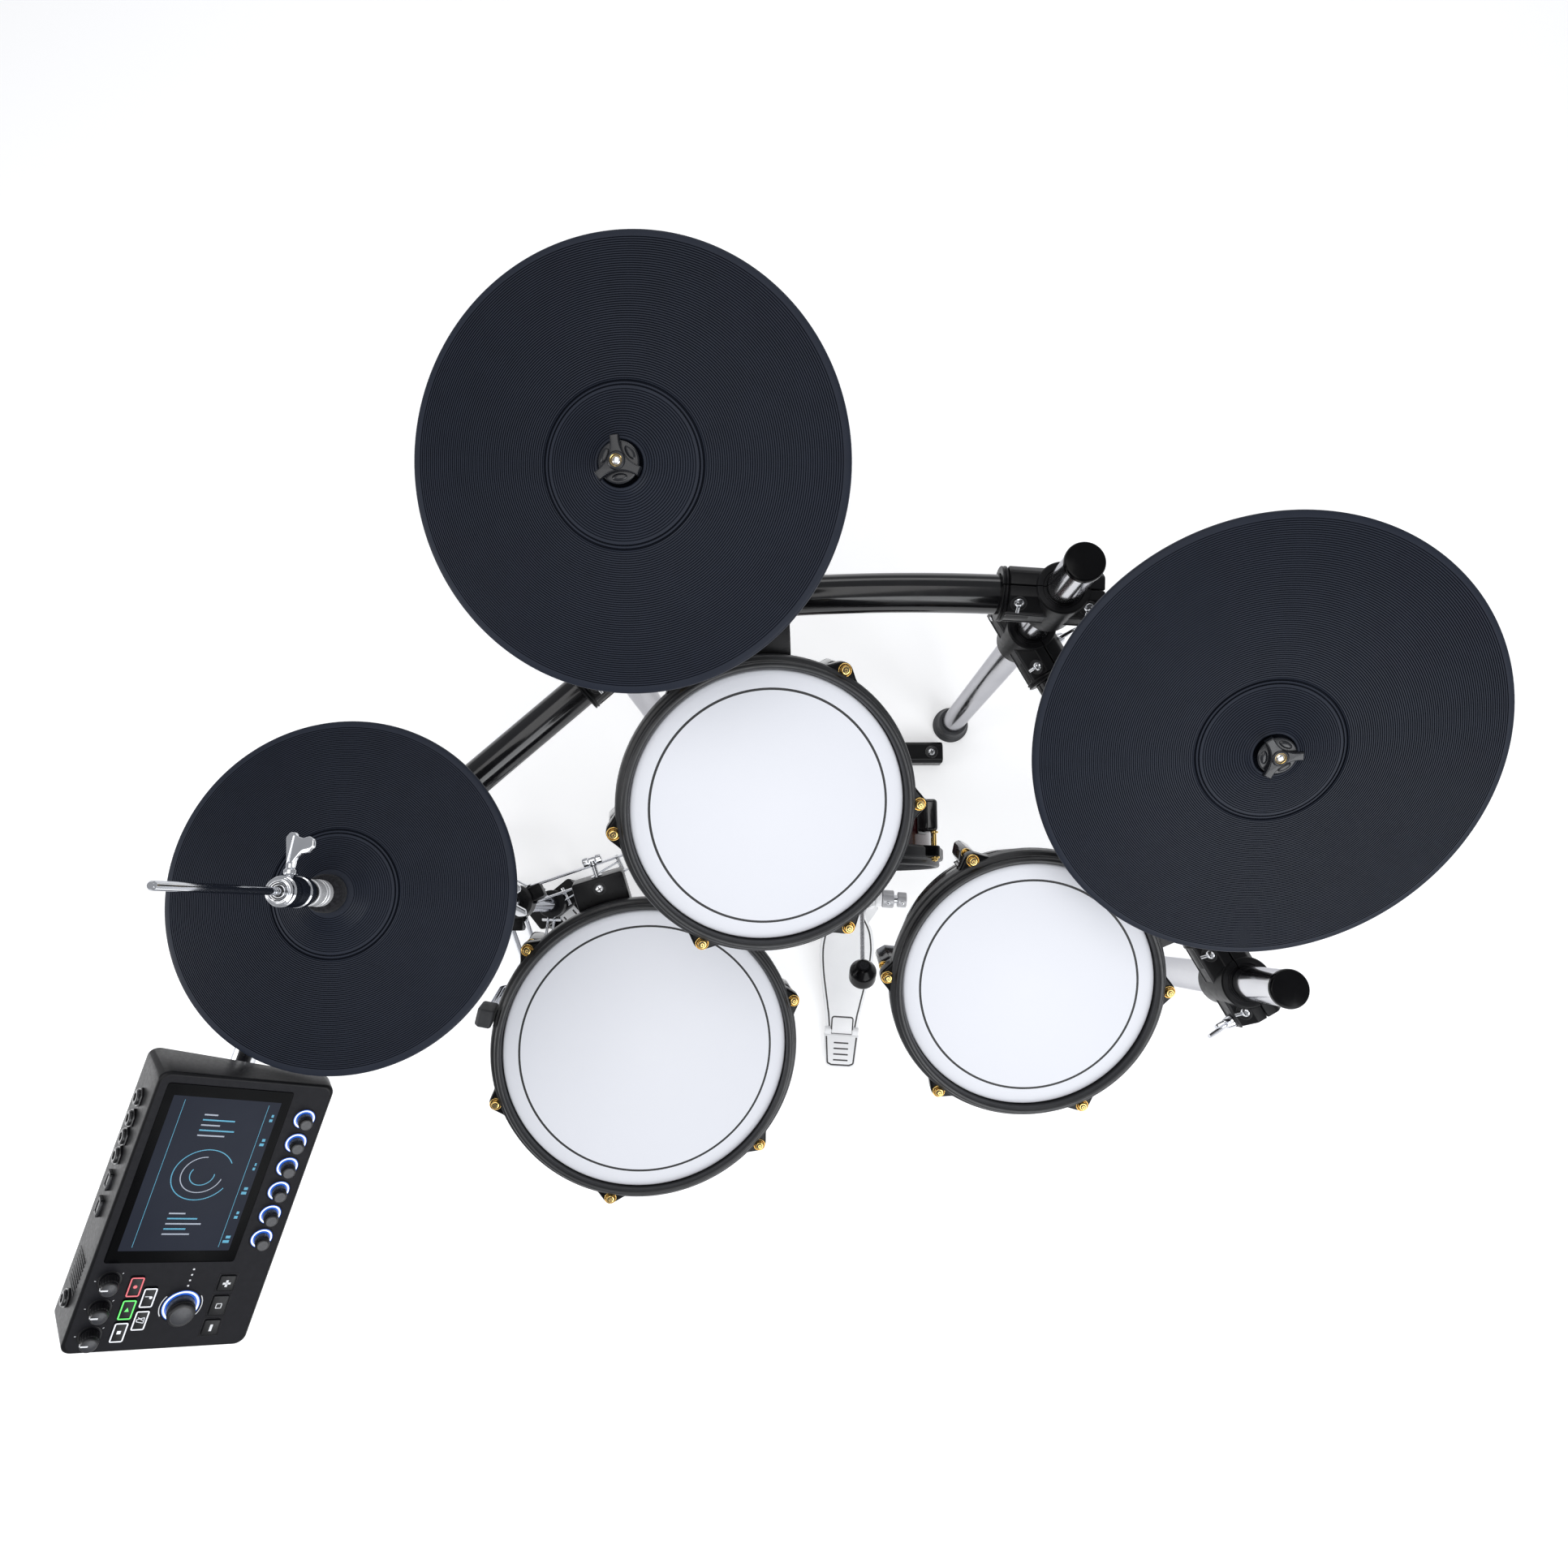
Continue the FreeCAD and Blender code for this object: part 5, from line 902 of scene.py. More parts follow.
# ------------------------------------------------------------------ hi-hat
HH = W(-391.6, 17.0, 0)
hh = tr(*HH)
pad("hihat_pad_rubber", hh @ tr(0, 0, 832), 152.5, False, 55.0, 1.65, "hihat_top", "hihat_pad")
mb = Mb()
mb.rev(rounded([(3.4, 818), (7.4, 818, 0.4), (7.8, 819), (7.8, 905), (3.4, 905)]), hh, 1, 40, closed=True)
mb.rev(rounded([(7.8, 896.6), (11.6, 896.6, 0.4), (12.6, 897.4, 0.6), (12.6, 903.4, 0.6), (11.6, 904.2, 0.4), (11.6, 906.0, 0.3), (12.2, 906.6, 0.4), (12.2, 926.6, 0.6), (11.0, 927.6, 0.5),
                (11.0, 929.8, 0.5), (9.4, 931, 0.8), (6.2, 931, 0.3), (5.6, 929.6), (3.3, 929.6), (3.3, 905), (7.8, 905)]), hh, 0, 64, closed=True)
mb.rev(rounded([(7.8, 888), (10.0, 888), (10.0, 897), (7.8, 897)]), hh, 3, 48, closed=True)
mb.rev(rounded([(7.8, 866.2), (10.8, 866.2, 0.3), (11.2, 867, 0.4), (11.2, 872.4, 0.3), (10.5, 872.8), (10.5, 873.8), (11.0, 874.2, 0.3), (11.0, 876.4, 0.3), (10.5, 876.8), (10.5, 877.8), (11.0, 878.2, 0.3),
                (11.0, 887.4, 0.5), (10.4, 888.2, 0.4), (7.8, 888.2)]), hh, 1, 64, closed=True)
mb.rev(rounded([(7.8, 852), (15.4, 852, 1.4), (16.2, 855), (16.0, 862, 2), (15.0, 866, 1.8), (7.8, 866)], n=4), hh, 2, 64, closed=True)
mb.rev(rounded([(7.8, 820), (13.4, 820, 0.6), (14, 821), (14, 828, 1), (11, 837), (7.8, 837)]), hh, 0, 40, closed=True)
for a in range(0, 360, 20):
    mb.rbox(1.6, 1.8, 7.0, (13.9, 0, 824), hh @ rotz(a), 0, 0.6, 0.3)
# black ring over the recess round the rod: painted shade of the recess
mb.rev([(3.4, 930.1), (4.6, 930.4), (7.2, 931.15)], hh, 3, 48)
mb.rev(rounded([(7.2, 931.1), (7.7, 931.6, 0.2), (8.4, 931.6, 0.2), (8.8, 931.1)]), hh, 0, 48)
mb.rev(rounded([(4.2, 930.3), (4.5, 930.9, 0.2), (5.1, 930.9, 0.2), (5.4, 930.5)]), hh, 0, 40)
make("hihat_clutch_set", mb, [CHROME, LIGHT, FELT, BLACKG], "hihat_top", repl=["hihat_clutch"])
mb = Mb()
key = axes(HH + np.array([0, 0, 915.0]), (1, 0, 0), (0, 0, -1), (0, 1, 0)) @ rotz(-24)
mb.rev(rounded([(0, 3.7), (3, 3.7), (3, 12.6), (4.6, 12.9, 0.3), (5.2, 14, 0.5), (5.2, 17, 0.8), (3.8, 18.4, 0.8), (3.8, 22, 0.5), (0, 24)]), key, 0, 32)
# blade in the plane of the stem: a narrow upright lobe, a fold, and a broad rounded lobe
blade = key @ axes(np.zeros(3), (1, 0, 0), (0, 0, 1), (0, -1, 0))
o = rounded([(-3.4, 18, 1), (3.4, 18, 1), (4.5, 24, 3), (6.5, 28, 4), (10.5, 31.4, 4), (16.5, 31.6, 5), (20.8, 37, 5), (20.6, 44, 4), (16.5, 47.4, 3), (10.5, 45.8, 4), (5.6, 47.6, 4), (3.2, 51.4, 2),
             (-1.6, 52, 3), (-5.4, 47.5, 4), (-4.4, 36, 6), (-3.6, 25, 4)], True, 6)
o = [(x * 1.2, 18 + (y - 18) * 0.84) for x, y in o]
mb.prism(o, -1.7, 1.7, blade, 0, 1.1, 4)
for z in (-1.7, 1.7):
    mb.sweep(line((-2.6, 21.5, z), (3.0, 43.6, z), 8), 0.8, blade, 0, 12)
make("hihat_screw_blade", mb, [CHROME], "hihat_screw", repl=["hihat_wing_screw"])
mb = Mb()
mb.rev(rounded([(0, 70), (3.2, 70), (3.2, 1071.5, 0.5), (2.2, 1073), (0, 1073)]), hh, 0, 28)
mb.rbox(10, 16, 4, (0, 0, 68), hh, 0, 1.5)
make("hihat_pull_rod", mb, [CHROME], "hihat_top", repl=["hihat_rod"])
mb = Mb()
mb.rev(rounded([(12, 100), (13.6, 100), (14, 100.6), (14, 469.4), (13.6, 470), (12, 470)]), hh, 0, 56, closed=True)
mb.rev(rounded([(9, 470), (11, 470), (11, 769.4), (10.6, 770), (9, 770)]), hh, 0, 56, closed=True)
mb.rev(rounded([(11.1, 470.6), (17.6, 470.6, 1), (19, 472, 1), (19, 494, 1), (17, 500, 2), (11.1, 500)]), hh, 1, 48, closed=True)
mb.rbox(16, 14, 22, (20, 0, 485), hh, 1, 3)
mb.rev(rounded([(5, 770), (15, 770, 1), (18, 772, 2), (41, 776.5, 2), (44, 779, 1.5), (44, 787, 1.5), (41, 791, 2), (30, 791), (29, 790.4), (12, 790.4), (11.4, 791), (5, 791)]), hh, 1, 72, closed=True)
make("hihat_stand_tubes", mb, [CHROME, BLACK], "kit", repl=["hihat_stand"])
wing_nut(nuts, HH + np.array([32.4, 0, 485]), (1, 0, 0), (0, 1, 1), 0)
rod_end(bolts, HH + np.array([27, 0, 485]), HH + np.array([33, 0, 485]), 3.0, 0, 20)

legs, shoes = Mb(), Mb()


def flat_bar(mb, a, b, wide, thick, side, mt):
    """A pressed strip with rounded edges between two points."""
    s = rounded([(-wide / 2, -thick / 2, thick * 0.4), (wide / 2, -thick / 2, thick * 0.4), (wide / 2, thick / 2, thick * 0.4), (-wide / 2, thick / 2, thick * 0.4)], True, 3)
    mb.sweep(line(a, b, 8), 1.0, None, mt, section=s, up=side, roll=False)


def tripod(pl, cr, hub_z, low_z, spread, az, leg_r, hub_r):
    legs.rev(rounded([(cr, hub_z - 15), (hub_r - 2, hub_z - 15, 1.5), (hub_r, hub_z - 12, 1), (hub_r, hub_z + 9, 2), (hub_r - 4, hub_z + 15, 2), (cr, hub_z + 15)]), pl, 1, 44, closed=True)
    legs.rev(rounded([(cr, low_z - 10), (hub_r - 4, low_z - 10, 1), (hub_r - 2, low_z - 8, 1), (hub_r - 2, low_z + 8, 1), (hub_r - 4, low_z + 10, 1), (cr, low_z + 10)]), pl, 1, 44, closed=True)
    for a in az:
        g = pl @ rotz(a)
        top, toe = np.array([hub_r - 3.0, 0, hub_z]), np.array([spread, 0, 15.0])
        d = unit(toe - top)
        side = np.array([0, 1.0, 0])
        for sy in (-1, 1):
            off = side * sy * hub_r * 0.5
            # double-braced leg: two strips with their pins
            flat_bar(legs, ap(g, top + d * 2 + off), ap(g, toe - d * 12 + off), 13, 2.4, g[:3, :3] @ side, 0)
        on = top + (toe - top) * 0.5
        for sy in (-1, 1):
            off = side * sy * (leg_r - 2.2)
            flat_bar(legs, ap(g, np.array([hub_r - 5.0, 0, low_z]) + off), ap(g, on + off), 10, 2.2, g[:3, :3] @ side, 0)
        for q, rr in ((top + d * 6, 3.4), (on, 3.2), (toe - d * 22, 3.2), (np.array([hub_r + 1.0, 0, low_z]), 3.0)):
            c = ap(g, q)
            s2 = g[:3, :3] @ side
            rod_end(legs, c - s2 * (hub_r * 0.5 + 3.0), c + s2 * (hub_r * 0.5 + 3.0), rr, 0, 20)
        legs.rbox(20, hub_r - 3.6, 18, (hub_r + 6, 0, hub_z - 4), g, 1, 3)
        # shoe with a moulded tread
        t = g @ tr(spread, 0, 0)
        fr = hub_r - 6
        shoes.rev(rounded([(0, 0), (fr - 0.6, 0, 1.0), (fr, 1.4), (fr, 4), (fr - 0.7, 4.6), (fr - 0.7, 6), (fr, 6.6), (fr, 10), (fr - 0.7, 10.6), (fr - 0.7, 12), (fr, 12.6), (fr, 22, 3), (fr - 4, 28, 3), (0, 28)]), t, 0, 40)
        legs.rbox(18, hub_r - 3.8, 14, (spread - fr, 0, 22), g, 1, 3)


tripod(hh, 14.0, 312.0, 118.0, 244.5, (28, 150, 270), 7.0, 24.0)


# ------------------------------------------------------------------ footboards
def footboard(name, M, length, hw, wide, tw, body, node, ear):
    """A cast board: outline, engraved double line and gaps as dark strips of painted shade, hinge barrel and toe piece.
    Y runs from the hinge to the toe.
    """
    half = [(hw / 2, 8.0), (hw / 2 + 1.5, 22), (hw / 2 + 4, 40), (wide / 2 - 8, length * 0.30), (wide / 2 - 3, length * 0.42), (wide / 2, length * 0.55), (wide / 2 - 2, length * 0.63),
            (wide / 2 - 6, length * 0.71), (tw / 2 + 6, length * 0.80), (tw / 2, length * 0.88), (tw / 2, length)]
    t = np.linspace(0, 1, len(half))
    tt = np.linspace(0, 1, 48)
    hx, hy = np.interp(tt, t, [a for a, _ in half]), np.interp(tt, t, [b for _, b in half])
    k = np.ones(5) / 5
    hx = np.concatenate([hx[:2], np.convolve(hx, k, "valid"), hx[-2:]])
    o = list(zip(hx, hy)) + [(-x, y) for x, y in zip(hx[::-1], hy[::-1])]
    mb = Mb()
    mb.prism(o, -1.0, 5.0, None, 0, 1.6, 4)
    # engraved line follows the outline, a dark strip of painted shade in the groove
    lo, hi = 6.0, length - 6.0
    ins = [(x - 5.6, y) for x, y in zip(hx, hy) if lo < y < hi]
    sec_ = [(-1.35, -0.10), (1.35, -0.10), (1.35, 0.05), (-1.35, 0.05)]
    for sx in (1, -1):
        pts = np.array([(sx * x, y, 5.0) for x, y in ins])
        mb.sweep(pts, 1.0, None, 1, section=sec_, up=(0, 0, 1), roll=False)
    # gap round the heel tongue, a dark strip of painted shade
    path = arc_path([(-17.5, 2, 5.0), (-17.5, 25, 5.0), (17.5, 25, 5.0), (17.5, 2, 5.0)], 4.0, 6)
    mb.sweep(path, 1.0, None, 1, section=[(-1.3, -0.1), (1.3, -0.1), (1.3, 0.06), (-1.3, 0.06)], up=(0, 0, 1), roll=False)
    for sx in (1, -1):
        mb.sweep(np.array([(sx * 17.5, 1.6, 5.0), (sx * (hw / 2 - 0.5), 1.6, 5.0)]), 1.0, None, 1, section=[(-1.0, -0.1), (1.0, -0.1), (1.0, 0.06), (-1.0, 0.06)], up=(0, 0, 1), roll=False)
    # tongue plate and hinge barrel
    mb.rbox(33, 24, 1.0, (0, 11.5, 5.0), None, 0, 2.5, 0.4)
    b = axes(np.array([-17.0, 0, 0]), (0, 1, 0), (0, 0, 1), (1, 0, 0))
    mb.rev(rounded([(0, 0), (4.6, 0), (5.5, 0.9), (5.5, 33.1), (4.6, 34), (0, 34)]), b, 0, 32)
    for x in (-11.5, 11.5):
        mb.rbox(11, 15, 5.4, (x, 6.5, 1.2), None, 0, 1.6)
    if ear:
        mb.rbox(8, 12, 14, (-6, length - 6, 11), None, 0, 2.5)
    return make(name, mb, [SILVER, GROOVE_SHADE], body, M, [node])


hp = hh @ rotz(40)
fb = hp @ tr(0, -226, 15) @ rotx(11.0)
footboard("hihat_board_casting", fb, 222.0, 50.0, 78.0, 30.0, "hihat_footboard", "hihat_footboard", False)
mb = Mb()
o = rounded([(-26, -300, 6), (26, -300, 6), (30, -250, 10), (30, -40, 8), (44, -24, 5), (44, 24, 5), (-44, 24, 5), (-44, -24, 5), (-30, -40, 8), (-30, -250, 10)], True, 5)
mb.prism(o, 0, 6, hp, 0, 1.4)
for x in (-40.5, 40.5):
    o = rounded([(-20, 6, 1), (20, 6, 1), (16, 60, 12), (16, 96, 6), (-16, 96, 6), (-16, 60, 12)], True, 5)
    mb.prism(o, -3.5, 3.5, hp @ axes(np.array([x, 0, 0]), (0, 1, 0), (0, 0, 1), (1, 0, 0)), 0, 1.2)
b = rounded([(-44, -20, 6), (44, -20, 6), (44, 20, 6), (-44, 20, 6)], True, 5)
mb.prism(b, 84, 100, hp, 0, 2.4)
mb.prism(rounded([(-29, -300, 5), (29, -300, 5), (30, -236, 3), (-30, -236, 3)], True, 5), 6, 15, hp, 1, 2.0)
# four slots on the heel plate: dark strips of painted shade
for x in (-15, -5, 5, 15):
    mb.rbox(3.0, 34, 0.6, (x, -270, 15.0), hp, 2, 1.4, 0.2)
for x in (-23.5, 23.5):
    mb.rev(rounded([(0, 0), (5.2, 0), (6, 0.8), (6, 10.2), (5.2, 11), (0, 11)]), hp @ axes(np.array([x - 5.5, -226, 14.0]), (0, 1, 0), (0, 0, 1), (1, 0, 0)), 1, 28)
    mb.rbox(11, 12, 9, (x, -227, 9.5), hp, 1, 1.5)
make("hihat_pedal_casting", mb, [SATIN, SILVER, DARK_PRINT_AND_SHADE], "kit", repl=["hihat_pedal_frame"])

# ------------------------------------------------------------------ snare stand
hubz = -118.0
sn = snare_f
knee = ap(sn, (0, 0, hubz - 36))
mb = Mb()
mb.rev(rounded([(0, hubz - 16), (18, hubz - 16, 2), (20, hubz - 13, 1), (20, hubz - 2, 1), (18, hubz, 1), (0, hubz)]), sn, 1, 44)
rod_end(mb, knee, ap(sn, (0, 0, hubz - 15)), 9.0, 0, 32)
mb.rev([(16 * math.sin(t), -16 * math.cos(t)) for t in np.linspace(0, math.pi, 25)], tr(*knee), 1, 44)
for a in (166, 286, 46):
    g = sn @ rotz(a)
    outside = a == 166
    reach = SNARE_R + 16.5 + 5 if outside else SNARE_R + 7
    path = arc_path([(10, 0, hubz + 3), (reach + 3, 0, hubz + 3), (reach + 3, 0, 2 if outside else -26)], 16, 10)
    s = rounded([(-7, -3, 1.2), (7, -3, 1.2), (7, 3, 1.2), (-7, 3, 1.2)], True, 3)
    mb.sweep(path, 1.0, g, 0, section=s, up=(0, 0, 1))
    if outside:
        o = rounded([(reach - 4, -28, 2), (reach + 13, -28, 4), (reach + 14, 0, 4), (reach + 10, 6, 3), (reach - 2.5, 6, 2.5), (reach - 4, 2, 1)], True, 5)
    else:
        o = rounded([(reach - 4, -56, 2), (reach + 9, -56, 3), (reach + 9, -26, 3), (reach + 6, -22, 2), (reach - 2.5, -22, 2), (reach - 4, -25, 1)], True, 5)
    shoes.prism(o, -10, 10, g @ axes(np.zeros(3), (1, 0, 0), (0, 0, 1), (0, -1, 0)), 0, 2.4)
make("snare_basket_arms", mb, [CHROME, BLACK], "kit", repl=["snare_basket"])
st = tr(knee[0], knee[1], 0)
legs.rev(rounded([(10.2, 52), (11.6, 52), (12, 52.6), (12, knee[2] - 13), (10.2, knee[2] - 13)]), st, 0, 48, closed=True)
legs.rev(rounded([(12, knee[2] - 40), (15, knee[2] - 40, 1), (16, knee[2] - 38), (16, knee[2] - 14, 1.5), (12, knee[2] - 12)]), st, 1, 44, closed=True)
tripod(st, 12.0, 222.0, 76.0, 185.0, (80, 200, 320), 6.0, 21.0)
make("stand_leg_set", legs, [CHROME, BLACK], "kit", repl=["stand_legs"])
for k in POST:
    shoes.rev(rounded([(0, 0), (30, 0, 1), (31, 1.4, 0.6), (31, 6, 1), (29.4, 9), (28.6, 11), (28.9, 12.2), (27.4, 15.6), (26.6, 17.4), (26.9, 18.6), (25.6, 23), (25.2, 25), (25.4, 26), (24.4, 33, 1),
                       (23.6, 36, 1), (19.3, 36), (19.3, 20), (0, 20)]), tr(*post_at(k, 0)), 0, 64)
make("rubber_shoes", shoes, [FOOT], "kit", repl=["rubber_feet"])

# ------------------------------------------------------------------ kick tower
mb = Mb()
yb = 281.0
o = rounded([(-18.5, 0, 2), (18.5, 0, 2), (18.5, 30, 5), (13, 36, 5), (-13, 36, 5), (-18.5, 30, 5)], True, 5)
mb.prism(o, -156, 156, axes(W(104.0, yb, 0), (0, 1, 0), (0, 0, 1), (1, 0, 0)), 0, 3.0)
mb.rbox(56, 218, 20, tuple(W(104.0, 153, 10)), None, 0, 4)
uy = KICK[1] + 80.2 + 12.5
mb.rbox(50, 25, 395, tuple(W(KICK[0], uy, 20 + 197.5)), None, 0, 5, 3)
mb.rbox(56, 31, 12, tuple(W(KICK[0], uy, 414)), None, 1, 6, 2)
mb.rbox(72, 8, 60, tuple(W(KICK[0], KICK[1] + 83, 315)), None, 1, 6, 2)
o = rounded([(0, 0, 1), (58, 0, 2), (52, 10, 4), (6, 112, 4), (0, 120, 2)], True, 5)
mb.prism(o, -4, 4, axes(W(KICK[0], uy + 12.5, 20), (0, 1, 0), (0, 0, 1), (1, 0, 0)), 0, 1.4)
for x in (-136, 136):
    c = W(104.0 + x, yb, 36)
    mb.rev(rounded([(0, 0.2), (9, 0.2), (9.4, 1.0, 0.3), (11, 1.0, 0.4), (11.2, 0)]), tr(*c), 1, 36)
    screw_head(bolts, tr(*(c + np.array([0, 0, 0.2]))), 6.0, 3.2, 0, 1)
make("kick_tower_frame", mb, [SATIN, BLACKG], "kit", repl=["kick_tower"])

# ------------------------------------------------------------------ kick pedal
kp = tr(*W(94.0, 28.0, 0)) @ rotz(-3.3)
ZS = 150.0
mb = Mb()
o = rounded([(-24, -279, 4), (24, -279, 4), (26, -60, 20), (54, -16, 6), (54, 14, 4), (-54, 14, 4), (-54, -16, 6), (-26, -60, 20)], True, 5)
mb.prism(o, 0, 5, kp, 0, 1.2)
heel = rounded([(-20, -283, 5), (0, -284.5, 30), (20, -283, 5), (24.5, -279, 5), (29.5, -229, 1.5), (-29.5, -229, 1.5), (-24.5, -279, 5)], True, 5)
mb.prism(heel, 5, 15, kp, 1, 1.8)
# engraved line along the edge of the heel plate and four slots across it, dark strips of painted shade
path = arc_path([(-25.4, -233, 15.0), (-21.6, -276.5, 15.0), (-15, -279.4, 15.0), (15, -279.4, 15.0), (21.6, -276.5, 15.0), (25.4, -233, 15.0)], 3.5, 6)
mb.sweep(path, 1.0, kp, 2, section=[(-1.3, -0.10), (1.3, -0.10), (1.3, 0.05), (-1.3, 0.05)], up=(0, 0, 1), roll=False)
for i in range(4):
    mb.rbox(25, 2.5, 0.14, (0, -243.2 - i * 9.4, 15.0), kp, 2, 1.2, 0.03)
for x in (-23.0, 23.0):
    mb.rev(rounded([(0, 0), (5.2, 0), (6, 0.8), (6, 10.2), (5.2, 11), (0, 11)]), kp @ axes(np.array([x - 5.5, -222, 14.0]), (0, 1, 0), (0, 0, 1), (1, 0, 0)), 1, 28)
    mb.rbox(11, 12, 10, (x, -226, 9.5), kp, 1, 1.5)
for x in (-42, 40):
    o = rounded([(-15, 4, 1), (15, 4, 1), (12, 60, 20), (11, ZS + 14, 9), (-11, ZS + 14, 9), (-12, 60, 20)], True, 6)
    mb.prism(o, -4, 4, kp @ axes(np.array([x, 0, 0]), (0, 1, 0), (0, 0, 1), (1, 0, 0)), 1, 1.4)
    mb.rev(rounded([(7.2, -5), (12, -5, 0.8), (13, -4), (13, 4), (12, 5, 0.8), (7.2, 5)]), kp @ axes(np.array([x, 0, ZS]), (0, 1, 0), (0, 0, 1), (1, 0, 0)), 1, 40, closed=True)
mb.rbox(18, 36, 10, (-29, 24, 5), kp, 0, 3)
make("kick_pedal_casting", mb, [SILVER, SILVER, GROOVE_SHADE], "kit", repl=["kick_pedal_frame"])

BACK = math.radians(51.7)
mb = Mb()
xa = kp @ axes(np.array([0, 0, ZS]), (0, 1, 0), (0, 0, 1), (1, 0, 0))
mb.rev(rounded([(0, -46), (6.2, -46), (7, -45.2), (7, 83.2), (6.2, 84), (0, 84)]), xa, 0, 36)
mb.rev(rounded([(7, 46), (13, 46, 1), (14, 47.2), (14, 62.8), (13, 64, 1), (7, 64)]), xa, 1, 44)
mb.rev(rounded([(7, 70), (11, 70, 1), (12, 71.2), (12, 82.8), (11, 84, 1), (0, 84)]), xa, 1, 44)
for z, r in ((55, 14), (77, 12)):
    t = xa @ axes(np.array([-r * math.sin(0.5), r * math.cos(0.5), z]), (0, 0, 1), (math.cos(0.5), math.sin(0.5), 0), (-math.sin(0.5), math.cos(0.5), 0))
    screw_head(mb, t, 3.2, 1.6, 0, 2)
mb.rev(rounded([(7, 6), (12, 6, 1), (13, 7.2), (13, 20.8), (12, 22, 1), (7, 22)]), xa, 1, 40)
bd = np.array([0, -math.sin(BACK), math.cos(BACK)])
fw = np.array([0, math.cos(BACK), math.sin(BACK)])
c0 = np.array([14.0, 0, ZS])
tip = c0 + bd * 145
mb.rev(rounded([(3.3, 8), (7.5, 8), (7.5, 24, 1), (6, 27, 1), (3.3, 27)]), kp @ frm(c0, bd), 1, 32)
rod_end(mb, ap(kp, c0 + bd * 6), ap(kp, tip), 3.3, 3, 28)
mb.rev(rounded([(0, 0), (10, 0, 7), (20, 12, 10), (20, 32, 10), (10, 44, 7), (0, 44)], n=7), kp @ frm(tip - fw * 22, fw), 4, 56)
mb.rev(rounded([(0, 0.3), (5.6, 0.3), (6.2, 0.2), (6.6, -0.2)]), kp @ frm(tip + fw * 22.02, fw), 5, 48)
up28 = np.array([0, math.cos(math.radians(28)), math.sin(math.radians(28))])
g = kp @ axes(np.array([-10.0, 0, ZS]), up28, np.cross((1, 0, 0), up28), (1, 0, 0))
mb.prism(rounded([(-12, -10, 6), (4, -12, 8), (50, -7, 5), (52, 0), (50, 7, 5), (4, 12, 8), (-12, 10, 6)], True, 6), 0, 8, g, 1, 1.2)
rod_end(mb, ap(kp, np.array([-10.4, 0, ZS]) + up28 * 44), ap(kp, np.array([4.0, 0, ZS]) + up28 * 44), 3.0, 0, 24)
g = kp @ axes(np.array([-32.0, 0, ZS]), up28, np.cross((1, 0, 0), up28), (1, 0, 0))
mb.prism(rounded([(-10, -9, 5), (8, -9, 6), (40, -5, 4), (40, 5, 4), (8, 9, 6), (-10, 9, 5)], True, 6), 0, 6, g, 1, 1.2)
make("kick_beater_set", mb, [STEEL, GREY, DARK_PRINT_AND_SHADE, STICK, CAPB, FELT], "kick_beater", repl=["kick_beater"])

KL = 252.0
fb = kp @ tr(0, -222, 14) @ rotx(15.0)
footboard("kick_board_casting", fb, KL, 54.0, 92.0, 40.0, "kick_footboard", "kick_footboard", True)
toe = ap(np.linalg.inv(kp), ap(fb, (0, KL - 6, 12)))
top = np.array([0, 0, ZS]) + up28 * 44
v = np.array([0, top[1] - toe[1], top[2] - toe[2]])
ll = np.linalg.norm(v)
v = v / ll
g = kp @ axes(np.array([-15.5, toe[1], toe[2]]), v, np.cross((1, 0, 0), v), (1, 0, 0))
mb = Mb()
mb.prism(rounded([(-5, -3.5, 2.5), (-3, -5.5, 2.5), (10, -5, 8), (ll - 20, -4.6, 8), (ll - 8, -5.5, 3), (ll - 8, 5.5, 3), (ll - 20, 4.6, 8), (10, 5, 8), (-3, 5.5, 2.5), (-5, 3.5, 2.5)], True, 4), 0, 4.5, g, 0, 0.9)
mb.rev(rounded([(0, -1.6), (3.4, -1.6, 0.6), (3.8, 0), (0, 0)]), g, 0, 24)
make("kick_link_bar", mb, [STEEL], "kick_link", repl=["kick_link"])
mb = Mb()
turns, zl, zh = 16, 11.5, ZS + 3.0
tt = np.linspace(0, 1, turns * 28)
ease = np.clip((tt - 0.06) / 0.88, 0, 1)
coil = np.stack([6.8 * np.cos(tt * turns * 2 * math.pi), 6.8 * np.sin(tt * turns * 2 * math.pi), zl + (zh - zl) * (0.02 * tt + 0.98 * ease)], 1)
sp = kp @ tr(-29, 31, 0)
mb.sweep(coil, 1.15, sp, 0, 10)
ob = make("kick_return_coil", mb, [STEEL], "kit", repl=["kick_spring"])
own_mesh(ob)

make("clamp_castings", clamps, [SATIN, DARK_PRINT_AND_SHADE, PLATE], "kit", repl=["rack_clamps"])
make("bolt_set", bolts, [STEEL, DARK_PRINT_AND_SHADE], "kit", repl=["clamp_bolts"])
make("wing_nut_set", nuts, [CHROME], "kit", repl=["wing_nuts"])

# ------------------------------------------------------------------ module
CASE = mat("module_satin", (0.0045, 0.0045, 0.0056), 0.0, 0.34, 0.05, 0.15, 120, bump=0.06, bscale=2600, spec=0.20)
FACE = mat("module_face", (0.0088, 0.0088, 0.0115), 0.0, 0.42, 0.04, 0.10, 120, bump=0.06, bscale=2600, spec=0.10)
GLASS = mat("screen_cover", (0.0010, 0.0011, 0.0015), 0.0, 0.22, 0.03, 0.3, 30, spec=0.04)
SCREEN = mat("screen_panel", (0.004, 0.005, 0.007), 0.0, 0.35, 0.03, 0.35, 18, glow=(0.017, 0.020, 0.032), glow_power=1.0, spec=0.06)
CYAN = mat("screen_line", (0.01, 0.09, 0.16), 0.0, 0.3, 0.05, 0.15, 60, glow=(0.03, 0.42, 0.62), glow_power=0.55)
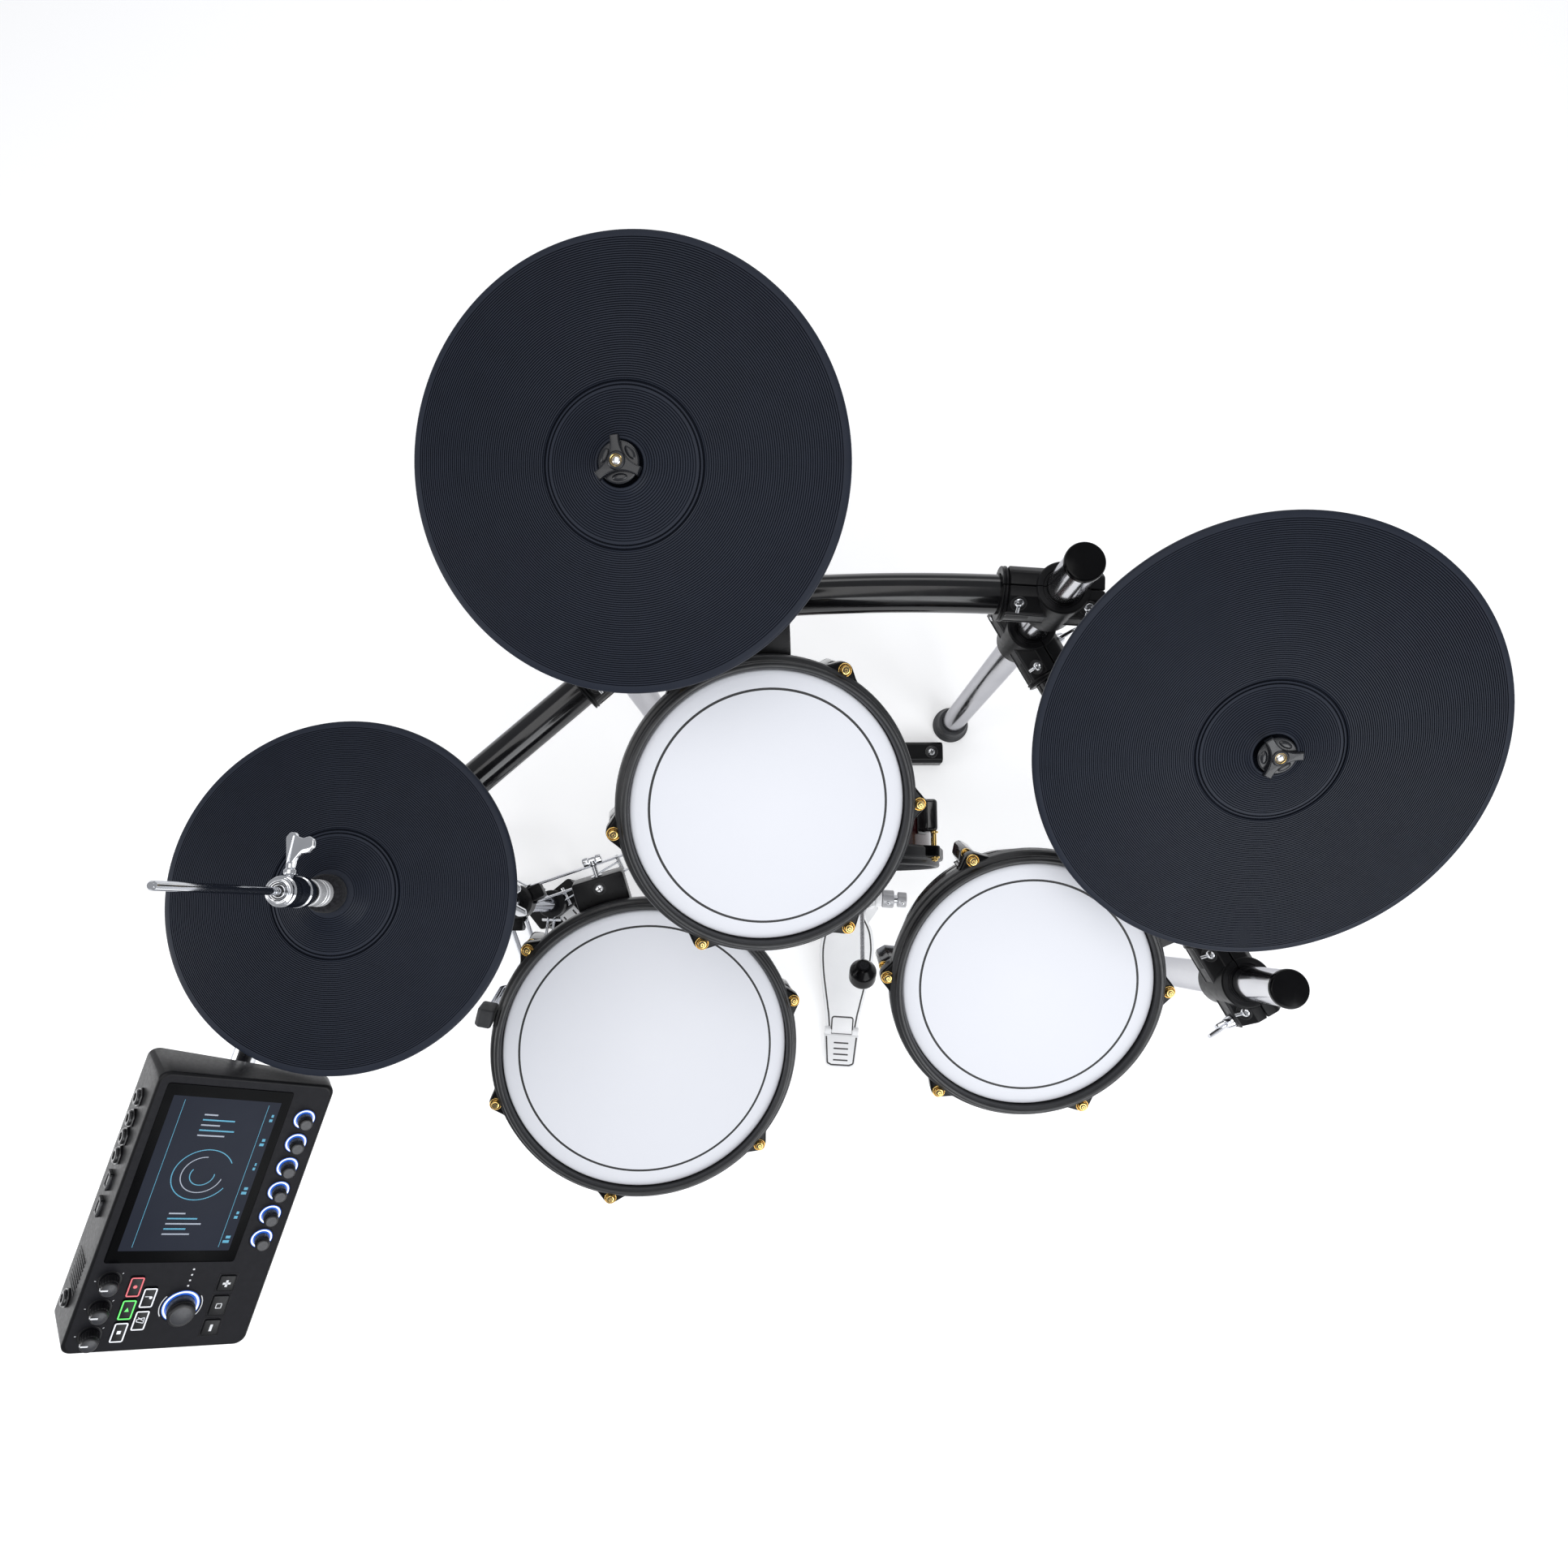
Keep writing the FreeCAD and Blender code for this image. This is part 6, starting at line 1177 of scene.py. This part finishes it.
PALE = mat("screen_pale", (0.16, 0.18, 0.22), 0.0, 0.3, 0.05, 0.12, 60, glow=(0.40, 0.45, 0.55), glow_power=0.4)
HALO = mat("led_halo", (0.70, 0.78, 0.9), 0.0, 0.3, 0.05, 0.1, 90, glow=(0.82, 0.90, 1.0), glow_power=1.1)
HALOB = mat("led_halo_edge", (0.02, 0.06, 0.25), 0.0, 0.3, 0.05, 0.1, 90, glow=(0.02, 0.12, 0.62), glow_power=0.9)
WHITE = mat("white_print", (0.75, 0.76, 0.78), 0.0, 0.5, 0.05, 0.05, 90)
LITW = mat("lit_white", (0.70, 0.71, 0.74), 0.0, 0.35, 0.05, 0.06, 90, glow=(0.85, 0.88, 1.0), glow_power=0.25)
LITR = mat("lit_red", (0.55, 0.10, 0.12), 0.0, 0.35, 0.05, 0.06, 90, glow=(1.0, 0.18, 0.20), glow_power=0.30)
LITG = mat("lit_green", (0.10, 0.55, 0.12), 0.0, 0.35, 0.05, 0.06, 90, glow=(0.10, 1.0, 0.12), glow_power=0.55)
KNOB = mat("knob_soft", (0.0085, 0.0085, 0.0100), 0.0, 0.40, 0.08, 0.2, 200, bump=0.12, bscale=3000)
KTOP = mat("knob_top", (0.020, 0.021, 0.026), 0.0, 0.36, 0.06, 0.12, 240, bump=0.08)
CAP = mat("button_cap", (0.0040, 0.0042, 0.0050), 0.0, 0.34, 0.05, 0.2, 160, spec=0.22)

hw, hl = 67.5, 120.0
sec = axes(np.zeros(3), (1, 0, 0), (0, 0, 1), (0, -1, 0))
ENC = [(51.2, 88.3), (51.2, 66.4), (51.2, 44.5), (51.2, 22.5), (51.2, 0.6), (51.2, -21.3)]
VOL = [(-50.4, -57.6), (-50.4, -81.0), (-50.4, -104.3)]
DIAL = (7.4, -81.4)
BTN = {"button_record": (-31.2, -62.3), "button_play": (-31.2, -82.0), "button_stop": (-31.2, -101.5), "button_tempo": (-19.0, -72.1), "button_metronome": (-19.0, -91.8)}
KEYS = {"key_plus": (36.2, -61.6, 14.0), "key_middle": (36.2, -81.8, 18.0), "key_minus": (36.2, -101.6, 14.0)}

case = Mb()
# body: rounded face outline carried down to the sloping underside, the left wall leaning out
edge = rounded([(-hw, -hl, 8), (hw, -hl, 8), (hw, hl, 8), (-hw, hl, 8)], True, 9)
ring = []
for a in np.linspace(0, 90, 6):
    c, s_ = 1 - math.sin(math.radians(a)), 1 - math.cos(math.radians(a))
    ring.append([(x * (1 - 2.6 * c / hw), y * (1 - 2.6 * c / hl), -2.6 * s_) for x, y in edge])
low_a, low_b, low_c = [], [], []
for x, y in edge:
    u = (x + hw) / (2 * hw)
    low_a.append((x - 7 * (1 - u), y, -(47.6 - 26.6 * u)))
    low_b.append((x - 6.4 * (1 - u) - 1.2 * u, y * 0.994, -(49.4 - 26.4 * u)))
    low_c.append((-68.5 + u * 127.0, y * 0.965, -48.8 + 23.3 * u))
ring += [low_a, low_b, low_c]
k = len(edge)
verts = [v_ for r_ in ring for v_ in r_]
quads = []
for i in range(len(ring) - 1):
    for j in range(k):
        a, b_ = i * k + j, i * k + (j + 1) % k
        quads.append((a, b_, b_ + k, a + k))
case.add(verts, quads + [tuple(range((len(ring) - 1) * k, len(ring) * k))], 0)
case.add(ring[0], [tuple(range(k))], 8)


# collars of the turning controls
def lit_ring(at, r0, r1, r2, r3):
    """White light ring with a blue edge inside and outside, in a low collar."""
    case.rev(rounded([(r0, 0.0), (r0, 0.45), (r1, 0.5)]), tr(*at, 0), 7, 64)
    case.rev([(r1, 0.5), (r2, 0.5)], tr(*at, 0), 1, 64)
    case.rev(rounded([(r2, 0.5), (r3, 0.45, 0.1), (r3 + 0.1, 0.0)]), tr(*at, 0), 7, 64)
    case.rev(rounded([(r3 + 0.1, 0.0), (r3 + 0.15, 0.5, 0.1), (r3 + 0.9, 0.45, 0.2), (r3 + 1.3, 0.0)]), tr(*at, 0), 8, 64)


for at in ENC:
    lit_ring(at, 5.2, 6.9, 8.0, 8.5)
lit_ring(DIAL, 10.2, 11.9, 13.2, 13.8)
# printed arcs beside the dial
for a0, a1 in ((145, 213), (-31, 34)):
    pts = np.array([(DIAL[0] + 15.6 * math.cos(a), DIAL[1] + 15.6 * math.sin(a), 0.12) for a in np.radians(np.linspace(a0, a1, 24))])
    case.sweep(pts, 1.0, None, 2, section=[(-0.35, -0.05), (0.35, -0.05), (0.35, 0.05), (-0.35, 0.05)], up=(0, 0, 1), roll=False)
for x, y in VOL:
    case.rev(rounded([(6.8, 0.0), (6.9, 0.4, 0.1), (8.4, 0.3, 0.1), (8.6, 0.0)]), tr(x, y, 0), 0, 40)
    for a in (-140, 0, 140):
        case.rbox(0.5, 1.3, 0.12, (0, 9.9, 0.1), tr(x, y, 0) @ rotz(90 + a), 2, 0.2, 0.04)


def frame_strip(x, y, w, h, t, mt, z=0.12):
    for ww, hh_, cx, cy in ((w, t, x, y + h / 2), (w, t, x, y - h / 2), (t, h, x - w / 2, y), (t, h, x + w / 2, y)):
        case.rbox(ww + (t if ww > t else 0), hh_, 0.3, (cx, cy, z), None, mt, t * 0.4, 0.08)


for n, (x, y, ln) in KEYS.items():
    frame_strip(x, y, 14.4, ln + 2.0, 0.5, 0)
for y in (-48.9, -53.8, -58.7, -63.5):
    case.rev(rounded([(0, 0.3), (0.5, 0.3), (0.8, 0.1), (0.8, 0)]), tr(7.5, y, 0), 2, 20)
# wall with the jacks: vents
wd = unit([-7.0, 0, -50.0])
wo = unit([-50.0, 0, 7.0])
for i in range(9):
    c = np.array([-hw, -52 - i * 3.4, 0]) + wd * 28
    g = axes(c, wd, (0, 1, 0), np.cross(wd, (0, 1, 0)))
    case.rbox(26, 1.5, 0.8, (0, 0, 0.1), g, 6, 0.7, 0.2)
make("module_case_shell", case, [CASE, HALO, WHITE, LITW, LITR, LITG, DARK_PRINT_AND_SHADE, HALOB, FACE], "module", mod, ["module_case"])

mb = Mb()
o = rounded([(hw - 9.6, -25.3, 1.0), (hw - 9.6, -23.4, 1.0), (-hw - 2.0, -46.9, 1.0), (-hw - 2.0, -49.5, 1.0)], True, 4)
mb.prism(o, -114, 114, sec, 0, 2.0, 3)
nb = unit([24.0, 0, -140.0])
for y in (-96, 96):
    for x in (-56, 44):
        z = -25.4 - (57.9 - x) * 0.1722
        t = axes(np.array([x, y, z]), unit(np.cross((0, 1, 0), nb)), (0, 1, 0), nb)
        mb.rev(rounded([(0, 1.2), (4.0, 1.0, 0.5), (4.4, 0), (0, 0)]), t, 1, 24)
for i in range(10):
    y = -40 + i * 9
    mb.rbox(26, 2.6, 0.7, (30, y, -30.6), np.eye(4), 2, 1.2, 0.2)
make("module_back_cover", mb, [FACE, STEEL, DARK_PRINT_AND_SHADE], "module", mod, ["module_back"])

mb = Mb()
for y in (84.4, 66.3, 50.3, 34.0, -89):
    c = np.array([-hw, y, 0]) + wd * 28
    t = axes(c, (0, 1, 0), np.cross(wo, (0, 1, 0)), wo)
    mb.rev(rounded([(0, -8), (3.2, -8), (3.2, 3.4), (3.6, 4, 0.2), (5.4, 4, 0.5), (6.2, 3.2, 0.5), (6.2, -2)]), t, 0, 36)
    mb.prism([polar(8.2, a)[:2] for a in range(0, 360, 60)], -0.2, 1.6, t, 0, 0.5)
for y in (12.7, -10):
    c = np.array([-hw, y, 0]) + wd * 28
    g = axes(c, wd, (0, 1, 0), np.cross(wd, (0, 1, 0)))
    for w, h, cx, cy in ((2.4, 14, -3.8, 0), (2.4, 14, 3.8, 0), (10, 2.4, 0, 5.8), (10, 2.4, 0, -5.8)):
        mb.rbox(w, h, 5, (cx, cy, 0), g, 1, 0.6, 0.3)
    mb.rbox(4.6, 8.6, 1.0, (0, 0, -1.5), g, 0, 0.4, 0.2)
make("module_jack_set", mb, [BLACKG, NUTB], "module", mod, ["module_jacks"])

mb = Mb()
gx, gy = -11.8, 34.55
mb.rbox(95.2, 153.5, 0.8, (gx, gy, 0.4), None, 0, 2.2, 0.25)
ax0, ax1, ay0, ay1 = -52.6, 28.5, -31.7, 101.5
mb.rbox(ax1 - ax0, ay1 - ay0, 0.10, ((ax0 + ax1) / 2, (ay0 + ay1) / 2, 0.82), None, 1, 0.5, 0.02)


def seg(a, b, w, mt, z=0.90):
    a, b = np.array([*a, z]), np.array([*b, z])
    mb.sweep(line(a, b, 2), 1.0, None, mt, section=[(-w / 2, -0.03), (w / 2, -0.03), (w / 2, 0.03), (-w / 2, 0.03)], up=(0, 0, 1), roll=False)


cx, cy = (ax0 + ax1) / 2, (ay0 + ay1) / 2
# plain screen layout: header and footer rules, level bars and ring marks
seg((ax0 + 9, ay0 + 3), (ax0 + 9, ay1 - 3), 0.35, 2)
seg((ax1 - 9, ay0 + 3), (ax1 - 9, ay1 - 3), 0.35, 2)
for i in range(6):
    y = ay0 + 12 + i * 21.8
    h = (16, 9, 13, 6, 11, 8)[i]
    seg((ax1 - 2.4, y - 4), (ax1 - 2.4 - h * 0.30, y - 4), 2.4, 2)
    seg((ax1 - 2.4, y), (ax1 - 2.4 - h * 0.22, y), 2.4, 2)
for k in range(3):
    rr_ = 22.0 - k * 6.5
    pts = np.array([(cx + rr_ * math.cos(t), cy + rr_ * math.sin(t), 0.9) for t in np.radians(np.arange(30 + 60 * k, 331 + 20 * k, 6))])
    mb.sweep(pts, 1.0, None, 2 if k != 1 else 3, section=[(-0.35, -0.03), (0.35, -0.03), (0.35, 0.03), (-0.35, 0.03)], up=(0, 0, 1), roll=False)
for i in range(5):
    y = cy + 34 + i * 4.5
    seg((cx - 14, y), (cx - 14 + (20, 26, 14, 24, 10)[i], y), 1.2, 2 if i % 2 else 3)
    y = cy - 34 - i * 4.5
    seg((cx - 14, y), (cx - 14 + (12, 22, 26, 16, 20)[i], y), 1.2, 2 if i % 2 else 3)
make("module_display", mb, [GLASS, SCREEN, CYAN, PALE], "module", mod, ["module_screen"])

mb = Mb()
o = rounded([(-20, -37.6), (20, -30.8), (20, -52, 6), (13, -60, 4), (-13, -60, 4), (-20, -52, 6)], True, 5)
mb.prism(o, -26, 26, sec, 0, 1.6, 3)
mb.rev(rounded([(10.3, -26), (15, -26, 1), (16, -25), (16, 25), (15, 26, 1), (10.3, 26)]), axes(np.array([0, 0, -60.0]), (1, 0, 0), (0, 0, -1), (0, 1, 0)), 0, 48, closed=True)
make("module_bracket_casting", mb, [SATIN], "module", mod, ["module_bracket"])


def knob(name, x, y, r, tall, pointer, flutes):
    mb = Mb()
    mb.rev(rounded([(0, -8), (3, -8), (3, 0.6), (r - 0.4, 0.6), (r, 1.2), (r * 0.96, tall - 1.8, 0.4), (r * 0.90, tall - 0.5, 0.6), (r * 0.78, tall, 0.5), (0, tall)]), None, 0, 44)
    for i in range(flutes):
        mb.rbox(0.7, r * 0.26, tall * 0.62, (r * 0.965, 0, tall * 0.46), rotz(i * 360 / flutes), 0, 0.3, 0.2)
    mb.rev([(0, tall + 0.05), (r * 0.70, tall + 0.05), (r * 0.74, tall - 0.1)], None, 1, 44)
    if pointer:
        mb.rbox(1.3, r * 0.80, 0.3, (0, r * 0.50, tall + 0.08), rotz(90), 2, 0.3, 0.08)
        mb.rbox(1.3, 1.0, tall * 0.84, (0, r * 0.93, tall * 0.52), rotz(90), 2, 0.2, 0.1)
    make(name + "_cap", mb, [KNOB, KTOP, WHITE], name, mod @ tr(x, y, 0), [name])


for i, (x, y) in enumerate(ENC):
    knob("encoder_knob_%d" % (i + 1), x, y, 5.6, 12.0, False, 18)
for i, (x, y) in enumerate(VOL):
    knob("volume_knob_%d" % (i + 1), x, y, 6.5, 13.0, True, 20)
knob("main_dial", DIAL[0], DIAL[1], 10.5, 14.0, False, 32)


def symbol(mb, kind, mt, z):
    """Plain transport signs, drawn so that their top points to the module's -X side."""
    def bar(a, b, w=0.7):
        a, b = np.array([*a, z]), np.array([*b, z])
        mb.sweep(line(a, b, 2), 1.0, None, mt, section=[(-w / 2, -0.05), (w / 2, -0.05), (w / 2, 0.05), (-w / 2, 0.05)], up=(0, 0, 1), roll=False)
    if kind == "record":
        mb.rev([(0, z + 0.06), (1.4, z + 0.06), (1.5, z - 0.05)], None, mt, 28)
    elif kind == "play":
        mb.prism([(-1.6, -1.6), (1.6, -1.6), (0, 1.9)], z - 0.05, z + 0.06, None, mt)
    elif kind == "stop":
        mb.prism([(-1.4, -1.4), (1.4, -1.4), (1.4, 1.4), (-1.4, 1.4)], z - 0.05, z + 0.06, None, mt)
    elif kind == "tempo":
        bar((-2.6, 1.0), (2.0, 1.0), 0.5)
        mb.rev([(0, z + 0.06), (1.1, z + 0.06), (1.2, z - 0.05)], tr(1.8, 0, 0), mt, 20)
    elif kind == "metronome":
        for a, b in (((2.6, -2.4), (2.6, 2.4)), ((2.6, -2.4), (-2.6, -1.0)), ((2.6, 2.4), (-2.6, 1.0)), ((-2.6, -1.0), (-2.6, 1.0)), ((1.8, 0), (-2.2, 2.6))):
            bar(a, b, 0.5)
    elif kind == "plus":
        bar((-3.0, 0), (3.0, 0), 1.8)
        bar((0, -3.0), (0, 3.0), 1.8)
    elif kind == "minus":
        bar((0, -3.0), (0, 3.0), 2.0)
    elif kind == "middle":
        for a, b in (((-2, -2), (2, -2)), ((2, -2), (2, 2)), ((2, 2), (-2, 2)), ((-2, 2), (-2, -2))):
            bar(a, b, 0.6)


for n, (x, y) in BTN.items():
    mb = Mb()
    mb.rbox(8.0, 15.0, 6.6, (0, 0, -1.7), None, 0, 0.8, 0.3)
    mb.rim(10.0, 17.0, 1.4, -5.0, 1.9, None, 0, 1.6, 0.2)
    mb.rim(9.7, 16.7, 1.1, 1.85, 2.1, None, 1, 1.5, 0.1)
    mb.rbox(12.0, 17.6, 1.5, (0, 0, -5.5), None, 0, 0.6, 0.3)
    symbol(mb, n.split("_")[1], 1, 1.66)
    make(n + "_cap", mb, [CAP, {"button_record": LITR, "button_play": LITG}.get(n, LITW)], n, mod @ tr(x, y, 0), [n])
for n, (x, y, ln) in KEYS.items():
    mb = Mb()
    mb.rbox(12.5, ln, 6.4, (0, 0, -1.8), None, 0, 1.6, 0.7)
    mb.rbox(14.5, ln + 1.2, 1.5, (0, 0, -5.5), None, 0, 0.6, 0.3)
    symbol(mb, n.split("_")[1], 1, 1.42)
    make(n + "_cap", mb, [CAP, WHITE], n, mod @ tr(x, y, 0), [n])

# ------------------------------------------------------------------ stage, light and camera
fl = bpy.data.materials.new("studio_floor")
fl.use_nodes = True
nt = fl.node_tree
b = nt.nodes["Principled BSDF"]
b.inputs["Roughness"].default_value = 0.75
b.inputs["Specular IOR Level"].default_value = 0.15
b.inputs["Emission Color"].default_value = (1, 1, 1, 1)
b.inputs["Emission Strength"].default_value = 0.33
nz = nt.nodes.new("ShaderNodeTexNoise")
nz.inputs["Scale"].default_value = 1.3
cr = nt.nodes.new("ShaderNodeValToRGB")
cr.color_ramp.elements[0].color, cr.color_ramp.elements[1].color = (0.90, 0.90, 0.905, 1), (0.92, 0.92, 0.92, 1)
nt.links.new(nz.outputs["Fac"], cr.inputs["Fac"])
nt.links.new(cr.outputs["Color"], b.inputs["Base Color"])
me = bpy.data.meshes.new("floor")
me.from_pydata([(-7, -7, -0.0006), (7, -7, -0.0006), (7, 7, -0.0006), (-7, 7, -0.0006)], [], [(0, 1, 2, 3)])
me.materials.append(fl)
floor = bpy.data.objects.new("floor", me)
bpy.context.collection.objects.link(floor)

world = bpy.data.worlds.new("studio")
bpy.context.scene.world = world
world.use_nodes = True
bg = world.node_tree.nodes["Background"]
bg.inputs["Color"].default_value = (0.93, 0.95, 1.0, 1)
bg.inputs["Strength"].default_value = 0.40


def area(name, at, to, size, power, color=(1, 1, 1), shape="RECTANGLE", size_y=None):
    li = bpy.data.lights.new(name, "AREA")
    li.shape = shape
    li.size = size
    li.size_y = size_y or size
    li.energy = power
    li.color = color
    ob = bpy.data.objects.new(name, li)
    bpy.context.collection.objects.link(ob)
    d = Vector(to) - Vector(at)
    ob.location = at
    ob.rotation_euler = d.to_track_quat("-Z", "Y").to_euler()
    return ob


area("key", (-0.5, 0.1, 3.2), (0, 0, 0.5), 2.6, 26, (1.0, 0.99, 0.98), size_y=2.0)
area("fill", (1.3, -1.8, 2.3), (0, 0, 0.5), 2.2, 46, (0.96, 0.98, 1.0), size_y=1.8)
area("rim_left", (-2.6, -0.4, 1.6), (0, 0, 0.6), 0.7, 18, size_y=2.4)
area("rim_front", (0.9, -2.5, 1.9), (0.1, 0, 0.6), 2.4, 4, size_y=0.9)
area("rim_back", (0.4, 2.6, 1.7), (0, 0, 0.6), 2.4, 10, size_y=0.7)

cam = bpy.data.cameras.new("camera")
cam.sensor_width = 36.0
cam.sensor_fit = "HORIZONTAL"
cam.lens = 1150.0 / 1932.0 * 36.0
cam.clip_start, cam.clip_end = 0.05, 50
co = bpy.data.objects.new("camera", cam)
bpy.context.collection.objects.link(co)
v = np.array([(978 - 966) / 1150.0, (1127 - 966) / 1150.0, 1.0])
zw = -v / np.linalg.norm(v)
yw = np.array([0, -1.0, 0])
yw = unit(yw - zw * yw.dot(zw))
xw = np.cross(yw, zw)
R = np.stack([xw, yw, zw])
m = np.eye(4)
m[:3, 0] = R @ np.array([1.0, 0, 0])
m[:3, 1] = R @ np.array([0, -1.0, 0])
m[:3, 2] = R @ np.array([0, 0, -1.0])
m[:3, 3] = W(0, 0, 1640) * 0.001
co.matrix_world = Matrix(m.tolist())
bpy.context.scene.camera = co
bpy.context.scene.view_settings.view_transform = "Standard"
